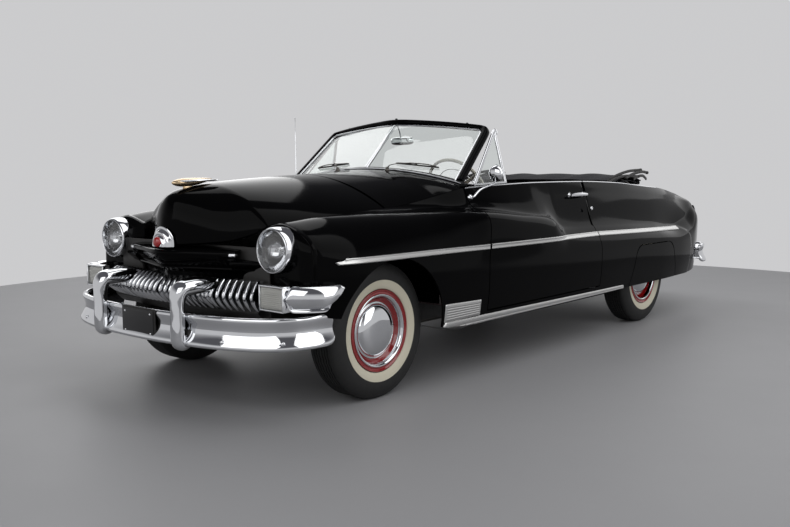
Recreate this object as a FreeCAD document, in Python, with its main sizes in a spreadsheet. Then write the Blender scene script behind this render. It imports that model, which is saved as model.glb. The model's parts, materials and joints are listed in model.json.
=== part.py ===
"""Parametric model of a 1950s two-door convertible car.

Frame: +X to the car's left, +Y to the rear, +Z up, origin on the ground under the middle of the car.
Lengths are in millimetres. Stations along the car are counted from the front or the rear axle.
"""
import FreeCAD, Part
import Sketcher
import math
import os
from FreeCAD import Placement, Rotation, Vector

doc = FreeCAD.newDocument("convertible_car")

# ---------------------------------------------------------------- driving dimensions
DIMENSIONS = [
    ("wheelbase", 2997, "front axle to rear axle"),
    ("front_overhang", 900, "front axle to the front bumper guards"),
    ("rear_overhang", 1403, "rear axle to the rear bumper guards"),
    ("half_width", 957, "centre plane to the widest point of the body"),
    ("front_track", 1486, "between the front tyres' centre planes"),
    ("rear_track", 1524, "between the rear tyres' centre planes"),
    ("tyre_radius", 350, "tyre outside radius"),
    ("tyre_width", 190, "tyre section width"),
    ("bead_radius", 190, "radius of the tyre's bead seat"),
    ("rim_width", 168, "width over the rim flanges"),
    ("flange_radius", 209, "radius of the rim flange"),
    ("drum_radius", 140, "brake drum outside radius"),
    ("drum_depth", 62, "brake drum depth"),
    ("hub_bore", 34, "radius of the wheel's centre bore"),
    ("hubcap_radius", 128, "radius of the domed hubcap"),
    ("hubcap_height", 38, "height of the hubcap's dome"),
    ("seat_gap", 0.3, "gap between two pieces that rest on each other"),
    ("panel_gap", 7, "gap between neighbouring body panels"),
    ("sheet", 9, "thickness of a pressed panel with its folded edge"),
    ("door_thickness", 62, "thickness of a whole door"),
    ("door_front", 790, "front axle to the door's front edge"),
    ("door_length", 1330, "length of a door"),
    ("hinge_inset", 15, "door hinge axis inboard of the widest point"),
    ("hinge_lead", 31, "door hinge axis ahead of the door's front edge"),
    ("hood_rear", 265, "front axle to the hood's rear edge"),
    ("arch_radius", 376, "radius of the wheel openings"),
    ("rail_width", 76, "frame rail width"),
    ("rail_height", 110, "frame rail height"),
    ("floor_height", 400, "ground to the top of the cabin floor"),
    ("floor_sheet", 8, "thickness of the floor"),
    ("steering_wheel_radius", 222, "radius of the steering wheel's rim"),
    ("lamp_radius", 104, "headlight lens radius"),
    ("bezel_radius", 125, "headlight bezel radius"),
    ("lamp_x", 674, "centre plane to the headlight's centre"),
    ("lamp_z", 782, "ground to the headlight's centre"),
    ("lamp_y", -575, "front axle to the headlight's face"),
    ("bumper_low", 362, "ground to the bumper bar's lower edge"),
    ("guard_x", 330, "centre plane to a bumper guard"),
    ("tooth_count", 15, "grille teeth in each outer section"),
    ("tooth_height", 140, "height of a grille tooth"),
    ("seat_width", 1290, "width of the seats"),
    ("dash_width", 1330, "width of the instrument panel"),
    ("engine_length", 620, "length of the engine block"),
    ("engine_width", 520, "width of the engine block"),
    ("engine_height", 480, "height of the engine block"),
    ("radiator_width", 600, "width of the radiator core"),
    ("radiator_height", 470, "height of the radiator core"),
    ("radiator_depth", 62, "depth of the radiator core"),
    ("tank_length", 400, "length of the fuel tank"),
    ("tank_width", 760, "width of the fuel tank"),
    ("tank_height", 150, "height of the fuel tank"),
    ("axle_tube_radius", 38, "radius of the rear axle's tubes"),
    ("differential_radius", 142, "radius of the differential housing"),
    ("antenna_height", 430, "length of the antenna's mast"),
    ("windshield_sheet", 6, "thickness of the windshield glass"),
]

sheet = doc.addObject("Spreadsheet::Sheet", "driving_dimensions")
for row, (alias, value, note) in enumerate(DIMENSIONS, 1):
    sheet.set(f"A{row}", note)
    sheet.set(f"B{row}", str(value))
    sheet.setAlias(f"B{row}", alias)
doc.recompute()


class Dimensions:
    """The sheet's values, read by name."""

    def __getattr__(self, name):
        return float(sheet.get(name))


dim = Dimensions()
nodes = []
X_AXIS = Vector(1, 0, 0)
Y_AXIS = Vector(0, 1, 0)
Z_AXIS = Vector(0, 0, 1)

overall_length = dim.front_overhang + dim.wheelbase + dim.rear_overhang
front_axle_y = dim.front_overhang - overall_length / 2
rear_axle_y = front_axle_y + dim.wheelbase
door_rear = dim.door_front + dim.door_length


def behind_front(distance):
    """Y of a station counted from the front axle."""
    return front_axle_y + distance


def behind_rear(distance):
    """Y of a station counted from the rear axle."""
    return rear_axle_y + distance


# ---------------------------------------------------------------- helpers
def keep(feature, label):
    """Give a document object its label and list it as a node."""
    feature.Label = label
    nodes.append(feature)
    return feature


def add_shape(label, shape, place=None):
    """Add a shape that only Part's own functions can make as a node."""
    feature = doc.addObject("Part::Feature", label)
    feature.Shape = shape
    if place is not None:
        feature.Placement = place
    return keep(feature, label)


def bind(feature, **expressions):
    """Bind properties of a document object to sheet expressions."""
    for name, expression in expressions.items():
        feature.setExpression(name, expression)
    return feature


def cells(expression):
    """Prefix every alias in an expression with the sheet's name."""
    words = []
    for word in expression.split():
        words.append("driving_dimensions." + word if word[0].isalpha() else word)
    return " ".join(words)


def box(x_span, y_span, z_span):
    """A box between two X, two Y and two Z values."""
    corner = Vector(x_span[0], y_span[0], z_span[0])
    sizes = [span[1] - span[0] for span in (x_span, y_span, z_span)]
    return Part.makeBox(sizes[0], sizes[1], sizes[2], corner)


def both_sides(shape):
    """A shape and its mirror image across the centre plane."""
    return Part.makeCompound([shape, mirrored(shape)])


def mirrored(shape):
    """The mirror image of a shape across the centre plane."""
    return shape.mirror(Vector(0, 0, 0), X_AXIS)


def join(shapes):
    """One solid out of touching shapes."""
    result = shapes[0].fuse(shapes[1:])
    return result.removeSplitter()


def polygon_prism(points, direction):
    """A prism over a closed polygon."""
    outline = Part.makePolygon(points + [points[0]])
    return Part.Face(outline).extrude(direction)


def bar(start, end, width, depth, side):
    """A straight rectangular bar between two points; `side` points along its width."""
    axis = (end - start).normalize()
    across = (side - axis * side.dot(axis)).normalize()
    deep = axis.cross(across)
    corners = []
    for along_width, along_depth in ((-1, -1), (1, -1), (1, 1), (-1, 1)):
        corners.append(start + across * (along_width * width / 2) + deep * (along_depth * depth / 2))
    return polygon_prism(corners, end - start)


def rod(start, end, radius):
    """A round bar between two points."""
    return Part.makeCylinder(radius, (end - start).Length, start, end - start)


def arc(start, middle, end):
    """An arc edge through three points."""
    return Part.Arc(start, middle, end).toShape()


def line(start, end):
    """A straight edge."""
    return Part.LineSegment(start, end).toShape()


def revolve_about_x(outline, centre):
    """Revolve an outline of (x, radius) points and arcs about the X axis through a centre.

    Each entry is (x, radius), or (x, radius, middle_x, middle_radius) where an arc leads up to it.
    """
    edges = []
    previous = outline[-1]
    for point in outline:
        start = Vector(previous[0], 0, previous[1])
        end = Vector(point[0], 0, point[1])
        if len(point) == 4:
            edges.append(arc(start, Vector(point[2], 0, point[3]), end))
        else:
            edges.append(line(start, end))
        previous = point
    face = Part.Face(Part.Wire(edges))
    solid = face.revolve(Vector(0, 0, 0), X_AXIS, 360)
    solid.translate(centre)
    return solid


# ---------------------------------------------------------------- body sections
# A section of the body at a station along the car. Columns:
#   station  distance from its axle
#   top      height of the body on the centre plane
#   belt     inset and height of the belt: the hood's seam, the door's top edge and the deck's edge
#   crown    inset and height of the fender's crown
#   side     inset and height of the widest point of the section
#   sill     inset and height of the panel's lower edge
# An inset is counted inwards from half_width.
FRONT_SECTIONS = [
    (-560, 1070, (527, 850), (317, 905), (145, 790), (167, 500)),
    (-450, 1097, (457, 890), (257, 914), (72, 760), (87, 480)),
    (-250, 1114, (397, 922), (222, 932), (17, 700), (32, 450)),
    (0, 1128, (347, 940), (192, 934), (2, 660), (17, 420)),
    (350, 1141, (302, 965), (157, 932), (0, 640), (22, 330)),
    (600, 1152, (252, 1010), (97, 930), (0, 630), (25, 310)),
    (790, 1164, (182, 1055), (52, 925), (0, 620), (27, 305)),
    (1200, 1164, (157, 1070), (45, 890), (0, 610), (27, 300)),
    (1500, 1164, (155, 1075), (49, 862), (0, 605), (27, 300)),
    (1690, 1164, (156, 1075), (57, 795), (0, 600), (27, 300)),
    (2100, 1164, (157, 1072), (64, 771), (0, 600), (27, 300)),
]
REAR_SECTIONS = [
    (-377, 1100, (162, 1055), (77, 765), (2, 600), (32, 310)),
    (103, 1060, (182, 1021), (92, 738), (5, 590), (32, 310)),
    (453, 1040, (212, 998), (112, 712), (17, 580), (45, 310)),
    (803, 985, (257, 955), (137, 760), (52, 600), (87, 305)),
    (1053, 905, (297, 915), (177, 845), (117, 700), (147, 310)),
    (1153, 845, (327, 850), (217, 800), (167, 680), (197, 330)),
]


def body_table():
    """Every section with its Y and its points as (x, z)."""
    table = []
    for behind, rows in ((behind_front, FRONT_SECTIONS), (behind_rear, REAR_SECTIONS)):
        for station, top, *points in rows:
            placed = [(dim.half_width - inset, height) for inset, height in points]
            table.append((behind(station), [top] + [value for point in placed for value in point]))
    return table


BODY_TABLE = body_table()


def section_at(y):
    """Named points of the body's section at any Y, by cubic interpolation of the table."""
    index = 0
    while index < len(BODY_TABLE) - 2 and y > BODY_TABLE[index + 1][0]:
        index += 1
    low, high = BODY_TABLE[index], BODY_TABLE[index + 1]
    span = high[0] - low[0]
    share = (y - low[0]) / span
    values = []
    for column in range(len(low[1])):
        start_slope = slope(index, column)
        end_slope = slope(index + 1, column)
        values.append(
            low[1][column] * (2 * share**3 - 3 * share**2 + 1)
            + high[1][column] * (3 * share**2 - 2 * share**3)
            + start_slope * span * (share**3 - 2 * share**2 + share)
            + end_slope * span * (share**3 - share**2)
        )
    return values


def slope(index, column):
    """Slope of a column at a table row; flat where the column turns."""
    before = BODY_TABLE[max(index - 1, 0)]
    after = BODY_TABLE[min(index + 1, len(BODY_TABLE) - 1)]
    here = BODY_TABLE[index]
    rise_in = here[1][column] - before[1][column]
    rise_out = after[1][column] - here[1][column]
    if before is here or after is here:
        return (rise_in + rise_out) / (after[0] - before[0])
    if rise_in * rise_out <= 0:
        return 0.0
    steep_in = rise_in / (here[0] - before[0])
    steep_out = rise_out / (after[0] - here[0])
    return 2 * steep_in * steep_out / (steep_in + steep_out)


def upright_arc(widest, end):
    """An arc from the widest point, where it stands upright, to another point of the section."""
    inboard = widest.x - end.x
    rise = end.z - widest.z
    radius = (inboard**2 + rise**2) / (2 * inboard)
    half_turn = math.atan2(rise, radius - inboard) / 2
    middle_x = widest.x - radius + radius * math.cos(half_turn)
    middle_z = widest.z + radius * math.sin(half_turn)
    return arc(widest, Vector(middle_x, widest.y, middle_z), end)


# How far a panel's inner edge lies below its outer edge at the belt.
BELT_FALL = 8


def side_edges(y, inward):
    """Edges of the body's side from the belt to the sill, moved inwards by a thickness."""
    top, belt_x, belt_z, crown_x, crown_z, side_x, side_z, sill_x, sill_z = section_at(y)
    belt = Vector(belt_x - inward, y, belt_z - min(inward, BELT_FALL))
    crown = Vector(crown_x - 0.7 * inward, y, crown_z - 0.7 * inward)
    side = Vector(side_x - inward, y, side_z)
    sill = Vector(sill_x - inward, y, sill_z)
    return [line(belt, crown), upright_arc(side, crown), upright_arc(side, sill)]


def side_wire(y, outer, inner):
    """A closed section of a side panel between two depths below the body's surface."""
    outside = side_edges(y, outer)
    inside = side_edges(y, inner)
    closing = []
    for index in (0, -1):
        outer_end = outside[index].Vertexes[index].Point
        inner_end = inside[index].Vertexes[index].Point
        closing.append(line(outer_end, inner_end))
    return Part.Wire(Part.__sortEdges__(outside + inside + closing))


def stations(start, end, step):
    """Evenly spaced Y values from start to end, ends included."""
    count = max(1, round((end - start) / step))
    return [start + (end - start) * index / count for index in range(count + 1)]


def layer(start, end, outer, inner, step=170):
    """A left side layer of the body between two stations and two depths below its surface."""
    return Part.makeLoft([side_wire(y, outer, inner) for y in stations(start, end, step)], True, False)


def top_panel(start, end, thickness, step=150):
    """A panel of the body's top between two stations."""
    wires = []
    for y in stations(start, end, step):
        top, belt_x, belt_z = section_at(y)[:3]
        inset = dim.sheet + dim.seat_gap
        left = Vector(belt_x - inset, y, belt_z)
        inner = Vector(belt_x - inset - 0.3 * thickness, y, belt_z - thickness)
        crest = Vector(0, y, top)
        under = Vector(0, y, top - thickness)
        right = Vector(-left.x, y, left.z)
        inner_right = Vector(-inner.x, y, inner.z)
        edges = [arc(left, crest, right), line(right, inner_right), arc(inner_right, under, inner)]
        wires.append(Part.Wire(edges + [line(inner, left)]))
    return Part.makeLoft(wires, True, False)


# ---------------------------------------------------------------- body panels
gap = dim.panel_gap / 2
door_front_y = behind_front(dim.door_front)
door_rear_y = behind_front(door_rear)
hood_rear_y = behind_front(dim.hood_rear)
fender_front_y = behind_front(-560)
quarter_rear_y = behind_rear(1150)
lid_front_y = behind_rear(450)
rocker_top = 367
rocker_thickness = 68
SHELF_HALF = dim.half_width - 241
deck_front_y = behind_rear(395)
quarter_wall_end = behind_rear(-450)


def end_cap(y, thickness):
    """The folded end of a side panel: a plate over the whole section between two stations."""
    wires = []
    for place in (y, y + thickness):
        edges = side_edges(place, 0)
        belt = edges[0].Vertexes[0].Point
        sill = edges[-1].Vertexes[-1].Point
        corner = Vector(belt.x, place, sill.z)
        wires.append(Part.Wire(Part.__sortEdges__(edges + [line(sill, corner), line(corner, belt)])))
    return Part.makeLoft(wires, True, True)


def wheel_opening(axle_y, radius):
    """The space of a wheel opening, open to the ground."""
    across = dim.half_width + 50
    start = Vector(dim.half_width - 330, axle_y, dim.tyre_radius)
    round_part = Part.makeCylinder(radius, across - start.x, start, X_AXIS)
    low_part = box((start.x, across), (axle_y - radius, axle_y + radius), (0, dim.tyre_radius))
    return join([round_part, low_part])


def make_front_fender():
    """Pontoon front fender, its nose closed around the headlight's bucket."""
    shell = fender_layer(0, dim.sheet)
    nose = end_cap(fender_front_y, dim.sheet)
    centre = Vector(dim.lamp_x, behind_front(dim.lamp_y + 8), dim.lamp_z)
    bucket = Part.makeCylinder(dim.bezel_radius - 6, 130, centre, Y_AXIS)
    bowl = Part.makeCylinder(dim.bezel_radius - 12, 122, centre, Y_AXIS)
    fender = join([shell, nose, bucket] + hinge_pins()).cut(bowl)
    return fender.cut(wheel_opening(front_axle_y, dim.arch_radius))


def fender_layer(outer, inner):
    """A layer of the left front fender's skin between two depths."""
    return layer(fender_front_y + dim.sheet, door_front_y - gap, outer, inner)


def quarter_layers(outer, inner, wall_inner=None):
    """Layers of the left quarter's front wall and of its rear shell between two depths."""
    start = door_rear_y + gap
    wall = layer(start + LOCK_STEP, quarter_wall_end, outer, wall_inner or inner)
    if wall_inner:
        wall = join([wall, layer(start, start + LOCK_STEP, outer, LOCK_FLANGE)])
    return wall, layer(quarter_wall_end, quarter_rear_y - dim.sheet, outer, inner)


def make_quarter():
    """Rear quarter panel, with the thick trimmed wall beside the rear seat and the skirt's opening."""
    wall, shell = quarter_layers(0, dim.sheet, dim.door_thickness)
    tail = end_cap(quarter_rear_y - dim.sheet, dim.sheet)
    return join([wall, shell, tail]).cut(skirt_blank(0))


# Skirt outline in the side view: station behind the rear axle and height.
SKIRT_OUTLINE = [(-420, 280), (-330, 607), (293, 602), (440, 280)]


def skirt_blank(inset):
    """The space of the fender skirt's outline, drawn in on every edge by an inset."""
    (front_low, low), (front_high, high), (rear_high, high_rear), (rear_low, _) = SKIRT_OUTLINE
    points = [(front_low + inset, low), (front_high + inset, high - inset)]
    points += [(rear_high - inset, high_rear - inset), (rear_low - inset, low)]
    start_x = dim.half_width - 75
    corners = [Vector(start_x, behind_rear(station), height) for station, height in points]
    blank = polygon_prism(corners, Vector(110, 0, 0))
    upper = [edge for edge in blank.Edges if edge.BoundBox.ZMin > low + 50 and edge.BoundBox.XLength > 100]
    return blank.makeFillet(70, upper)


def make_skirt():
    """Fender skirt: a cover flush with the quarter and a lip that laps behind the opening's edge."""
    seat = dim.sheet + dim.seat_gap
    cover = quarter_layers(0, seat + 5)[1].common(skirt_blank(dim.panel_gap))
    lip = quarter_layers(seat, seat + 5)[1].common(skirt_blank(-18)).cut(skirt_blank(dim.panel_gap))
    return join([cover, lip])


# Heights of the two door hinges' lower ends, and their length.
DOOR_LEAN = 8
LOCK_FLANGE = 8
LOCK_STEP = 12
HINGE_HEIGHTS = (520, 655)
HINGE_LENGTH = 40
HINGE_PIN = 5


def hinge_axis():
    """Plan position of the left door's hinge axis."""
    return dim.half_width - dim.hinge_inset, door_front_y - dim.hinge_lead


def hinge_pins():
    """The fixed halves of a left door's hinges: a pin on a bracket inside the fender's skin."""
    x, y = hinge_axis()
    pieces = []
    for low in HINGE_HEIGHTS:
        pieces.append(Part.makeCylinder(HINGE_PIN, HINGE_LENGTH, Vector(x, y, low)))
        pieces.append(box((x - 4, x + 10), (y - 24, y - 2), (low, low + HINGE_LENGTH)))
    return pieces


def hinge_leaves():
    """The moving halves: swan-neck leaves that clear the fender's edge as the door swings."""
    x, y = hinge_axis()
    neck = math.radians(66)
    heading = Vector(-math.sin(neck), math.cos(neck), 0)
    pieces = []
    for low in HINGE_HEIGHTS:
        start = Vector(x, y, low + HINGE_LENGTH / 2) + heading * (HINGE_PIN + dim.seat_gap)
        elbow = Vector(x, y, low + HINGE_LENGTH / 2) + heading * 40
        pieces.append(bar(start, elbow, 6, HINGE_LENGTH - 6, heading.cross(Z_AXIS)))
        half = (HINGE_LENGTH - 6) / 2
        pieces.append(box((elbow.x - 4, elbow.x + 6), (elbow.y - 4, door_front_y + gap + 2), (elbow.z - half, elbow.z + half)))
    return pieces


def door_layer(outer, inner):
    """A layer of the left door between two depths."""
    return layer(door_front_y + gap, door_rear_y - gap, outer, inner)


def rocker_layer(outer, inner):
    """A layer of the left rocker's span between two depths."""
    return layer(door_front_y - gap + dim.seat_gap, door_rear_y + gap - dim.seat_gap, outer, inner)


def make_door():
    """A door as thick as the real one, above the rocker, its rear edge leaning forward where the side tucks in."""
    slab = door_layer(0, dim.door_thickness)
    rear = door_rear_y - gap
    lean = [Vector(0, rear, 600), Vector(0, rear + 20, 600), Vector(0, rear + 20, 1100), Vector(0, rear - DOOR_LEAN, 1075)]
    slab = slab.cut(polygon_prism(lean, Vector(1100, 0, 0)))
    slab = slab.cut(box((0, 1100), (door_front_y, door_rear_y), (0, rocker_top + gap)))
    return join([slab] + hinge_leaves())


def make_rocker():
    """The rocker panel under a door."""
    slab = rocker_layer(0, rocker_thickness)
    return slab.common(box((0, 1100), (door_front_y - 50, door_rear_y + 50), (0, rocker_top - gap)))


# Hood nose sections ahead of the fenders: station, height on the centre plane, half width, edge height.
HOOD_NOSE = [
    (-704, 870, 90, 800),
    (-692, 940, 150, 800),
    (-655, 1017, 250, 808),
    (-605, 1055, 350, 826),
]


def hood_wire(station, depth):
    """A closed section of the hood's dome at a station ahead of or behind the front axle."""
    if station < -560:
        top, half, edge_z = [row for row in HOOD_NOSE if row[0] == station][0][1:]
    else:
        top, half, edge_z = section_at(behind_front(station))[:3]
        half -= dim.panel_gap + dim.sheet
    y = behind_front(station) + depth
    left = Vector(half - 0.5 * depth, y, edge_z - 2 * depth)
    right = Vector(-left.x, y, left.z)
    return Part.Wire([arc(left, Vector(0, y, top - depth), right), line(right, left)])


def hood_dome(depth, last):
    """The hood's dome at a depth below its surface: a blunt nose and the long main part."""
    nose = Part.makeLoft([hood_wire(row[0], depth) for row in HOOD_NOSE] + [hood_wire(-560, depth)], True, False)
    main = Part.makeLoft([hood_wire(station, depth) for station in stations(-560, last, 90)], True, False)
    return join([nose, main])


def make_hood():
    """The hood: a lofted dome, hollow underneath."""
    return hood_dome(0, dim.hood_rear - gap).cut(hood_dome(dim.sheet, dim.hood_rear + 20))


def cowl_wire(y, depth, floor):
    """A closed section under the body's top that stops short of the side panels."""
    top, belt_x, belt_z = section_at(y)[:3]
    half = belt_x - dim.sheet - 8
    left = Vector(half, y, belt_z - depth)
    right = Vector(-half, y, left.z)
    crest = Vector(0, y, top - depth)
    low_left, low_right = Vector(half, y, floor), Vector(-half, y, floor)
    return Part.Wire([arc(left, crest, right), line(right, low_right), line(low_right, low_left), line(low_left, left)])


def rest_pads(y, x_near, x_far, toe, heel):
    """Two pads under a lid's edge: the heel is joined to the fixed panel and the toe lies just under the lid."""
    under = cowl_point(y, x_far, -dim.sheet - dim.seat_gap).z - 2
    edge = y + math.copysign(gap, heel)
    pads = []
    for side in (1, -1):
        span = sorted((side * x_near, side * x_far))
        pads.append(box(span, sorted((y + toe, y + heel)), (under - 8, under)))
        pads.append(box(span, sorted((edge, y + heel)), (under - 1, under + 5)))
    return pads


def make_cowl():
    """Cowl top with the firewall under it and the pads that the hood's rear edge rests on."""
    top = top_panel(hood_rear_y + gap, door_front_y - gap, dim.sheet)
    shelf = top_panel(door_front_y - gap, behind_front(905), dim.sheet)
    shelf = shelf.common(box((-SHELF_HALF, SHELF_HALF), (door_front_y - 10, behind_front(910)), (900, 1300)))
    wall_y = behind_front(640)
    wires = [cowl_wire(y, dim.sheet / 2, dim.floor_height + dim.seat_gap) for y in (wall_y, wall_y + 10)]
    firewall = Part.makeLoft(wires, True, True)
    return join([top, shelf, firewall] + rest_pads(hood_rear_y, 90, 130, -25, 14))


def make_trunk_lid():
    """The trunk lid: lofted top with its rear face."""
    end = quarter_rear_y
    wires = []
    for y in stations(lid_front_y + gap, end, 120):
        top, belt_x, belt_z = section_at(y)[:3]
        half = belt_x - dim.panel_gap - dim.sheet
        left, right = Vector(half, y, belt_z), Vector(-half, y, belt_z)
        wires.append(Part.Wire([arc(left, Vector(0, y, top), right), line(right, left)]))
    outer = Part.makeLoft(wires, True, False)
    low_z = 560
    top, belt_x, belt_z = section_at(end - dim.sheet)[:3]
    half = belt_x - dim.panel_gap - dim.sheet
    face = box((-half, half), (end - dim.sheet, end), (low_z, belt_z + 2))
    inner_wires = []
    for y in stations(lid_front_y - 20, end - dim.sheet, 120):
        top, belt_x, belt_z = section_at(y)[:3]
        half = belt_x - dim.panel_gap - 2 * dim.sheet
        left, right = Vector(half, y, belt_z - dim.sheet - 6), Vector(-half, y, belt_z - dim.sheet - 6)
        inner_wires.append(Part.Wire([arc(left, Vector(0, y, top - dim.sheet), right), line(right, left)]))
    inner = Part.makeLoft(inner_wires, True, False)
    return join([outer.cut(inner), face])


def make_rear_deck():
    """Deck panel ahead of the trunk lid, the folded top's well and the tail panel below the lid."""
    tulip = top_panel(deck_front_y, lid_front_y - gap, dim.sheet, 60)
    half = section_at(deck_front_y)[1] - 20
    wall = box((-half, half), (deck_front_y, deck_front_y + dim.sheet), (760, 1000))
    well = box((-half, half), (behind_rear(-190), deck_front_y + 1), (760, 760 + dim.sheet))
    front = box((-600, 600), (behind_rear(-190), behind_rear(-190) + dim.sheet), (AXLE_FLOOR_TOP + dim.seat_gap, 760 + 1))
    return join([tulip, wall, well, front] + rest_pads(lid_front_y, 90, 130, 25, -14))


# ---------------------------------------------------------------- bright work and lamps
def plan_path(points, height):
    """A wire in plan view: straight runs joined at rounded corners, from (x, y, radius) points."""
    places = [Vector(x, y, height) for x, y, _ in points]
    edges = []
    start = places[0]
    for index in range(1, len(points) - 1):
        corner, radius = places[index], points[index][2]
        back = (places[index - 1] - corner).normalize()
        ahead = (places[index + 1] - corner).normalize()
        half_angle = math.acos(max(-1, min(1, back.dot(ahead)))) / 2
        reach = radius / math.tan(half_angle)
        centre = corner + (back + ahead).normalize() * (radius / math.sin(half_angle))
        middle = centre + (corner - centre).normalize() * radius
        first, last = corner + back * reach, corner + ahead * reach
        if (first - start).Length > 0.01:
            edges.append(line(start, first))
        edges.append(arc(first, middle, last))
        start = last
    edges.append(line(start, places[-1]))
    return Part.Wire(edges)


def bumper_bar(points, profile, height):
    """A bar swept along a plan path; the profile is drawn as (outward, up) points and arcs."""
    path = plan_path(points, height)
    start = path.Edges[0].Vertexes[0].Point
    heading = path.Edges[0].tangentAt(path.Edges[0].FirstParameter)
    outward = heading.cross(Z_AXIS).normalize() * -1
    edges = []
    previous = profile[-1]
    for point in profile:
        first = start + outward * previous[0] + Z_AXIS * previous[1]
        last = start + outward * point[0] + Z_AXIS * point[1]
        if len(point) == 4:
            edges.append(arc(first, start + outward * point[2] + Z_AXIS * point[3], last))
        else:
            edges.append(line(first, last))
        previous = point
    return path.makePipeShell([Part.Wire(edges)], True, False, 2)


# The tooth on each side, counted from the middle, that is a wide smooth blade behind the bumper guard.
BLADE_TOOTH = 8


def make_grille():
    """Fluted grille: a row of bowed upright teeth in front of a dark backing rail."""
    solids = []
    low = 500
    half_span = 600
    bow_radius = 2400
    for index in range(-int(dim.tooth_count), int(dim.tooth_count) + 1):
        turn = index * half_span / dim.tooth_count / bow_radius
        half, bow = (24, -66) if abs(index) == BLADE_TOOTH else (7, -58)
        crest = Vector(0, bow, low + dim.tooth_height / 2)
        foot, head = Vector(0, 0, low), Vector(0, 0, low + dim.tooth_height)
        outline = Part.Wire([arc(foot, crest, head), line(head, foot)])
        tooth = Part.Face(outline).extrude(Vector(2 * half, 0, 0))
        tooth.translate(Vector(-half, 0, 0))
        centre_y = behind_front(-672) + bow_radius * (1 - math.cos(turn))
        tooth.rotate(Vector(0, 0, 0), Z_AXIS, math.degrees(turn))
        tooth.translate(Vector(bow_radius * math.sin(turn), centre_y, 0))
        solids.append(tooth)
    return solids


# Bumper bar section: rolled top, hollow band and flared lower lip, as (outward, up) with arc middles.
BAR_PROFILE = [
    (30, 0),
    (38, 14, 38, 5),
    (17, 62, 24, 36),
    (22, 112, 15, 88),
    (2, 140, 17, 132),
    (-6, 140),
    (-6, 0),
]


def make_front_bumper():
    """Chrome front bumper bar."""
    side_y = behind_front(-440)
    corner_y = behind_front(-640)
    face_y = behind_front(-dim.front_overhang + 55)
    half = dim.half_width - 38
    shoulder = half - 219
    plan = [(-half, side_y, 0), (-half, corner_y, 110), (-shoulder, behind_front(-762), 700), (0, face_y, 2600)]
    plan += [(-x, y, radius) for x, y, radius in reversed(plan[:-1])]
    return bumper_bar(plan, BAR_PROFILE, dim.bumper_low)


def guard(x, front_y, low, high, depth):
    """A bumper guard: an upright post with a rounded front and a bulb on top that reaches back."""
    width = 66
    wires = []
    for height, lead, share in ((low, 34, 0.8), (low + 30, 8, 1), (low + 150, 8, 0.9), (high - 34, 10, 0.94)):
        half = width * share / 2
        near, rear = front_y + lead, front_y + lead + depth
        left, right = Vector(x - half, near + depth / 3, height), Vector(x + half, near + depth / 3, height)
        sides = [line(right, Vector(right.x, rear, height)), line(Vector(left.x, rear, height), left)]
        back = line(Vector(right.x, rear, height), Vector(left.x, rear, height))
        wires.append(Part.Wire([arc(left, Vector(x, near, height), right), sides[0], back, sides[1]]))
    post = Part.makeLoft(wires, True, True)
    radius = width / 2 + 3
    nose = Vector(x, front_y + radius, high - radius)
    tail = nose + Vector(0, depth + 44, 0)
    return join([post, Part.makeSphere(radius, nose), rod(nose, tail, radius)])


def dome(centre, axis, radius, bulge):
    """A solid cap of a sphere: its flat face at the centre, bulging along the axis."""
    ball_radius = (radius**2 + bulge**2) / (2 * bulge)
    ball = Part.makeSphere(ball_radius, centre + axis * (bulge - ball_radius))
    return ball.common(Part.makeCylinder(radius * 1.02, bulge + 1, centre, axis))


def headlight_centre(lead=0):
    """Centre of the left headlight's face."""
    return Vector(dim.lamp_x, behind_front(dim.lamp_y) - lead, dim.lamp_z)


def make_headlight_bezel():
    """Deep chrome rim round the headlight."""
    outer, inner = dim.bezel_radius, dim.lamp_radius
    outline = [
        line(Vector(inner, -14, 0), Vector(inner, 8, 0)),
        line(Vector(inner, 8, 0), Vector(outer - 6, 8, 0)),
        line(Vector(outer - 6, 8, 0), Vector(outer - 6, 6, 0)),
        line(Vector(outer - 6, 6, 0), Vector(outer, 6, 0)),
        line(Vector(outer, 6, 0), Vector(outer, -12, 0)),
        arc(Vector(outer, -12, 0), Vector(outer - 4, -34, 0), Vector(outer - 12, -42, 0)),
        line(Vector(outer - 12, -42, 0), Vector(inner, -14, 0)),
    ]
    solid = Part.Face(Part.Wire(outline)).revolve(Vector(0, 0, 0), Y_AXIS, 360)
    solid.translate(headlight_centre())
    return solid


# ---------------------------------------------------------------- running gear
def make_tyre(side, axle_y, track):
    """A tyre about its own axle; side is 1 on the left and -1 on the right."""
    half_bead = 70
    radius, half = dim.tyre_radius, dim.tyre_width / 2
    bead = dim.bead_radius
    outline = [
        (62, radius),
        (half, 278, 88, 325),
        (half_bead, 214, 90, 240),
        (half_bead, bead + 6),
        (half_bead - 10, bead),
        (10 - half_bead, bead),
        (-half_bead, bead + 6),
        (-half_bead, 214),
        (-half, 278, -90, 240),
        (-62, radius, -88, 325),
    ]
    return revolve_about_x(outline, Vector(side * track / 2, axle_y, dim.tyre_radius))


def sided(outline, side):
    """An outline of (x, radius) entries turned to face outwards on its side of the car."""
    return [tuple(value * side if index % 2 == 0 else value for index, value in enumerate(point)) for point in outline]


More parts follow.
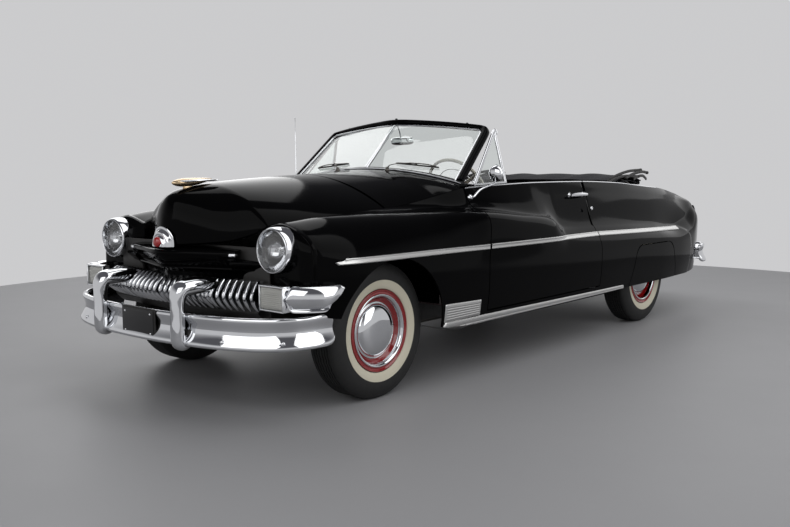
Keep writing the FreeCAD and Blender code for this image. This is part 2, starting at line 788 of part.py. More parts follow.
def make_wheel(side, axle_y, track):
    """Pressed steel wheel: drop-centre rim, dished disc and the brake drum behind it."""
    bead, flange, half = dim.bead_radius - dim.seat_gap, dim.flange_radius, dim.rim_width / 2
    bore = dim.hub_bore
    barrel = [
        (-half, flange), (-half + 6, flange), (-half + 13.7, bead + 8), (-half + 13.7, bead), (-40, bead),
        (-28, bead - 22), (20, bead - 22), (34, bead), (half - 13.7, bead), (half - 13.7, bead + 8),
        (half - 6, flange), (half, flange), (half, bead - 4), (half - 16, bead - 8), (38, bead - 7),
        (24, bead - 30), (-32, bead - 30), (-44, bead - 7), (-half + 16, bead - 8), (-half, bead - 4),
    ]
    disc = [
        (8, bead - 28), (14, bead - 28), (44, 126), (44, 96), (20, 84), (20, bore), (14, bore), (14, 88),
        (37, 100), (37, 122), (8, bead - 36),
    ]
    drum_back = 13 - dim.drum_depth
    drum = [
        (14, bore), (14, dim.drum_radius - 14), (6, dim.drum_radius), (drum_back, dim.drum_radius),
        (drum_back, dim.drum_radius - 8), (4, dim.drum_radius - 12), (4, bore),
    ]
    centre = Vector(side * track / 2, axle_y, dim.tyre_radius)
    return join([revolve_about_x(sided(part, side), centre) for part in (barrel, disc, drum)])


def make_hubcap(side, axle_y, track):
    """Domed hubcap and the separate trim ring round the rim."""
    cap, height = dim.hubcap_radius - 4, dim.hubcap_height
    half, flange = dim.rim_width / 2, dim.flange_radius
    centre = Vector(side * track / 2, axle_y, dim.tyre_radius)
    outward = X_AXIS * side
    seat = centre + outward * (44 + dim.seat_gap)
    shell = dome(seat, outward, cap, height).cut(dome(seat - outward * 0.5, outward, cap - 4, height - 3))
    ring = [
        (half + 3, flange - 1), (half + 1, flange - 28, half + 5, flange - 14), (half - 16, 164), (half - 18, 164),
        (half - 1.5, flange - 29), (half + dim.seat_gap, flange - 27), (half + dim.seat_gap, flange - 1),
    ]
    return Part.makeCompound([shell, revolve_about_x(sided(ring, side), centre)])


# ---------------------------------------------------------------- chassis
# Frame rail stations: anchor axle, station, centre plane to the rail's middle, height of the rail's top.
FRAME_RAIL = [
    (behind_front, -620, 360, 440),
    (behind_front, -420, 360, 440),
    (behind_front, 420, 375, 440),
    (behind_front, 620, 500, 391.7),
    (behind_rear, -640, 500, 391.7),
    (behind_rear, -330, 500, 560),
    (behind_rear, 330, 500, 560),
    (behind_rear, 560, 480, 470),
    (behind_rear, 1060, 480, 470),
]


def make_frame_rail(first, last):
    """A stretch of the left frame rail between two of its stations."""
    wires = []
    for index in range(first, last + 1):
        behind, station, middle, top = FRAME_RAIL[index]
        y = behind(station) + (dim.seat_gap if index == first else 0)
        half = dim.rail_width / 2
        low = top - dim.rail_height
        corners = [Vector(middle - half, y, low), Vector(middle + half, y, low)]
        corners += [Vector(middle + half, y, top), Vector(middle - half, y, top)]
        wires.append(Part.makePolygon(corners + [corners[0]]))
    return Part.makeLoft(wires, True, True)


# The shelf beside each rail that the front coil springs push against.
SPRING_TOWER_REACH = 545
SPRING_TOWER_LOW = 426


# Cross members: anchor axle, station, reach to each side, height of the rail beside them.
FRONT_MEMBERS = [(behind_front, -580, 360, 440), (behind_front, -310, 360, 440), (behind_front, 90, 362, 400)]
AXLE_MEMBERS = [(behind_rear, -420, 500, 500), (behind_rear, 380, 490, 540)]
TAIL_MEMBERS = [(behind_rear, 1026, 480, 470)]
X_MEMBER_Z = 335


def cross_members(rows):
    """Straight cross members of the frame."""
    members = []
    for behind, station, reach, top in rows:
        y = behind(station)
        members.append(box((-reach, reach), (y - 33, y + 33), (top - 80, top - 10)))
    return members


def make_chassis():
    """Frame in four bolted sections: front, cabin with the convertible's X member, rear axle kick-up and tail."""
    towers = []
    for side in (1, -1):
        span = sorted((side * 390, side * SPRING_TOWER_REACH))
        towers.append(box(span, (front_axle_y - 70, front_axle_y + 70), (SPRING_TOWER_LOW, SPRING_TOWER_LOW + 14)))
    ends = ((behind_front(820), 480), (behind_rear(-690), 480))
    middle_y = (ends[0][0] + ends[1][0]) / 2
    x_member = [box((-90, 90), (middle_y - 120, middle_y + 120), (X_MEMBER_Z - 45, X_MEMBER_Z + 45))]
    for y, x in ends:
        for side in (1, -1):
            x_member.append(bar(Vector(side * x, y, X_MEMBER_Z), Vector(0, middle_y, X_MEMBER_Z), 70, 90, X_AXIS))
    sections = []
    for first, last, extras in (
        (0, 3, cross_members(FRONT_MEMBERS) + towers), (3, 4, x_member), (4, 7, cross_members(AXLE_MEMBERS)),
        (7, 8, cross_members(TAIL_MEMBERS)),
    ):
        rail = make_frame_rail(first, last)
        sections.append(join([rail, mirrored(rail)] + extras))
    return Part.makeCompound(sections)


AXLE_FLOOR_TOP = 585


def make_floor():
    """Floor pan with sills, the step up over the rear axle, the trunk floor and the wheelhouses."""
    top, sheet_thickness = dim.floor_height, dim.floor_sheet
    low = top - sheet_thickness
    half = dim.half_width - 27 - rocker_thickness - dim.seat_gap
    step_y = behind_rear(-650)
    high = AXLE_FLOOR_TOP
    pieces = [box((-half, half), (behind_front(640), step_y), (low, top))]
    for side in (1, -1):
        span = sorted((side * half, side * (half - 60)))
        pieces.append(box(span, (door_front_y, door_rear_y), (305, low)))
    rear_half = 610
    drop_y = behind_rear(575)
    pieces.append(box((-half, half), (step_y, step_y + sheet_thickness), (low, high)))
    pieces.append(box((-half, half), (step_y, behind_rear(-400)), (high - sheet_thickness, high)))
    pieces.append(box((-rear_half, rear_half), (behind_rear(-400), drop_y), (high - sheet_thickness, high)))
    pieces.append(box((-rear_half, rear_half), (drop_y - sheet_thickness, drop_y), (478, high)))
    pieces.append(box((-rear_half, rear_half), (drop_y - sheet_thickness, behind_rear(1120)), (478, 486)))
    return join(pieces)


# ---------------------------------------------------------------- sketched and primitive pieces
def padded_body(label, outline, length, shift_y):
    """A PartDesign body: an outline in the side view, padded evenly to both sides of the centre plane.

    The outline's points are (station, height); each becomes a constraint of the sketch.
    """
    body = doc.addObject("PartDesign::Body", label + "_body")
    plane = [item for item in body.Origin.OriginFeatures if item.Role == "YZ_Plane"][0]
    sketch = body.newObject("Sketcher::SketchObject", label + "_sketch")
    sketch.AttachmentSupport = [(plane, "")]
    sketch.MapMode = "FlatFace"
    count = len(outline)
    for index, point in enumerate(outline):
        end = outline[(index + 1) % count]
        sketch.addGeometry(Part.LineSegment(Vector(*point, 0), Vector(*end, 0)))
    for index in range(count):
        sketch.addConstraint(Sketcher.Constraint("Coincident", index, 2, (index + 1) % count, 1))
    for index, point in enumerate(outline):
        sketch.addConstraint(Sketcher.Constraint("DistanceX", -1, 1, index, 1, point[0]))
        sketch.addConstraint(Sketcher.Constraint("DistanceY", -1, 1, index, 1, point[1]))
    pad = body.newObject("PartDesign::Pad", label + "_pad")
    pad.Profile = sketch
    pad.SideType = "Symmetric"
    pad.setExpression("Length", cells(length))
    body.setExpression("Placement.Base.y", cells(shift_y))
    body.setExpression("Placement.Base.z", cells("floor_height"))
    doc.recompute()
    return body, pad


FRONT_AXLE = "( front_overhang - wheelbase - rear_overhang ) / 2"
REAR_AXLE = "( front_overhang + wheelbase - rear_overhang ) / 2"


def rounded(body, pad, label, radius, picker):
    """Fillet the edges of a body's pad that a picker accepts."""
    names = [f"Edge{number}" for number, edge in enumerate(pad.Shape.Edges, 1) if picker(edge)]
    fillet = body.newObject("PartDesign::Fillet", label + "_fillet")
    fillet.Base = (pad, names)
    fillet.Radius = radius
    doc.recompute()
    return body


def across_edges(edge):
    """True for an edge that runs across the car above a seat's plinth."""
    return edge.BoundBox.XLength > 100 and edge.BoundBox.ZMin > 120


def make_seats():
    """Front bench seat and rear seat, each a padded outline with rounded edges."""
    front = [(1470, 0.3), (1470, 60), (1420, 60), (1420, 205), (1860, 190), (1985, 560), (2085, 560), (2010, 60)]
    front += [(1960, 60), (1960, 0.3)]
    rear = [(-610, 185.3), (-610, 365), (-350, 345), (-290, 600), (-210, 600), (-210, 185.3)]
    for label, outline, width, axle, radius in (
        ("front_seat", front, "seat_width", FRONT_AXLE, 34), ("rear_seat", rear, "seat_width - 140", REAR_AXLE, 28),
    ):
        body, pad = padded_body(label, outline, width, axle)
        keep(rounded(body, pad, label, radius, across_edges), label)


def make_dashboard():
    """Instrument panel: a padded outline trimmed to the underside of the cowl."""
    outline = [(848, 500), (848, 760), (925, 760), (972, 610), (950, 480), (905, 455), (900, 470), (935, 600)]
    outline += [(890, 640), (870, 620), (870, 500)]
    body, pad = padded_body("dashboard", outline, "dash_width", FRONT_AXLE)
    under = doc.addObject("Part::Feature", "under_cowl")
    places = (behind_front(800), behind_front(1000))
    under.Shape = Part.makeLoft([cowl_wire(y, dim.sheet + 1, 700) for y in places], True, True)
    panel = doc.addObject("Part::Common", "dashboard_common")
    panel.Base = body
    panel.Tool = under
    keep(panel, "dashboard")


def bound_box(label, length, width, height, x, y, z):
    """A Part::Box whose sizes and place are expressions of the sheet's aliases."""
    feature = doc.addObject("Part::Box", label + "_box")
    bind(feature, Length=cells(length), Width=cells(width), Height=cells(height))
    for axis, expression in (("x", x), ("y", y), ("z", z)):
        feature.setExpression("Placement.Base." + axis, cells(expression))
    return feature


def make_masses():
    """Engine, radiator and fuel tank as plain blocks at their real size and place."""
    engine = bound_box("engine_block", "engine_width", "engine_length", "engine_height",
                       "0 - engine_width / 2", FRONT_AXLE + " - 130", "390.3")
    keep(engine, "engine_block")
    radiator = bound_box("radiator", "radiator_width", "radiator_depth", "radiator_height",
                         "0 - radiator_width / 2", FRONT_AXLE + " - 340", "430.3")
    keep(radiator, "radiator")
    tank = bound_box("fuel_tank", "tank_width", "tank_length", "tank_height",
                     "0 - tank_width / 2", REAR_AXLE + " + 590", "477.7 - tank_height")
    keep(tank, "fuel_tank")


def axle_cylinder(label, radius, reach):
    """A cylinder along the rear axle, reaching evenly to both sides; sizes are sheet expressions."""
    feature = doc.addObject("Part::Cylinder", label)
    bind(feature, Radius=cells(radius), Height=cells("2 * ( " + reach + " )"))
    feature.Placement = Placement(Vector(0, 0, 0), Rotation(Y_AXIS, 90))
    feature.setExpression("Placement.Base.x", cells("0 - ( " + reach + " )"))
    return feature


def lengthwise_cone(label, front_radius, rear_radius, start, length):
    """A cone or drum pointing along the car at the rear axle's height; sizes are sheet expressions."""
    feature = doc.addObject("Part::Cone", label)
    bind(feature, Radius1=cells(front_radius), Radius2=cells(rear_radius + " + 0.5"), Height=cells(length))
    feature.Placement = Placement(Vector(0, 0, 0), Rotation(X_AXIS, -90))
    feature.setExpression("Placement.Base.y", cells(REAR_AXLE + " + ( " + start + " )"))
    feature.setExpression("Placement.Base.z", cells("tyre_radius"))
    return feature


def make_rear_axle():
    """Rear axle: tube, shafts that carry the wheels, backing plates and the differential housing."""
    plate_face = "rear_track / 2 + 13 - drum_depth - seat_gap"
    tube = axle_cylinder("axle_tube", "axle_tube_radius", plate_face)
    shaft = axle_cylinder("axle_shafts", "hub_bore - seat_gap", "rear_track / 2 + 16")
    disc = axle_cylinder("backing_discs", "drum_radius", plate_face)
    space = axle_cylinder("between_discs", "drum_radius + 5", plate_face + " - 6")
    plates = doc.addObject("Part::Cut", "backing_plates")
    plates.Base = disc
    plates.Tool = space
    for feature in (tube, shaft, disc, space):
        feature.setExpression("Placement.Base.y", cells(REAR_AXLE))
        feature.setExpression("Placement.Base.z", cells("tyre_radius"))
    ring = lengthwise_cone("differential_ring", "differential_radius", "differential_radius", "-60", "120")
    cover = lengthwise_cone("differential_cover", "differential_radius - 14", "differential_radius * 0.5", "60", "45")
    pinion = lengthwise_cone("pinion_housing", "differential_radius * 0.3", "differential_radius * 0.75", "-190", "130")
    axle = doc.addObject("Part::MultiFuse", "rear_axle_fuse")
    axle.Shapes = [tube, shaft, plates, ring, cover, pinion]
    keep(axle, "rear_axle")


def make_steering_wheel():
    """Steering wheel: rim, hub and three spokes in the plane of its own axis."""
    rim = Part.makeTorus(dim.steering_wheel_radius - 11, 11)
    hub = Part.makeCylinder(38, 46, Vector(0, 0, -34))
    spokes = []
    for turn in (0, 120, 240):
        spoke = box((-13, 13), (20, dim.steering_wheel_radius - 12), (-9, 3))
        spoke.rotate(Vector(0, 0, 0), Z_AXIS, turn + 180)
        spokes.append(spoke)
    return join([hub, rim] + spokes)


steering_tilt = 60
steering_centre = Vector(360, behind_front(1290), 1035)
steering_axis = Vector(0, math.sin(math.radians(steering_tilt)), math.cos(math.radians(steering_tilt)))


BASE_RISE = 16


def windshield_corners():
    """Foot and head of the windshield's middle bar, then of its left post."""
    base_centre = cowl_point(behind_front(822), 0, BASE_RISE - 4)
    base_corner = cowl_point(behind_front(862), dim.half_width - 263, BASE_RISE - 4)
    return base_centre, base_corner, Vector(0, behind_front(1100), 1482), Vector(dim.half_width - 317, behind_front(1222), 1425)


def make_wiper(cowl):
    """Left wiper: a pivot on the cowl, its arm and the blade lying on the glass."""
    foot, low, head, _ = windshield_corners()
    foot, head = foot + X_AXIS * 11, head + X_AXIS * 11
    across = (low - foot).normalize()
    inward = (head - foot).cross(across).normalize()
    upward = across.cross(inward)
    radius = 4
    lift = inward * -(dim.windshield_sheet / 2 + radius + dim.seat_gap)
    start, end = foot + across * 190 + upward * 60 + lift, foot + across * 500 + upward * 74 + lift
    pivot = surface_point(cowl, 210, behind_front(775)) + Z_AXIS * 1.2
    top = pivot + Z_AXIS * 20
    return join([rod(start, end, radius), rod(pivot, top, 10), rod(top - Z_AXIS * 5, (start + end) / 2, radius)])


def make_windshield():
    """Windshield frame with its inside mirror, and its two flat panes in a shallow V."""
    front, rear = behind_front(806), behind_front(876)
    wires = []
    for y in (front, rear):
        top, belt_x, belt_z = section_at(y)[:3]
        half = SHELF_HALF
        edges = []
        for lift in (dim.seat_gap, BASE_RISE):
            edges.append(arc(cowl_point(y, -half, lift), cowl_point(y, 0, lift), cowl_point(y, half, lift)))
        ends = [line(cowl_point(y, side * half, dim.seat_gap), cowl_point(y, side * half, BASE_RISE)) for side in (1, -1)]
        wires.append(Part.Wire(Part.__sortEdges__(edges + ends)))
    pieces = [Part.makeLoft(wires, True, True)]
    base_centre, base_corner, head_centre, head_corner = windshield_corners()
    for side in (1, -1):
        low, high = [Vector(side * point.x, point.y, point.z) for point in (base_corner, head_corner)]
        pieces.append(bar(low, high, 34, 40, X_AXIS))
        pieces.append(bar(head_centre, high, 34, 40, Z_AXIS))
        pieces.append(Part.makeSphere(22, high))
    pieces.append(bar(base_centre, head_centre, 22, 30, X_AXIS))
    pieces.append(Part.makeSphere(22, head_centre))
    mirror = head_centre + Vector(0, 62, -118)
    pieces.append(rod(head_centre, mirror, 5))
    pieces.append(box((-95, 95), (mirror.y - 7, mirror.y + 7), (mirror.z - 26, mirror.z + 26)))
    frame = join(pieces).cut(lifted_top(behind_front(700), behind_front(950)))
    panes = []
    for side in (1, -1):
        foot = base_centre + Vector(side * 11, 0, 0)
        head = head_centre + Vector(side * 11, 0, 0)
        low = Vector(side * base_corner.x, base_corner.y, base_corner.z)
        across = (low - foot).normalize()
        normal = (head - foot).cross(across).normalize()
        high = Vector(side * head_corner.x, head_corner.y, head_corner.z)
        high = high - normal * (high - foot).dot(normal)
        slab = polygon_prism([foot, low, high, head], normal * dim.windshield_sheet)
        slab.translate(normal * (-dim.windshield_sheet / 2))
        panes.append(max(slab.cut(frame).Solids, key=lambda solid: solid.Volume))
    return frame, Part.makeCompound(panes)


def lifted_top(start, end):
    """Everything below the body's top between two stations, raised by the seat gap."""
    solid = top_panel(start, end, 60)
    solid.translate(Z_AXIS * dim.seat_gap)
    return solid


def surface_point(shape, x, y):
    """The highest point of a shape at an X and a Y, lifted by the seat gap."""
    upright = Part.makeLine(Vector(x, y, 0), Vector(x, y, 2000))
    return Vector(x, y, shape.common(upright).BoundBox.ZMax + dim.seat_gap)


def cowl_point(y, x, lift):
    """A point above the body's top surface at a Y and an X, by the circle through belt, crest and belt."""
    top, belt_x, belt_z = section_at(y)[:3]
    half = belt_x - dim.sheet - dim.seat_gap
    drop = top - belt_z
    radius = (half**2 + drop**2) / (2 * drop)
    return Vector(x, y, top - radius + math.sqrt(radius**2 - x**2) + lift)


def side_strip(skin, start, end, low, high):
    """A moulding cut from a layer over the body's skin, between two stations and two heights at each end."""
    points = [Vector(600, start, low[0]), Vector(600, end, low[1]), Vector(600, end, high[1]), Vector(600, start, high[0])]
    return skin.common(polygon_prism(points, Vector(500, 0, 0)))


def ring_segment(radius, depth, half_angle, low, high, front_y):
    """An upright band bowed forward: its front face at front_y on the centre plane."""
    centre = Vector(0, front_y + radius, low)

    def on_circle(distance, angle):
        return centre + Vector(distance * math.sin(angle), -distance * math.cos(angle), 0)

    near, far = radius, radius - depth
    edges = [
        arc(on_circle(near, -half_angle), on_circle(near, 0), on_circle(near, half_angle)),
        line(on_circle(near, half_angle), on_circle(far, half_angle)),
        arc(on_circle(far, half_angle), on_circle(far, 0), on_circle(far, -half_angle)),
        line(on_circle(far, -half_angle), on_circle(near, -half_angle)),
    ]
    return Part.Face(Part.Wire(edges)).extrude(Vector(0, 0, high - low))


def make_nose_panel():
    """Body panel across the nose: the lip over the grille, the grille's backing and the radiator support."""
    belt = section_at(fender_front_y)[1]
    half = belt - dim.sheet - dim.seat_gap
    support = box((-half, half), (fender_front_y, fender_front_y + dim.sheet), (440 + dim.seat_gap, 800))
    window = box((-290, 290), (fender_front_y - 5, fender_front_y + 20), (500, 760))
    lip = ring_segment(1100, 28, 0.46, 735, 788, behind_front(-708))
    shelf = ring_segment(1100, 150, 0.4, 735, 741, behind_front(-700))
    backing = ring_segment(2400, 22, 0.262, 496, 644, behind_front(-672) + dim.seat_gap)
    stays = []
    for side in (1, -1):
        span = sorted((side * 380, side * 410))
        stays.append(box(span, (behind_front(-622), fender_front_y + 2), (520, 620)))
        span = sorted((side * 385, side * 410))
        stays.append(box(span, (behind_front(-625), fender_front_y + 2), (740, 780)))
    return join([support.cut(window), lip, shelf, backing] + stays)


LAMP_BOX_INNER = dim.half_width - 302
LAMP_BOX_OUTER = dim.half_width - 172


def make_wings():
    """Chrome end of the grille with the parking lamp's frame, wrapped round the left fender."""
    plan = [
        (LAMP_BOX_OUTER - 5, behind_front(-626), 0), (dim.half_width - 17, behind_front(-545), 120),
        (dim.half_width + 7, behind_front(-352), 0),
    ]
    profile = [(0, 0), (16, 60, 14, 20), (0, 120, 14, 100), (-8, 120), (-8, 0)]
    wing = bumper_bar(plan, profile, 520)
    front, rear = behind_front(-652), behind_front(-606)
    frame = box((LAMP_BOX_INNER, LAMP_BOX_OUTER), (front, rear), (520, 640))
    hollow = box((LAMP_BOX_INNER + 10, LAMP_BOX_OUTER - 10), (front - 1, rear - 16), (532, 628))
    stay = box((690, 730), (rear - 5, fender_front_y - dim.seat_gap), (560, 600))
    return join([wing, frame.cut(hollow), stay])


def make_parking_lens():
    """Frosted lens of the left parking lamp, set in the wing's frame."""
    free = 10 + dim.seat_gap
    span = (LAMP_BOX_INNER + free, LAMP_BOX_OUTER - free)
    return box(span, (behind_front(-648), behind_front(-622) - dim.seat_gap), (522 + free, 638 - free))


def make_rear_bumper():
    """Chrome rear bumper bar."""
    face_y = behind_rear(dim.rear_overhang - 50)
    half = dim.half_width - 38
    shoulder = half - 319
    plan = [(half, behind_rear(1010), 0), (half, behind_rear(1230), 110), (shoulder, face_y - 45, 800), (0, face_y, 2600)]
    plan += [(-x, y, radius) for x, y, radius in reversed(plan[:-1])]
    return bumper_bar(plan, BAR_PROFILE, 370)


def rear_guard(x):
    """A rear bumper guard: the front one's form turned round."""
    horn = guard(x, 0, 340, 560, 58)
    horn.rotate(Vector(x, 0, 0), Z_AXIS, 180)
    horn.translate(Vector(0, behind_rear(dim.rear_overhang), 0))
    return horn


TAILLIGHT_X = dim.half_width - 215


def make_taillight(side):
    """Upright taillight: a tapering oval lens on the quarter's tail."""
    wires = []
    for lead, half_height, half_width in ((0, 80, 27), (22, 76, 24), (34, 52, 12)):
        outline = Part.Wire([Part.Ellipse(Vector(0, 0, 0), half_height, half_width).toShape()])
        outline.rotate(Vector(0, 0, 0), Z_AXIS, 90)
        outline.rotate(Vector(0, 0, 0), X_AXIS, 90)
        outline.translate(Vector(side * TAILLIGHT_X, quarter_rear_y + dim.seat_gap + lead, 757))
        wires.append(outline)
    return Part.makeLoft(wires, True, True)


def make_folded_top():
    """The folded top as one soft stack lying in its well."""
    outline = [(-178, 369.3), (-178, 640), (-60, 705), (180, 720), (350, 690), (382, 600), (382, 369.3)]
    body, pad = padded_body("folded_top", outline, "seat_width + 60", REAR_AXLE)
    rounded(body, pad, "folded_top", 30, across_edges)
    keep(body, "folded_top")


def make_leaf_spring():
    """A left leaf spring: a shallow bow of stacked leaves under the axle."""
    x_middle = 590
    y_front, y_rear = behind_rear(-600), behind_rear(640)
    low = dim.tyre_radius - dim.axle_tube_radius - dim.seat_gap - 42
    pieces = []
    for index, share in enumerate((1, 0.78, 0.55)):
        rise = 90 * share**2
        z = low + 28 - 14 * index
        front = Vector(x_middle, rear_axle_y + (y_front - rear_axle_y) * share, z + rise)
        rear = Vector(x_middle, rear_axle_y + (y_rear - rear_axle_y) * share, z + rise)
        middle = Vector(x_middle, rear_axle_y, z)
        lift = Vector(0, 0, 14)
        edges = [arc(front, middle, rear), line(rear, rear + lift), arc(rear + lift, middle + lift, front + lift)]
        face = Part.Face(Part.Wire(edges + [line(front + lift, front)]))
        leaf = face.extrude(Vector(50, 0, 0))
        leaf.translate(Vector(-25, 0, 0))
        pieces.append(leaf)
    eyes = []
    for y in (y_front, y_rear):
        start = Vector(538 + dim.seat_gap, y, low + 28 + 90 + 7)
        eyes.append(Part.makeCylinder(18, 80, start, X_AXIS))
    return join(pieces + eyes)


KINGPIN_X = 655
KINGPIN_RADIUS = 22


def make_front_suspension():
    """Left wishbones with their ball-joint blocks and the coil spring between arm and tower."""
    y, height = front_axle_y, dim.tyre_radius
    joint_face = KINGPIN_X - KINGPIN_RADIUS - dim.seat_gap
    lower, upper = height - 100, SPRING_TOWER_LOW + 14 + dim.seat_gap + 12
    pieces = []
    for level, root_x, spread in ((lower, 398 + dim.seat_gap, 120), (upper, 430, 50)):
        pieces.append(box((joint_face - 30, joint_face), (y - 20, y + 20), (level - 15, level + 15)))
        for turn in (-1, 1):
            root = Vector(root_x + 6, y + turn * spread, level)
            pieces.append(bar(root, Vector(joint_face - 15, y, level), 24, 20, Z_AXIS))
    for turn in (-1, 1):
        start = Vector(398 + dim.seat_gap, y + turn * 120, lower)
        pieces.append(rod(start, start + Vector(24, 0, 0), 17))
        pieces.append(rod(Vector(430, y + turn * 30, upper), Vector(430, y + turn * 66, upper), 11))
    pieces.append(box((440, 545), (y - 50, y + 50), (lower - 4, lower + 8)))
    pieces.append(rod(Vector(492, y, lower + 4), Vector(492, y, SPRING_TOWER_LOW - dim.seat_gap), 48))
    return join(pieces)


def make_knuckle(side):
    """Steering knuckle: round upright, spindle, backing plate and steering arm."""
    y = front_axle_y
    height = dim.tyre_radius
    drum_back = dim.front_track / 2 + 13 - dim.drum_depth
    upright = rod(Vector(KINGPIN_X, y, height - 112), Vector(KINGPIN_X, y, height + 112), KINGPIN_RADIUS)
    plate = Part.makeCylinder(dim.drum_radius, 6, Vector(drum_back - 6 - dim.seat_gap, y, height), X_AXIS)
    spindle_end = Vector(dim.front_track / 2 + 16, y, height)
    spindle = rod(Vector(KINGPIN_X, y, height), spindle_end, dim.hub_bore - dim.seat_gap)
    arm = bar(Vector(KINGPIN_X, y, height - 30), Vector(KINGPIN_X - 20, y + 150, height - 30), 24, 20, Z_AXIS)
    knuckle = join([upright, plate, spindle, arm])
    return knuckle if side > 0 else mirrored(knuckle)


def make_exhaust():
    """Exhaust pipe with its silencer under the floor."""
    points = [Vector(240, behind_front(390), 366.8), Vector(300, behind_front(900), 225), Vector(300, behind_rear(-500), 225)]
    pieces = [rod(points[0], points[1], 24), rod(points[1], points[2], 24)]
    pieces.append(Part.makeSphere(24, points[1]))
    pieces.append(Part.makeCylinder(62, 620, Vector(300, behind_front(1300), 225), Y_AXIS))
    return join(pieces)


def door_top(y, x):
    """Height of a door's top face at a Y and an X."""
    top, belt_x, belt_z = section_at(y)[:3]
    return belt_z - BELT_FALL * (belt_x - x) / dim.door_thickness


def make_vent_window(side):
    """Chrome-framed vent window standing on the door."""
    front_x, rear_x = dim.half_width - 219, dim.half_width - 215
    front = Vector(front_x, behind_front(938), door_top(behind_front(938), front_x) + 9)
    rear = Vector(rear_x, behind_front(1262), door_top(behind_front(1262), rear_x) + 9)
    head = Vector(dim.half_width - 289, behind_front(1245), 1392)
    pieces = [bar(front, rear, 14, 16, Z_AXIS), bar(rear, head, 14, 16, X_AXIS), bar(front, head, 14, 16, X_AXIS)]
    pieces += [Part.makeSphere(9, point) for point in (front, rear, head)]
    frame = join(pieces)
    normal = (rear - front).cross(head - front).normalize()
    pane = polygon_prism([front, rear, head], normal * 4)
    pane.translate(normal * -2)
    glass = max(pane.cut(frame).Solids, key=lambda solid: solid.Volume)
    shapes = (frame, glass)
    return shapes if side > 0 else tuple(mirrored(shape) for shape in shapes)


def skin_x(y, height):
    """X of the body's left skin between the belt and the fender's crown."""
    top, belt_x, belt_z, crown_x, crown_z = section_at(y)[:5]
    return belt_x + (crown_x - belt_x) * (belt_z - height) / (belt_z - crown_z)


def make_door_handle():
    """Pull handle standing on its two posts."""
    y, height, stand_off = behind_front(1850), 985, 34
    grip_x = skin_x(y + 115, height) + stand_off
    grip = bar(Vector(grip_x, y, height), Vector(grip_x, y + 230, height), 14, 22, X_AXIS)
    posts = []
    for shift in (20, 210):
        foot_x = skin_x(y + shift, height) + dim.seat_gap + 3
        posts.append(rod(Vector(foot_x, y + shift, height), Vector(grip_x, y + shift, height), 9))
    return join([grip] + posts)


def make_side_mirror():
    """Round mirror on an arm that stands at the left door's front edge."""
    y, height, radius = behind_front(815), 1000, 48
    foot = Vector(skin_x(y, height) + dim.seat_gap + 4.6, y, height)
    knee = foot + Vector(22, 0, 6)
    centre = Vector(foot.x + 44, behind_front(995), 1135)
    head = dome(centre, -Y_AXIS, radius, 22).fuse(Part.makeCylinder(radius, 9, centre, Y_AXIS))
    neck = centre + Vector(0, 2, -radius + 6)
    return join([head, rod(foot, knee, 9), Part.makeSphere(9, knee), rod(knee, neck, 5)])


# Hood ornament sections: station, half span, lower and upper height.
ORNAMENT = [
    (-640, 4, 1104, 1112),
    (-590, 14, 1092, 1128),
    (-547, 42, 1094, 1134),
    (-470, 96, 1110, 1131),
    (-390, 118, 1118, 1126),
]


def make_hood_ornament():
    """Winged ornament on a foot on the hood's nose."""
    wires = []
    for station, half, low, high in ORNAMENT:
        y = behind_front(station)
        left, right = Vector(-half, y, (low + high) / 2), Vector(half, y, (low + high) / 2)
        wires.append(Part.Wire([arc(left, Vector(0, y, high), right), arc(right, Vector(0, y, low), left)]))
    bird = Part.makeLoft(wires, True, True)
    rear = behind_front(-535)
    foot = box((-9, 9), (behind_front(-570), rear), (section_at(rear)[0] + 2.5, 1100))
    return join([bird, foot])


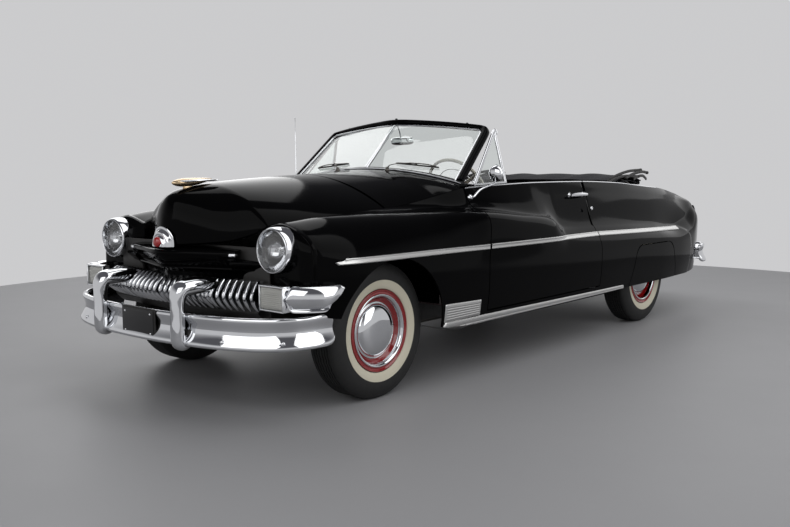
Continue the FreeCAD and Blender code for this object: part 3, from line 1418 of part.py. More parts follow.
# ---------------------------------------------------------------- assembly
def assemble():
    """Make every node."""
    chassis = add_shape("chassis_frame", make_chassis())
    add_shape("floor_pan", make_floor())
    cowl = make_cowl()
    add_shape("cowl", cowl)
    add_shape("nose_panel", make_nose_panel())
    fender, quarter, door = make_front_fender(), make_quarter(), make_door()
    for prefix, turn in (("left_", lambda shape: shape), ("right_", mirrored)):
        add_shape(prefix + "front_fender", turn(fender))
        add_shape(prefix + "rear_quarter", turn(quarter))
        add_shape(prefix + "door", turn(door))
    add_shape("fender_skirts", both_sides(make_skirt()))
    add_shape("rocker_panels", both_sides(make_rocker()))
    half = section_at(quarter_rear_y)[1] - dim.seat_gap
    tail_panel = box((-half, half), (quarter_rear_y - dim.sheet, quarter_rear_y), (440, 554))
    add_shape("rear_deck", Part.makeCompound([make_rear_deck(), tail_panel]))
    add_shape("hood", make_hood())
    add_shape("hood_ornament", make_hood_ornament())
    add_shape("trunk_lid", make_trunk_lid())
    add_shape("grille", Part.makeCompound(make_grille()))
    wing = make_wings()
    add_shape("grille_wings", both_sides(wing))
    guards = [guard(side * dim.guard_x, behind_front(-dim.front_overhang), 340, 650, 62) for side in (1, -1)]
    iron = box((345, 375), (behind_front(-830), behind_front(-620)), (380, 420))
    irons = [iron, mirrored(iron)]
    add_shape("front_bumper", join([make_front_bumper()] + guards + irons))
    guards = [rear_guard(side * 430) for side in (1, -1)]
    iron = box((465, 495), (behind_rear(1060) + dim.seat_gap, behind_rear(1330)), (395, 430))
    irons = [iron, mirrored(iron)]
    add_shape("rear_bumper", join([make_rear_bumper()] + guards + irons))
    add_shape("headlight_bezels", both_sides(make_headlight_bezel()))
    lens = dome(headlight_centre(), -Y_AXIS, dim.lamp_radius - dim.seat_gap, 22)
    lenses = [lens, mirrored(lens), make_parking_lens(), mirrored(make_parking_lens())]
    add_shape("headlight_lenses", Part.makeCompound(lenses))
    add_shape("taillights", Part.makeCompound([make_taillight(side) for side in (1, -1)]))
    frame, panes = make_windshield()
    add_shape("windshield_frame", frame)
    add_shape("windshield_glass", panes)
    add_shape("wipers", both_sides(make_wiper(cowl)))
    add_shape("side_mirror", make_side_mirror())
    make_seats()
    make_dashboard()
    make_masses()
    make_rear_axle()
    make_folded_top()
    add_shape("leaf_springs", both_sides(make_leaf_spring()))
    add_shape("front_suspension", both_sides(make_front_suspension()))
    add_shape("exhaust", make_exhaust())
    column_start = steering_centre - steering_axis * (34 + dim.seat_gap)
    add_shape("steering_column", rod(column_start, steering_centre - steering_axis * 724.3, 26))
    add_shape("steering_wheel", make_steering_wheel(), Placement(steering_centre, Rotation(X_AXIS, -steering_tilt)))
    antenna_foot = surface_point(cowl, 317 - dim.half_width, behind_front(765)) + Z_AXIS
    antenna = rod(antenna_foot, antenna_foot + Z_AXIS * dim.antenna_height, 3)
    add_shape("antenna", antenna)
    over = (-7, -dim.seat_gap)
    fender_skin, rocker_skin, (wall_skin, quarter_skin) = fender_layer(*over), rocker_layer(*over), quarter_layers(*over)
    quarter_skin = join([wall_skin, quarter_skin])
    strip_end = door_front_y - gap - 12
    mouldings = [
        side_strip(fender_skin, behind_front(-434), strip_end, (724, 718), (751, 745)),
        side_strip(quarter_skin, door_rear_y, behind_rear(560), (706, 666), (733, 693)),
        side_strip(fender_skin, behind_front(386), door_front_y, (280, 280), (360, 360)),
        side_strip(rocker_skin, door_front_y - 50, door_rear_y + 50, (280, 280), (360, 360)),
        side_strip(quarter_skin, door_rear_y, behind_rear(-500), (280, 280), (360, 360)),
        side_strip(fender_skin, behind_front(392), behind_front(714), (366, 366), (447, 436)),
    ]
    add_shape("side_mouldings", Part.makeCompound(mouldings + [mirrored(shape) for shape in mouldings]))
    door_strip = side_strip(door_layer(*over), door_front_y, door_rear_y, (718, 706), (745, 733))
    handle = make_door_handle()
    for side, prefix in ((1, "left_"), (-1, "right_")):
        vent_frame, vent_glass = make_vent_window(side)
        add_shape(prefix + "vent_glass", vent_glass)
        trim = [shape if side > 0 else mirrored(shape) for shape in (door_strip, handle)]
        add_shape(prefix + "door_trim", Part.makeCompound(trim + [vent_frame]))
        add_shape(prefix + "knuckle", make_knuckle(side))
        for place, axle_y, track in (("front", front_axle_y, dim.front_track), ("rear", rear_axle_y, dim.rear_track)):
            name = place + "_" + prefix
            add_shape(name + "tyre", make_tyre(side, axle_y, track))
            add_shape(name + "wheel", make_wheel(side, axle_y, track))
            add_shape(name + "hubcap", make_hubcap(side, axle_y, track))


assemble()
doc.recompute()

# ---------------------------------------------------------------- check and write
for item in doc.Objects:
    if "Invalid" in item.State or "Error" in item.State:
        raise RuntimeError(f"{item.Label} failed to compute: {item.State}")
for node in nodes:
    if node.Shape.isNull() or not node.Shape.isValid():
        raise RuntimeError(f"{node.Label} has no valid shape")
    if not node.Shape.Solids:
        raise RuntimeError(f"{node.Label} holds no solid")
os.makedirs("parts", exist_ok=True)
for node in nodes:
    node.Shape.exportStep(f"parts/{node.Label}.step")
print(len(nodes), "nodes written")
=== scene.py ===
"""Looks of the open two-door car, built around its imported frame."""

from __future__ import annotations

import json  # noqa: E402
import logging  # noqa: E402
import math  # noqa: E402
from dataclasses import dataclass, field  # noqa: E402
from enum import Enum  # noqa: E402
from typing import Callable, Sequence  # noqa: E402

import bpy  # noqa: E402
import numpy as np  # noqa: E402
from mathutils import Matrix, Vector  # noqa: E402


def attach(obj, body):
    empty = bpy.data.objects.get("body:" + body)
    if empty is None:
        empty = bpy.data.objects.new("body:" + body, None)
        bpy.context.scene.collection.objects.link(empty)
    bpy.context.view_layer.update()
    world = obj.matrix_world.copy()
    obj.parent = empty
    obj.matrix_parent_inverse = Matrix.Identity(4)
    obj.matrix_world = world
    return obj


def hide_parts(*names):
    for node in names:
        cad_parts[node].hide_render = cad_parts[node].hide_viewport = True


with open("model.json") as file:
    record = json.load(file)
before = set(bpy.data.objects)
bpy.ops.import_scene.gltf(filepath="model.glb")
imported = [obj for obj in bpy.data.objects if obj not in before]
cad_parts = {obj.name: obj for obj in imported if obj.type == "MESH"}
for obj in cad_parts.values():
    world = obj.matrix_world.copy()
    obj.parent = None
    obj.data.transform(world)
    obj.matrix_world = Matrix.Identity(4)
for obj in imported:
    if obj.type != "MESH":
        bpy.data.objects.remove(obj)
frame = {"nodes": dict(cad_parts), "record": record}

log = logging.getLogger("car")
logging.basicConfig(level=logging.INFO, format="%(message)s")

MM = 0.001
FRONT_AXLE = -1750.0
REAR_AXLE = 1247.0
HALF_WIDTH = 957.0
LEFT, RIGHT = 1, -1
SIDES = ((LEFT, "left"), (RIGHT, "right"))
Point = tuple[float, float, float]
Colour = tuple[float, float, float]


# ------------------------------------------------------------------ finishes
class Grain(Enum):
    """Kinds of fine relief a finish may carry."""

    NONE = "none"
    NOISE = "noise"
    BRUSHED = "brushed"
    LEATHER = "leather"
    WEAVE = "weave"


@dataclass(frozen=True)
class Finish:
    """One surface finish: its colour, gloss and fine relief, made as shader nodes.

    Colours are linear. `tint` is a second colour that the first drifts to in soft patches of `patch` per metre.
    """

    name: str
    colour: Colour
    tint: Colour
    rough: float = 0.4
    rough_spread: float = 0.08
    metal: float = 0.0
    coat: float = 0.0
    grain: Grain = Grain.NONE
    grain_scale: float = 400.0
    grain_depth: float = 0.0004
    patch: float = 6.0
    sheen: float = 0.0
    clear: float = 0.0
    shine: float = 0.5
    stretch: Point = (1.0, 1.0, 1.0)

    def build(self) -> bpy.types.Material:
        """Make the material, or give the one already made.

        Returns:
            The Blender material of this finish.
        """
        done = bpy.data.materials.get(self.name)
        if done:
            return done
        material = bpy.data.materials.new(self.name)
        material.use_nodes = True
        tree = material.node_tree
        shader = tree.nodes["Principled BSDF"]
        shader.inputs["Metallic"].default_value = self.metal
        shader.inputs["Coat Weight"].default_value = self.coat
        shader.inputs["Specular IOR Level"].default_value = self.shine
        shader.inputs["Coat Roughness"].default_value = 0.03
        shader.inputs["Sheen Weight"].default_value = self.sheen
        shader.inputs["Transmission Weight"].default_value = self.clear
        place = tree.nodes.new("ShaderNodeTexCoord").outputs["Object"]
        mapping = tree.nodes.new("ShaderNodeMapping")
        mapping.inputs["Scale"].default_value = self.stretch
        tree.links.new(place, mapping.inputs["Vector"])
        where = mapping.outputs["Vector"]
        clouds = self.noise(tree, where, self.patch, 3)
        mix = tree.nodes.new("ShaderNodeMix")
        mix.data_type = "RGBA"
        mix.inputs["A"].default_value = (*self.colour, 1)
        mix.inputs["B"].default_value = (*self.tint, 1)
        tree.links.new(clouds, mix.inputs["Factor"])
        tree.links.new(mix.outputs["Result"], shader.inputs["Base Color"])
        spread = tree.nodes.new("ShaderNodeMapRange")
        spread.inputs["To Min"].default_value = max(0.0, self.rough - self.rough_spread)
        spread.inputs["To Max"].default_value = self.rough + self.rough_spread
        tree.links.new(self.noise(tree, where, self.patch * 5, 4), spread.inputs["Value"])
        tree.links.new(spread.outputs["Result"], shader.inputs["Roughness"])
        if self.grain is not Grain.NONE:
            bump = tree.nodes.new("ShaderNodeBump")
            bump.inputs["Distance"].default_value = self.grain_depth
            tree.links.new(self.relief(tree, where), bump.inputs["Height"])
            tree.links.new(bump.outputs["Normal"], shader.inputs["Normal"])
        return material

    def noise(self, tree: bpy.types.NodeTree, where: bpy.types.NodeSocket, scale: float,
              detail: float) -> bpy.types.NodeSocket:
        """Add a noise texture.

        Args:
            tree: node tree to add to.
            where: socket that says where on the piece.
            scale: repeats per metre.
            detail: octaves of finer noise.

        Returns:
            The noise's value socket.
        """
        node = tree.nodes.new("ShaderNodeTexNoise")
        node.inputs["Scale"].default_value = scale
        node.inputs["Detail"].default_value = detail
        tree.links.new(where, node.inputs["Vector"])
        return node.outputs["Fac"]

    def relief(self, tree: bpy.types.NodeTree, where: bpy.types.NodeSocket) -> bpy.types.NodeSocket:
        """Add the texture of this finish's grain.

        Args:
            tree: node tree to add to.
            where: socket that says where on the piece.

        Returns:
            A height socket.
        """
        if self.grain is Grain.LEATHER:
            node = tree.nodes.new("ShaderNodeTexVoronoi")
            node.feature = "DISTANCE_TO_EDGE"
            node.inputs["Scale"].default_value = self.grain_scale
            tree.links.new(where, node.inputs["Vector"])
            return node.outputs["Distance"]
        if self.grain is Grain.WEAVE:
            heights = []
            for direction in ("X", "Y"):
                wave = tree.nodes.new("ShaderNodeTexWave")
                wave.bands_direction = direction
                wave.inputs["Scale"].default_value = self.grain_scale
                wave.inputs["Distortion"].default_value = 0.4
                tree.links.new(where, wave.inputs["Vector"])
                heights.append(wave.outputs["Fac"])
            blend = tree.nodes.new("ShaderNodeMath")
            blend.operation = "MAXIMUM"
            tree.links.new(heights[0], blend.inputs[0])
            tree.links.new(heights[1], blend.inputs[1])
            return blend.outputs[0]
        detail = 6 if self.grain is Grain.NOISE else 2
        return self.noise(tree, where, self.grain_scale, detail)


PAINT = Finish("black_lacquer", (0.0014, 0.0014, 0.0016), (0.0020, 0.0020, 0.0022), 0.08, 0.02, shine=0.04,
               grain=Grain.NOISE, grain_scale=900, grain_depth=0.000004, patch=3)
CHROME = Finish("polished_chrome", (0.78, 0.79, 0.81), (0.70, 0.71, 0.73), 0.05, 0.03, metal=1.0,
                grain=Grain.NOISE, grain_scale=160, grain_depth=0.00002, patch=9)
SATIN = Finish("brushed_trim", (0.62, 0.62, 0.61), (0.54, 0.54, 0.53), 0.3, 0.07, metal=1.0,
               grain=Grain.BRUSHED, grain_scale=700, grain_depth=0.00008, stretch=(1, 0.05, 1))
WHEEL_RED = Finish("wheel_red_enamel", (0.30, 0.008, 0.01), (0.26, 0.006, 0.008), 0.14, 0.04, coat=0.8, patch=12)
RUBBER = Finish("tyre_rubber", (0.006, 0.006, 0.0065), (0.011, 0.011, 0.0105), 0.66, 0.08, grain=Grain.NOISE,
                grain_scale=700, grain_depth=0.0002)
WHITEWALL = Finish("whitewall_rubber", (0.72, 0.68, 0.55), (0.64, 0.60, 0.47), 0.5, 0.08, grain=Grain.NOISE,
                   grain_scale=500, grain_depth=0.0001, patch=5)
GLASS = Finish("clear_glass", (0.93, 0.97, 0.95), (0.91, 0.95, 0.93), 0.0, 0.004, clear=1.0, patch=2)
LAMP_GLASS = Finish("lamp_glass", (0.95, 0.96, 0.96), (0.92, 0.93, 0.93), 0.02, 0.01, clear=0.9)
FROSTED = Finish("frosted_lens", (0.80, 0.80, 0.76), (0.72, 0.72, 0.68), 0.22, 0.06, clear=0.45)
RED_LENS = Finish("red_lens", (0.42, 0.008, 0.01), (0.32, 0.005, 0.006), 0.08, 0.03, clear=0.35, coat=0.5)
RED_ENAMEL = Finish("red_enamel", (0.42, 0.01, 0.012), (0.34, 0.008, 0.01), 0.12, 0.03, coat=0.8)
CHASSIS_PAINT = Finish("chassis_paint", (0.012, 0.012, 0.012), (0.026, 0.024, 0.022), 0.5, 0.14, grain=Grain.NOISE,
                       grain_scale=300, grain_depth=0.0003)
DARK_STEEL = Finish("dull_steel", (0.16, 0.155, 0.15), (0.10, 0.085, 0.07), 0.5, 0.12, metal=0.8, grain=Grain.NOISE,
                    grain_scale=240, grain_depth=0.0003)
CAST_IRON = Finish("cast_iron", (0.05, 0.05, 0.052), (0.09, 0.075, 0.06), 0.65, 0.1, metal=0.4, grain=Grain.NOISE,
                   grain_scale=350, grain_depth=0.0006)
LEATHER = Finish("maroon_leather", (0.085, 0.008, 0.012), (0.055, 0.005, 0.008), 0.38, 0.08, sheen=0.15,
                 grain=Grain.LEATHER, grain_scale=320, grain_depth=0.0005, patch=8)
CARPET = Finish("maroon_carpet", (0.05, 0.006, 0.009), (0.028, 0.003, 0.005), 0.95, 0.04, sheen=0.5,
                grain=Grain.NOISE, grain_scale=800, grain_depth=0.003)
TOP_CLOTH = Finish("top_cloth", (0.012, 0.012, 0.013), (0.02, 0.02, 0.021), 0.85, 0.06, sheen=0.3,
                   grain=Grain.WEAVE, grain_scale=420, grain_depth=0.0005, patch=5)
IVORY = Finish("ivory_plastic", (0.52, 0.49, 0.42), (0.46, 0.43, 0.36), 0.2, 0.05, coat=0.5)
GOLD = Finish("amber_gilt", (0.62, 0.42, 0.20), (0.74, 0.62, 0.46), 0.22, 0.06, metal=0.9, patch=22)
PLATE = Finish("plate_enamel", (0.012, 0.012, 0.013), (0.02, 0.02, 0.021), 0.3, 0.06, coat=0.3)
SEAL = Finish("rubber_seal", (0.01, 0.01, 0.01), (0.016, 0.016, 0.016), 0.7, 0.08, grain=Grain.NOISE, grain_scale=500,
              grain_depth=0.0001)
DIAL = Finish("dial_face", (0.55, 0.53, 0.46), (0.48, 0.46, 0.40), 0.3, 0.05, coat=0.5)


# ------------------------------------------------------------------ mesh helpers
def piece(name: str, verts: Sequence, faces: Sequence, finish: Finish, body: str, sharp: float = 38.0,
          stands_for: Sequence[str] = (), slot: str | None = None) -> bpy.types.Object:
    """Make a mesh piece in metres and let it ride on a body.

    Args:
        name: the piece's name.
        verts: its points, in millimetres.
        faces: its faces as index lists.
        finish: its surface finish.
        body: the body it moves with.
        sharp: edges bent more than this many degrees shade sharp.
        stands_for: frame nodes that this piece replaces.
        slot: the record's material slot; not used.

    Returns:
        The new object.
    """
    mesh = bpy.data.meshes.new(name)
    mesh.from_pydata([tuple(float(c) * MM for c in v) for v in verts], [], [tuple(f) for f in faces])
    mesh.validate()
    mesh.materials.append(finish.build())
    mesh.polygons.foreach_set("use_smooth", [True] * len(mesh.polygons))
    mesh.set_sharp_from_angle(angle=math.radians(sharp))
    obj = bpy.data.objects.new(name, mesh)
    bpy.context.scene.collection.objects.link(obj)
    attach(obj, body)
    if stands_for:
        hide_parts(*stands_for)
    log.info("%s: %d faces on %s", name, len(faces), body)
    return obj


def mirrored(verts: np.ndarray) -> np.ndarray:
    """Points mirrored to the other side of the car."""
    return np.asarray(verts) * (-1, 1, 1)


def flipped(faces: Sequence) -> list[list[int]]:
    """Faces turned inside out."""
    return [list(reversed(f)) for f in faces]


def grid_faces(rows: int, columns: int, close_rows: bool = False, close_columns: bool = False,
               start: int = 0) -> list[list[int]]:
    """Quads between neighbouring points of a grid stored row by row.

    Args:
        rows: number of rows.
        columns: number of points in a row.
        close_rows: whether the last row joins the first.
        close_columns: whether each row is a ring.
        start: index of the grid's first point.

    Returns:
        Index lists of the quads.
    """
    faces = []
    for r in range(rows if close_rows else rows - 1):
        for c in range(columns if close_columns else columns - 1):
            a, b = r * columns + c, r * columns + (c + 1) % columns
            r2 = (r + 1) % rows
            faces.append([start + a, start + b, start + r2 * columns + (c + 1) % columns, start + r2 * columns + c])
    return faces


def curve_through(points: Sequence, count: int, closed: bool = False) -> np.ndarray:
    """Points on a smooth curve through given points, evenly shared between them.

    Args:
        points: points of any dimension.
        count: how many points to give.
        closed: whether the curve is a ring.

    Returns:
        An array of `count` points.
    """
    p = np.asarray(points, float)
    if closed:
        p = np.vstack([p[-1:], p, p[:2]])
    else:
        p = np.vstack([2 * p[0] - p[1], p, 2 * p[-1] - p[-2]])
    spans = len(p) - 3
    t = np.linspace(0, spans, count, endpoint=not closed)
    k = np.minimum(t.astype(int), spans - 1)
    u = (t - k)[:, None]
    a, b, c, d = p[k], p[k + 1], p[k + 2], p[k + 3]
    return 0.5 * (2 * b + (c - a) * u + (2 * a - 5 * b + 4 * c - d) * u**2 + (3 * b - a - 3 * c + d) * u**3)


def sweep(section: np.ndarray, path: np.ndarray, scales: np.ndarray | None = None, up: Point = (0, 0, 1),
          caps: bool = True) -> tuple[np.ndarray, list]:
    """Carry a closed section along a path.

    Args:
        section: ring of (across, up) offsets.
        path: points of the path.
        scales: size factor, or (across, up) factors, at each path point.
        up: direction that stays the section's upper side.
        caps: whether the ends are closed.

    Returns:
        The points and faces of the tube.
    """
    path = np.asarray(path, float)
    heading = np.gradient(path, axis=0)
    heading /= np.linalg.norm(heading, axis=1)[:, None]
    across = np.cross(heading, np.asarray(up, float))
    across /= np.linalg.norm(across, axis=1)[:, None]
    rise = np.cross(across, heading)
    scale = np.ones((len(path), 2)) if scales is None else np.asarray(scales, float)
    if scale.ndim == 1:
        scale = np.column_stack([scale, scale])
    section = np.asarray(section, float)
    verts = (path[:, None] + across[:, None] * (section[None, :, :1] * scale[:, None, :1])
             + rise[:, None] * (section[None, :, 1:] * scale[:, None, 1:])).reshape(-1, 3)
    n = len(section)
    faces = grid_faces(len(path), n, close_columns=True)
    if caps:
        faces += [list(range(n))[::-1], [len(verts) - n + i for i in range(n)]]
    return verts, faces


def circle(radius: float, count: int = 16, squash: float = 1.0) -> np.ndarray:
    """A ring of (across, up) points; `squash` scales its height."""
    a = np.linspace(0, 2 * math.pi, count, endpoint=False)
    return np.column_stack([radius * np.cos(a), radius * squash * np.sin(a)])


def superellipse(half_width: float, half_height: float, power: float, count: int = 24) -> np.ndarray:
    """A rounded-rectangle ring of (across, up) points; a higher power is squarer.

    Args:
        half_width: half its width.
        half_height: half its height.
        power: how square it is.
        count: points in the ring.

    Returns:
        The ring's points.
    """
    a = np.linspace(0, 2 * math.pi, count, endpoint=False)
    c, s = np.cos(a), np.sin(a)
    return np.column_stack([half_width * np.sign(c) * np.abs(c) ** (2 / power),
                            half_height * np.sign(s) * np.abs(s) ** (2 / power)])


def tube(points: Sequence, radius: float, smooth: int = 0, count: int = 12) -> tuple[np.ndarray, list]:
    """A round rod through points, curved smoothly through them where `smooth` gives a number of points.

    Args:
        points: places the rod passes.
        radius: its radius.
        smooth: points of the smooth curve, or 0 for straight runs.
        count: points round the rod.

    Returns:
        The points and faces.
    """
    path = curve_through(points, smooth) if smooth else np.asarray(points, float)
    rise = np.abs(path[-1] - path[0])
    up = (0, 1, 0) if rise[2] > max(rise[0], rise[1]) else (0, 0, 1)
    return sweep(circle(radius, count), path, up=up)


def revolve(profile: Sequence, steps: int = 96, close: bool = False) -> tuple[np.ndarray, list]:
    """Turn a profile of (radius, x) points round the X axis.

    Args:
        profile: points as (radius, place along X).
        steps: points in a turn.
        close: whether the profile is a closed ring.

    Returns:
        The points and faces of the turned surface.
    """
    profile = np.asarray(profile, float)
    a = np.linspace(0, 2 * math.pi, steps, endpoint=False)
    r, x = profile[:, 0][:, None], profile[:, 1][:, None]
    verts = np.stack([np.broadcast_to(x, (len(profile), steps)), r * np.cos(a), r * np.sin(a)], -1).reshape(-1, 3)
    return verts, grid_faces(len(profile), steps, close_rows=close, close_columns=True)


def border(rows: int, columns: int) -> list[int]:
    """Indices round the edge of a grid of points.

    Args:
        rows: the grid's rows.
        columns: the grid's columns.

    Returns:
        The indices in order round the grid.
    """
    loop = list(range(columns)) + [r * columns + columns - 1 for r in range(1, rows)]
    loop += [(rows - 1) * columns + c for c in range(columns - 2, -1, -1)]
    return loop + [r * columns for r in range(rows - 2, 0, -1)]


def merged(parts: Sequence[tuple[np.ndarray, list]]) -> tuple[np.ndarray, list]:
    """Several meshes as one list of points and faces.

    Args:
        parts: meshes as points and faces.

    Returns:
        The points and faces.
    """
    verts, faces, start = [], [], 0
    for part_verts, part_faces in parts:
        verts.append(np.asarray(part_verts, float))
        faces += [[start + i for i in f] for f in part_faces]
        start += len(part_verts)
    return np.vstack(verts), faces


def block(low: Point, high: Point, radius: float = 3.0) -> tuple[np.ndarray, list]:
    """A box with rounded edges, as a closed mesh in millimetres.

    Args:
        low: its lowest corner.
        high: its highest corner.
        radius: the edges' radius.

    Returns:
        The points and faces.
    """
    low, high = np.asarray(low, float), np.asarray(high, float)
    centre, half = (low + high) / 2, (high - low) / 2
    radius = min(radius, *(half * 0.98))
    rings, around = 7, 24
    turn = [(-math.pi / 2 + math.pi * k / (rings - 1)) for k in range(rings)]
    verts = []
    for lat in turn:
        for k in range(around):
            lon = 2 * math.pi * k / around
            n = np.array([math.cos(lat) * math.cos(lon), math.cos(lat) * math.sin(lon), math.sin(lat)])
            sign = np.array([1 if math.cos(lon) > 0 else -1, 1 if math.sin(lon + 1e-9) > 0 else -1,
                             1 if lat > 0 else -1])
            verts.append(centre + sign * (half - radius) + n * radius)
    faces = grid_faces(rings, around, close_columns=True)
    faces += [list(range(around))[::-1], [(rings - 1) * around + k for k in range(around)]]
    return np.array(verts), faces


def placed(part: tuple[np.ndarray, list], move: Sequence = (0, 0, 0), turn: Matrix | None = None) -> tuple:
    """A mesh turned about the origin and then moved.

    Args:
        part: points and faces.
        move: how far it is moved after the turn.
        turn: its turn, if any.

    Returns:
        The points and faces.
    """
    verts = np.asarray(part[0], float)
    if turn is not None:
        verts = verts @ np.array(turn.to_3x3()).T
    return verts + np.asarray(move, float), part[1]


def rotation(degrees: float, axis: str) -> Matrix:
    """A turn about one of the main axes."""
    return Matrix.Rotation(math.radians(degrees), 4, axis)


# ------------------------------------------------------------------ body form
class Table:
    """Rows of named columns along the car, read at any station by a smooth curve without overshoot."""

    def __init__(self, names: str, rows: Sequence[Sequence[float]]) -> None:
        """Keep the rows.

        Args:
            names: the columns' names after the first, which is the Y of the row.
            rows: the values.
        """
        data = np.asarray(rows, float)
        self.names = names.split()
        self.y, self.values = data[:, 0], data[:, 1:]
        step = np.diff(self.y)[:, None]
        steep = np.diff(self.values, axis=0) / step
        slope = np.zeros_like(self.values)
        slope[0], slope[-1] = steep[0], steep[-1]
        product = steep[:-1] * steep[1:]
        total = np.where(np.abs(steep[:-1] + steep[1:]) < 1e-9, 1, steep[:-1] + steep[1:])
        slope[1:-1] = np.where(product > 0, 2 * product / total, 0)
        self.slope = slope

    def __call__(self, y: np.ndarray | float) -> dict[str, np.ndarray]:
        """The columns at one or many Y values, by name.

        Args:
            y: one or many places along the car.

        Returns:
            Each column's values, by name.
        """
        y = np.asarray(y, float)
        k = np.clip(np.searchsorted(self.y, y) - 1, 0, len(self.y) - 2)
        span = (self.y[k + 1] - self.y[k])
        u = np.clip((y - self.y[k]) / span, 0, 1)[..., None]
        span = span[..., None]
        a, b = self.values[k], self.values[k + 1]
        value = (a * (2 * u**3 - 3 * u**2 + 1) + b * (3 * u**2 - 2 * u**3)
                 + self.slope[k] * span * (u**3 - 2 * u**2 + u) + self.slope[k + 1] * span * (u**3 - u**2))
        return {name: value[..., i] for i, name in enumerate(self.names)}


def bezier(p0: np.ndarray, p1: np.ndarray, p2: np.ndarray, p3: np.ndarray, t: np.ndarray) -> np.ndarray:
    """A cubic curve's points; the handles are (..., 2) arrays and t has the same leading shape."""
    t = t[..., None]
    return p0 * (1 - t) ** 3 + 3 * p1 * t * (1 - t) ** 2 + 3 * p2 * t**2 * (1 - t) + p3 * t**3


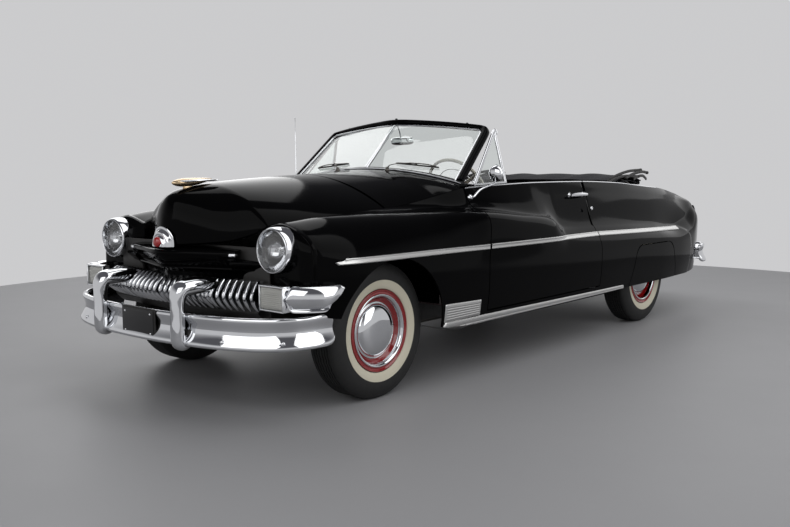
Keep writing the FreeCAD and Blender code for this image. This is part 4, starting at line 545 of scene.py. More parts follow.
class BodyForm:
    """The body's outer surface: sections of belt, shoulder crest, widest side and sill, joined by curves."""

    FRONT = [
        (-560, 1070, 527, 850, 317, 905, 145, 790, 167, 500, -12, 14, 0.35, 0.35),
        (-450, 1097, 457, 890, 257, 914, 72, 760, 87, 480, -12, 14, 0.35, 0.35),
        (-250, 1114, 397, 922, 222, 932, 17, 700, 32, 450, -8, 13, 0.35, 0.35),
        (0, 1128, 347, 940, 192, 934, 2, 660, 17, 420, 0, 12, 0.38, 0.38),
        (350, 1141, 302, 965, 157, 932, 0, 640, 22, 330, 34, 11, 0.30, 0.55),
        (600, 1152, 252, 1010, 97, 930, 0, 630, 25, 310, 60, 10, 0.45, 0.62),
        (790, 1164, 182, 1055, 52, 925, 0, 620, 27, 305, 67, 11, 0.50, 0.50),
        (1200, 1164, 157, 1070, 45, 890, 0, 610, 27, 300, 68, 20, 0.55, 0.24),
        (1500, 1164, 155, 1075, 49, 862, 0, 605, 27, 300, 68, 30, 0.55, 0.14),
        (1690, 1164, 156, 1075, 57, 795, 0, 600, 27, 300, 64, 62, 0.45, 0.20),
        (2100, 1164, 157, 1072, 64, 771, 0, 600, 27, 300, 64, 68, 0.40, 0.30),
    ]
    REAR = [
        (-377, 1100, 162, 1055, 77, 765, 2, 600, 32, 310, 63, 70, 0.40, 0.32),
        (103, 1060, 182, 1021, 92, 738, 5, 590, 32, 310, 56, 74, 0.40, 0.34),
        (453, 1040, 212, 998, 112, 712, 17, 580, 45, 310, 50, 76, 0.40, 0.36),
        (803, 985, 257, 955, 137, 760, 52, 600, 87, 305, 42, 74, 0.40, 0.36),
        (1053, 905, 297, 915, 177, 845, 117, 700, 147, 310, 22, 60, 0.36, 0.36),
        (1153, 845, 327, 850, 217, 800, 167, 680, 197, 330, 18, 60, 0.36, 0.36),
    ]
    NAMES = "top bx bz cx cz sx sz lx lz wall fall near far"
    CREASE = [(1380, 868), (1500, 862), (1560, 846), (1610, 815), (1660, 792), (1750, 781), (2100, 771), (2700, 752),
              (3150, 736), (3450, 710), (3600, 684), (3690, 640), (3735, 560), (3750, 460), (3750, 250)]
    STEP = 8.0

    def __init__(self) -> None:
        """Place both tables along the car."""
        rows = []
        for axle, table in ((FRONT_AXLE, self.FRONT), (REAR_AXLE, self.REAR)):
            for row in table:
                values = list(row)
                values[0] += axle
                for k in (2, 4, 6, 8):
                    values[k] = HALF_WIDTH - values[k]
                rows.append(values)
        self.table = Table(self.NAMES, rows)
        self.crease = curve_through(np.array(self.CREASE, float) + (FRONT_AXLE, 0), 110)

    def side(self, y: np.ndarray, t: np.ndarray, depth: float = 0.0) -> np.ndarray:
        """Points of the left side surface.

        Args:
            y: places along the car.
            t: 0 at the belt, 1 at the crest, 2 at the widest point and 3 at the sill.
            depth: how far inside the outer surface.

        Returns:
            An array of points with the shape of y.
        """
        s = self.table(y)
        t = np.asarray(t, float)
        belt = np.stack([s["bx"] - depth, s["bz"] - min(depth, 8)], -1)
        crest = np.stack([s["cx"] - 0.7 * depth, s["cz"] - 0.7 * depth], -1)
        wide = np.stack([s["sx"] - depth, s["sz"]], -1)
        sill = np.stack([s["lx"] - depth, s["lz"]], -1)
        chord = np.linalg.norm(crest - belt, axis=-1)
        wall, fall = np.radians(s["wall"]), np.radians(s["fall"])
        leave = np.stack([np.cos(wall), -np.sin(wall)], -1) * (chord * s["near"])[..., None]
        reach = np.stack([np.cos(fall), -np.sin(fall)], -1)
        upper = bezier(belt, belt + leave, crest - reach * (chord * s["far"])[..., None], crest, np.clip(t, 0, 1))
        drop = np.linalg.norm(wide - crest, axis=-1)
        zero = np.zeros_like(drop)
        rise = np.stack([zero, 0.55 * (crest - wide)[..., 1]], -1)
        middle = bezier(crest, crest + reach * (0.30 * drop)[..., None], wide + rise, wide, np.clip(t - 1, 0, 1))
        fallen = (wide - sill)[..., 1]
        lower = bezier(wide, wide - np.stack([zero, 0.4 * fallen], -1), sill + np.stack([zero, 0.4 * fallen], -1)
                       + (wide - sill) * (0.8, 0), sill, np.clip(t - 2, 0, 1))
        points = np.where((t < 1)[..., None], upper, np.where((t < 2)[..., None], middle, lower))
        x = points[..., 0] - self.inset(y, points[..., 1], s["bz"])
        return np.stack([x, np.broadcast_to(y, x.shape), points[..., 1]], -1)

    def inset(self, y: np.ndarray, z: np.ndarray, belt: np.ndarray) -> np.ndarray:
        """How far the surface above and behind the pontoon's crease lies inside the section's curve.

        Args:
            y: places along the car.
            z: heights.
            belt: heights of the belt there.

        Returns:
            The distances inward.
        """
        a, b = self.crease[:-1], self.crease[1:]
        p = np.stack([y, z], -1)[..., None, :]
        run = b - a
        u = np.clip(((p - a) * run).sum(-1) / (run**2).sum(-1), 0, 1)
        off = p - (a + u[..., None] * run)
        gap = np.sqrt((off**2).sum(-1))
        k = gap.argmin(-1)
        chosen = np.take_along_axis(off, k[..., None, None], -2)[..., 0, :]
        line = run[k]
        side = np.sign(line[..., 0] * chosen[..., 1] - line[..., 1] * chosen[..., 0])
        distance = gap.min(-1) * side
        share = np.clip(distance / 34 + 0.5, 0, 1)
        share = share * share * (3 - 2 * share)
        fade_in = np.clip((y - (FRONT_AXLE + 1430)) / 220, 0, 1)
        fade_belt = np.clip((belt - z) / 70, 0, 1)
        return self.STEP * share * fade_in * fade_belt

    def side_at(self, y: np.ndarray, z: np.ndarray, depth: float = 0.0) -> np.ndarray:
        """Points of the left side below the crest, at given places and heights, by halving t.

        Args:
            y: places along the car.
            z: heights.
            depth: distance inside the surface.

        Returns:
            The points.
        """
        y, z = np.asarray(y, float), np.asarray(z, float)
        low, high = np.full(y.shape, 1.0), np.full(y.shape, 3.0)
        for _ in range(30):
            mid = (low + high) / 2
            above = self.side(y, mid, depth)[..., 2] > z
            low, high = np.where(above, mid, low), np.where(above, high, mid)
        return self.side(y, (low + high) / 2, depth)

    def top_at(self, y: np.ndarray, x: np.ndarray, inset: float = 9.3) -> np.ndarray:
        """Heights of the body's top surface between the belts at places y and x.

        Args:
            y: places along the car.
            x: places across.
            inset: how far the edge lies inside the belt.

        Returns:
            The heights.
        """
        s = self.table(y)
        half = s["bx"] - inset
        drop = s["top"] - s["bz"]
        steep = np.maximum(np.abs(drop), 0.5)
        radius = (half**2 + steep**2) / (2 * steep)
        sag = radius - np.sqrt(np.maximum(radius**2 - np.asarray(x) ** 2, 0))
        return s["top"] - np.sign(drop) * sag


FORM = BodyForm()


# ------------------------------------------------------------------ body panels
Cut = Callable[[np.ndarray, np.ndarray], np.ndarray]


def arch_cut(axle_y: float, radius: float) -> Cut:
    """Distance outside a wheel opening that is round above the axle and straight below it.

    Args:
        axle_y: the wheel's place.
        radius: the opening's radius.

    Returns:
        The distance function.
    """

    def distance(y: np.ndarray, z: np.ndarray) -> np.ndarray:
        """Signed distance from the opening's edge."""
        return np.hypot(y - axle_y, np.maximum(z - 350.0, 0)) - radius

    return distance


def skirt_cut(inset: float, corner: float = 70.0) -> Cut:
    """Distance outside the fender skirt's outline, drawn in by an inset and with round upper corners.

    Args:
        inset: how far it is drawn in.
        corner: radius of the upper corners.

    Returns:
        The distance function.
    """
    corners = [(-420 + inset, 280.0), (-330 + inset, 607.0 - inset), (293 - inset, 602.0 - inset), (440 - inset, 280.0)]

    def distance(y: np.ndarray, z: np.ndarray) -> np.ndarray:
        """Signed distance from the outline.

        Args:
            y: places along the car.
            z: heights.

        Returns:
            The distances, positive outside.
        """
        reach = []
        for (ya, za), (yb, zb) in zip(corners[:-1], corners[1:]):
            run = math.hypot(yb - ya, zb - za)
            out = (-(zb - za) / run, (yb - ya) / run)
            reach.append((y - REAR_AXLE - ya) * out[0] + (z - za) * out[1] + corner)
        q = np.stack(reach, -1)
        return np.sqrt((np.maximum(q, 0) ** 2).sum(-1)) + np.minimum(q.max(-1), 0) - corner

    return distance


@dataclass
class SidePanel:
    """A thick panel of the body's side between two places along the car, cut by outlines in the side view."""

    name: str
    start: float
    end: float
    depth: float
    body: str
    stands_for: tuple[str, ...]
    t_low: float = 0.0
    t_high: float = 3.0
    cuts: tuple[Cut, ...] = ()
    cell: float = 14.0
    rows_a_curve: int = 20
    nose: float = 0.0
    socket: tuple[float, float, float] = (666.0, 791.0, 101.0)
    side: int = LEFT
    finish: Finish = PAINT

    def keep(self, y: np.ndarray, z: np.ndarray) -> np.ndarray:
        """Signed distance inside every cut's kept side.

        Args:
            y: places along the car.
            z: heights.

        Returns:
            The distances, positive where the panel is.
        """
        if not self.cuts:
            return np.full(np.broadcast(y, z).shape, 1.0)
        return np.min([cut(y, z) for cut in self.cuts], axis=0)

    def settle(self, point: np.ndarray) -> np.ndarray:
        """Move (y, z) points onto the cuts' edge.

        Args:
            point: the points, one a row.

        Returns:
            The moved points.
        """
        for _ in range(6):
            d = self.keep(point[:, 0], point[:, 1])
            dy = self.keep(point[:, 0] + 0.5, point[:, 1]) - self.keep(point[:, 0] - 0.5, point[:, 1])
            dz = self.keep(point[:, 0], point[:, 1] + 0.5) - self.keep(point[:, 0], point[:, 1] - 0.5)
            slope = np.stack([dy, dz], -1)
            step = slope * (d / np.maximum((slope**2).sum(-1), 1e-2))[:, None]
            reach = np.linalg.norm(step, axis=1)[:, None]
            point = point - step * np.minimum(1, 9 / np.maximum(reach, 1e-6))
        return point

    def build(self) -> bpy.types.Object:
        """Make the panel.

        Returns:
            The panel's object.
        """
        rows = max(2, round((self.end - self.start) / self.cell) + 1)
        columns = round((self.t_high - self.t_low) * self.rows_a_curve) + 1
        y, t = np.meshgrid(np.linspace(self.start, self.end, rows), np.linspace(self.t_low, self.t_high, columns),
                           indexing="ij")
        outer, inner = FORM.side(y, t).reshape(-1, 3), FORM.side(y, t, self.depth).reshape(-1, 3)
        quads = np.array(grid_faces(rows, columns))
        middle = outer[quads].mean(1)
        kept = self.keep(middle[:, 1], middle[:, 2]) > 0
        used, dropped = set(quads[kept].ravel()), set(quads[~kept].ravel())
        edge = np.array(sorted(used & dropped), int)
        if len(edge):
            spot = self.settle(outer[edge][:, 1:])
            outer[edge] = FORM.side_at(spot[:, 0], spot[:, 1])
            inner[edge] = FORM.side_at(spot[:, 0], spot[:, 1], self.depth)
        faces = [list(f) for f in quads[kept]]
        count = len(outer)
        sides: dict[tuple[int, int], int] = {}
        for f in faces:
            for a, b in zip(f, f[1:] + f[:1]):
                sides[(a, b)] = sides.get((a, b), 0) + 1
        rim = [(a, b) for a, b in sides if (b, a) not in sides]
        verts = np.vstack([outer, inner])
        faces += [[count + i for i in reversed(f)] for f in quads[kept]]
        nose_row = set(range(columns)) if self.nose else set()
        for a, b in rim:
            if not (a in nose_row and b in nose_row):
                faces.append([b, a, count + a, count + b])
        if self.nose:
            verts, faces = self.add_nose(verts, faces, columns, count)
        if self.side == RIGHT:
            verts, faces = mirrored(verts), flipped(faces)
        made = piece(self.name, verts, faces, self.finish, self.body, 42, self.stands_for, "body_paint")
        return made

    def add_nose(self, verts: np.ndarray, faces: list, columns: int, count: int) -> tuple[np.ndarray, list]:
        """Close the panel's front with a rolled edge, a face and the lamp's socket.

        Args:
            verts: the panel's points so far.
            faces: its faces so far.
            columns: points in the front row.
            count: points in the outer surface.

        Returns:
            The points and faces with the nose added.
        """
        ring = list(range(columns))
        outline = verts[ring]
        back = np.array([[outline[0][0], outline[0][1], z]
                         for z in np.linspace(outline[-1][2], outline[0][2], 24)[1:-1]])
        rings = [np.vstack([outline, back])]
        centre = rings[0].mean(0)
        lean = 0.58
        for k in range(1, 9):
            a = lean + k / 8 * (math.pi / 2 - lean)
            away = rings[0] - centre
            length = np.linalg.norm(away, axis=1)[:, None]
            moved = centre + away * (1 - self.nose * (math.cos(lean) - math.cos(a)) / length)
            moved[:, 1] -= self.nose * (math.sin(a) - math.sin(lean))
            rings.append(moved)
        n = len(rings[0])
        start = len(verts)
        verts = np.vstack([verts, back, *rings[1:]])
        index = [ring + [start + i for i in range(len(back))]]
        for k in range(1, 9):
            index.append([start + len(back) + (k - 1) * n + i for i in range(n)])
        for low, high in zip(index[:-1], index[1:]):
            for i in range(n):
                j = (i + 1) % n
                faces.append([low[i], high[i], high[j], low[j]])
        lamp_x, lamp_z, reach = self.socket
        turn = np.arctan2(rings[-1][:, 2] - lamp_z, rings[-1][:, 0] - lamp_x)
        for shift in (0.0, 90.0):
            hole = np.column_stack([lamp_x + reach * np.cos(turn), rings[-1][:, 1] + shift,
                                    lamp_z + reach * np.sin(turn)])
            index.append([len(verts) + i for i in range(n)])
            verts = np.vstack([verts, hole])
            low, high = index[-2], index[-1]
            for i in range(n):
                j = (i + 1) % n
                faces.append([low[i], high[i], high[j], low[j]])
        faces.append(index[-1][::-1])
        back_ring = [count + i for i in range(columns)]
        for i in range(columns - 1):
            faces.append([ring[i], ring[i + 1], back_ring[i + 1], back_ring[i]])
        return verts, faces


@dataclass
class BodySides:
    """Fenders, doors, quarters, skirts and rockers of both sides."""

    gap: float = 3.5
    sheet: float = 9.0
    door_front: float = FRONT_AXLE + 790
    door_rear: float = FRONT_AXLE + 2120
    rocker_top: float = 367.0
    lean: float = 8.0
    tail: float = REAR_AXLE + 1150

    def lean_cut(self, y: np.ndarray, z: np.ndarray) -> np.ndarray:
        """Distance ahead of the door's rear edge, which leans forward above 600 mm."""
        rear = self.door_rear - self.gap - np.clip((z - 600) / 475, 0, 1) * self.lean
        return rear - y

    def build(self) -> None:
        """Make the panels of both sides."""
        for side, word in SIDES:
            common = {"side": side}
            SidePanel(f"{word}_front_fender_skin", FRONT_AXLE - 490, self.door_front - self.gap, self.sheet, "body",
                      (f"{word}_front_fender",), cuts=(arch_cut(FRONT_AXLE, 376),), nose=88.0, **common).build()
            SidePanel(f"{word}_door_skin", self.door_front + self.gap, self.door_rear - self.gap, 62, f"{word}_door",
                      (f"{word}_door",), cuts=(lambda y, z: z - self.rocker_top - self.gap, self.lean_cut),
                      **common).build()
            SidePanel(f"{word}_quarter_skin", self.door_rear + self.gap, self.tail, 30, "body",
                      (f"{word}_rear_quarter",), cuts=(skirt_cut(0),), **common).build()
            SidePanel(f"{word}_fender_skirt", REAR_AXLE - 420, REAR_AXLE + 440, self.sheet, "body",
                      ("fender_skirts",), t_low=1.4, cuts=(lambda y, z: -skirt_cut(7)(y, z),), **common).build()
            SidePanel(f"{word}_rocker", self.door_front - self.gap, self.door_rear + self.gap, 60, "body",
                      ("rocker_panels",), t_low=2.0, cuts=(lambda y, z: self.rocker_top - self.gap - z,),
                      **common).build()


@dataclass
class TopPanels:
    """Hood, cowl, rear deck and trunk lid: the body's upper surfaces between the belts."""

    gap: float = 3.5
    sheet: float = 9.0
    hood_rear: float = FRONT_AXLE + 265
    lid_front: float = REAR_AXLE + 450
    lid_low: float = 560.0
    columns: int = 61
    nose_start: float = -450.0
    nose_rows: tuple[tuple[float, ...], ...] = (
        (-708, 842, 3, 800, 0.50), (-706, 868, 20, 800, 0.50), (-700, 918, 42, 801, 0.50), (-688, 968, 76, 802, 0.50),
        (-668, 1016, 122, 804, 0.51), (-640, 1048, 172, 807, 0.52), (-600, 1067, 238, 812, 0.54),
        (-550, 1080, 312, 820, 0.58), (-500, 1089, 390, 842, 0.63), (-450, 1097, 484, 876, 0.69),
    )

    def hood_row(self, station: float, depth: float) -> tuple[float, float, float, float]:
        """Crest height, half width, edge height and roundness of the hood at a station behind the front axle.

        Args:
            station: distance behind the front axle.
            depth: distance inside the surface.

        Returns:
            The four values.
        """
        s = FORM.table(FRONT_AXLE + station)
        half = float(s["bx"]) - 16
        share = np.clip((station + 560) / 825, 0, 1)
        edge = float(s["bz"]) - 16 * (1 - share)
        return float(s["top"]) - depth, half - depth, edge - depth, 0.56 + 0.44 * share**0.6

    def hood_points(self, depth: float) -> tuple[np.ndarray, int]:
        """Points of the hood's dome at a depth below its surface, row by row from the nose.

        Args:
            depth: distance inside the outer surface.

        Returns:
            The points and the number of points in a row.
        """
        across = np.sin(np.linspace(-math.pi / 2, math.pi / 2, 65))
        nose = Table("top half edge power", self.nose_rows)
        reach = self.nose_start - self.nose_rows[0][0]
        rows = []
        for share in np.linspace(0, 1, 46)[:-1] ** 2:
            s = nose(self.nose_rows[0][0] + reach * share)
            y = FRONT_AXLE + self.nose_rows[0][0] + reach * share + depth * (1 - share)
            half = max(float(s["half"]) - depth, 1)
            rows.append((y, float(s["top"]) - depth, half, float(s["edge"]) - depth, float(s["power"])))
        for station in np.linspace(self.nose_start, self.hood_rear - FRONT_AXLE - self.gap, 44):
            top, half, edge, power = self.hood_row(station, depth)
            rows.append((FRONT_AXLE + station, top, half, edge, power))
        points = []
        for y, top, half, edge, power in rows:
            height = edge + (top - edge) * np.maximum(1 - across**2, 0) ** power
            points.append(np.stack([across * half, np.full(len(across), y), height], -1))
        return np.array(points).reshape(-1, 3), len(across)

    def shell(self, outer: np.ndarray, inner: np.ndarray, columns: int) -> tuple[np.ndarray, list]:
        """Close two grids of points into a thick panel.

        Args:
            outer: the outer grid's points.
            inner: the inner grid's points.
            columns: points in a row.

        Returns:
            The points and faces.
        """
        rows = len(outer) // columns
        verts = np.vstack([outer, inner])
        n = len(outer)
        faces = grid_faces(rows, columns)
        faces += [[n + i for i in reversed(f)] for f in grid_faces(rows, columns)]
        loop = border(rows, columns)
        for a, b in zip(loop, loop[1:] + loop[:1]):
            faces.append([b, a, n + a, n + b])
        return verts, faces

    def between(self, start: float, end: float, inset: float, limit: float = 1e9,
                roll: float = 0.0) -> tuple[np.ndarray, list]:
        """A thick panel of the top between two places.

        Args:
            start: its front place.
            end: its rear place.
            inset: how far its sides stop short of the belt.
            limit: widest half width.
            roll: how far the rear rolls down behind `end`.

        Returns:
            The points and faces of the panel.
        """
        rows = max(3, round((end - start) / 20))
        across = np.linspace(-1, 1, self.columns)
        grids = []
        for depth in (0.0, self.sheet):
            points = []
            for y in np.linspace(start, end, rows):
                half = min(float(FORM.table(y)["bx"]) - inset, limit) - 0.3 * depth
                z = FORM.top_at(y, across * half, inset) - depth
                points.append(np.stack([across * half, np.full(self.columns, y), z], -1))
            if roll:
                last = points[-1]
                centre = last.copy()
                for k in range(1, 9):
                    a = k / 8 * math.pi / 2
                    ring = centre.copy()
                    ring[:, 1] = end + (roll - depth) * math.sin(a)
                    ring[:, 2] = centre[:, 2] - (roll - depth) * (1 - math.cos(a))
                    points.append(ring)
                base = points[-1]
                for k in range(1, 13):
                    ring = base.copy()
                    ring[:, 2] = base[:, 2] + (self.lid_low - base[:, 2]) * k / 12
                    points.append(ring)
            grids.append(np.array(points).reshape(-1, 3))
        return self.shell(grids[0], grids[1], self.columns)

    def build(self) -> None:
        """Make the panels."""
        outer, columns = self.hood_points(0.0)
        inner, _ = self.hood_points(self.sheet)
        piece("hood_skin", *self.shell(outer, inner, columns), PAINT, "hood", 42, ("hood",), "body_paint")
        cowl = self.between(self.hood_rear + self.gap, FRONT_AXLE + 786, 9.3)
        shelf = self.between(FRONT_AXLE + 786, FRONT_AXLE + 905, 9.3, 716)
        piece("cowl_skin", *merged([cowl, shelf]), PAINT, "body", 42, (), "body_paint")
        deck = self.between(REAR_AXLE + 395, self.lid_front - self.gap, 9.3)
        piece("rear_deck_skin", *deck, PAINT, "body", 42, (), "body_paint")
        lid = self.between(self.lid_front + self.gap, REAR_AXLE + 1110, 16, roll=40)
        piece("trunk_lid_skin", *lid, PAINT, "trunk_lid", 42, ("trunk_lid",), "body_paint")


# ------------------------------------------------------------------ studio
@dataclass
class Studio:
    """Pale floor and surroundings, soft lamps and the camera."""

    floor_colour: Colour = (0.34, 0.34, 0.35)
    floor_tint: Colour = (0.31, 0.31, 0.32)
    sky: Colour = (0.60, 0.60, 0.61)
    ceiling: Colour = (0.10, 0.10, 0.11)
    camera_at: Point = (3.805, -5.106, 1.175)
    yaw: float = 40.58
    pitch: float = -6.13
    roll: float = -0.375
    lens: float = 40.8
    reach: float = 5.2
    shift: tuple[float, float] = (0.0, 0.0)

    def floor(self) -> None:
        """A wide plain floor."""
        mesh = bpy.data.meshes.new("studio_floor")
        ring = [(self.reach * math.cos(k * math.pi / 96), self.reach * math.sin(k * math.pi / 96), 0.0)
                for k in range(192)]
        mesh.from_pydata(ring, [], [tuple(range(192))])
        mesh.materials.append(self.floor_material())
        obj = bpy.data.objects.new("studio_floor", mesh)
        bpy.context.scene.collection.objects.link(obj)

    def floor_material(self) -> bpy.types.Material:
        """A matt pale floor."""
        finish = Finish("studio_floor", self.floor_colour, self.floor_tint, 0.5, 0.04, patch=0.6, shine=0.3)
        return finish.build()

    def lamp(self, name: str, place: Point, size: tuple[float, float], power: float, aim: Point) -> None:
        """Hang one soft rectangular lamp.

        Args:
            name: the lamp's name.
            place: where it hangs, in metres.
            size: its width and height.
            power: watts.
            aim: the point it faces.
        """
        data = bpy.data.lights.new(name, "AREA")
        data.shape = "RECTANGLE"
        data.size, data.size_y = size
        data.energy = power
        obj = bpy.data.objects.new(name, data)
        obj.location = place
        obj.rotation_euler = (Vector(aim) - Vector(place)).to_track_quat("-Z", "Y").to_euler()
        bpy.context.scene.collection.objects.link(obj)

    def lights(self) -> None:
        """Plain soft light from above and a pale surrounding."""
        world = bpy.data.worlds.new("studio")
        world.use_nodes = True
        tree = world.node_tree
        back = tree.nodes["Background"]
        path = tree.nodes.new("ShaderNodeLightPath")
        seen = path.outputs["Is Camera Ray"]
        for other in ("Is Glossy Ray", "Is Transmission Ray"):
            add = tree.nodes.new("ShaderNodeMath")
            add.operation = "MAXIMUM"
            tree.links.new(seen, add.inputs[0])
            tree.links.new(path.outputs[other], add.inputs[1])
            seen = add.outputs[0]
        level = tree.nodes.new("ShaderNodeMapRange")
        level.inputs["To Min"].default_value = 0.6
        level.inputs["To Max"].default_value = 1.0
        tree.links.new(seen, level.inputs["Value"])
        tree.links.new(level.outputs["Result"], back.inputs["Strength"])
        split = tree.nodes.new("ShaderNodeSeparateXYZ")
        tree.links.new(tree.nodes.new("ShaderNodeTexCoord").outputs["Generated"], split.inputs[0])
        ramp = tree.nodes.new("ShaderNodeValToRGB")
        ramp.color_ramp.elements[0].color = (*self.sky, 1)
        ramp.color_ramp.elements[0].position = 0.26
        ramp.color_ramp.elements[1].color = (*self.ceiling, 1)
        ramp.color_ramp.elements[1].position = 0.5
        tree.links.new(split.outputs["Z"], ramp.inputs["Fac"])
        tree.links.new(ramp.outputs["Color"], back.inputs["Color"])
        bpy.context.scene.world = world
        self.lamp("left_strip", (4.6, 0.0, 5.4), (5.0, 12.0), 300, (0, 0, 0.4))
        self.lamp("right_strip", (-5.4, 1.6, 5.4), (5.0, 9.0), 230, (0, 0, 0.4))
        self.lamp("front", (2.0, -8.5, 5.0), (10.0, 5.0), 240, (0, -1.5, 0.5))
        self.lamp("rear", (0.0, 9.0, 4.8), (10.0, 5.0), 150, (0, 1.0, 0.6))

    def camera(self) -> None:
        """The camera, level with a standing person's chest, ahead and to the car's left."""
        data = bpy.data.cameras.new("camera")
        data.lens, data.sensor_width = self.lens, 36.0
        data.shift_x, data.shift_y = self.shift
        obj = bpy.data.objects.new("camera", data)
        yaw, pitch = math.radians(self.yaw), math.radians(self.pitch)
        look = Vector((-math.sin(yaw) * math.cos(pitch), math.cos(yaw) * math.cos(pitch), math.sin(pitch)))
        turn = look.to_track_quat("-Z", "Y").to_matrix().to_4x4() @ rotation(self.roll, "Z")
        obj.matrix_world = Matrix.Translation(self.camera_at) @ turn
        bpy.context.scene.collection.objects.link(obj)
        bpy.context.scene.camera = obj

    def build(self) -> None:
        """Set up the studio."""
        self.floor()
        self.lights()
        self.camera()
        bpy.context.scene.view_settings.view_transform = "Standard"


# ------------------------------------------------------------------ bright work
def plate(grid: np.ndarray, thickness: float) -> tuple[np.ndarray, list]:
    """A sheet of even thickness behind a grid of points.

    Args:
        grid: points as rows by columns by 3; its front is on the left of row cross column.
        thickness: the sheet's thickness.

    Returns:
        The points and faces of the closed sheet.
    """
    rows, columns = grid.shape[:2]
    along, across = np.gradient(grid, axis=0), np.gradient(grid, axis=1)
    normal = np.cross(along, across)
    normal /= np.maximum(np.linalg.norm(normal, axis=-1), 1e-9)[..., None]
    front, back = grid.reshape(-1, 3), (grid - normal * thickness).reshape(-1, 3)
    n = len(front)
    faces = grid_faces(rows, columns)
    faces = [list(reversed(f)) for f in faces] + [[n + i for i in f] for f in faces]
    loop = border(rows, columns)
    for a, b in zip(loop, loop[1:] + loop[:1]):
        faces.append([a, b, n + b, n + a])
    return np.vstack([front, back]), faces


def about_y(part: tuple[np.ndarray, list], centre: Sequence) -> tuple[np.ndarray, list]:
    """A shape turned about X set to face the front instead, about a centre."""
    return placed(part, centre, rotation(-90, "Z"))


def facing_rear(part: tuple[np.ndarray, list]) -> tuple[np.ndarray, list]:
    """A shape turned about X set to face the rear."""
    return placed(about_y(part, (0, 0, 0)), (0, 0, 0), rotation(180, "Z"))


def dome_bolt(place: Sequence, radius: float, height: float, facing: str = "front") -> tuple[np.ndarray, list]:
    """A round-headed bolt's head, facing the front or the left side.

    Args:
        place: the head's foot.
        radius: its radius.
        height: its height.
        facing: front, or left for the side.

    Returns:
        The points and faces.
    """
    a = np.linspace(0, math.pi / 2, 7)
    profile = [(radius * math.cos(v), height * math.sin(v)) for v in a[:-1]] + [(0.05, height)]
    head = revolve([(radius, -2.0)] + profile, 20)
    return about_y(head, place) if facing == "front" else placed(head, place)


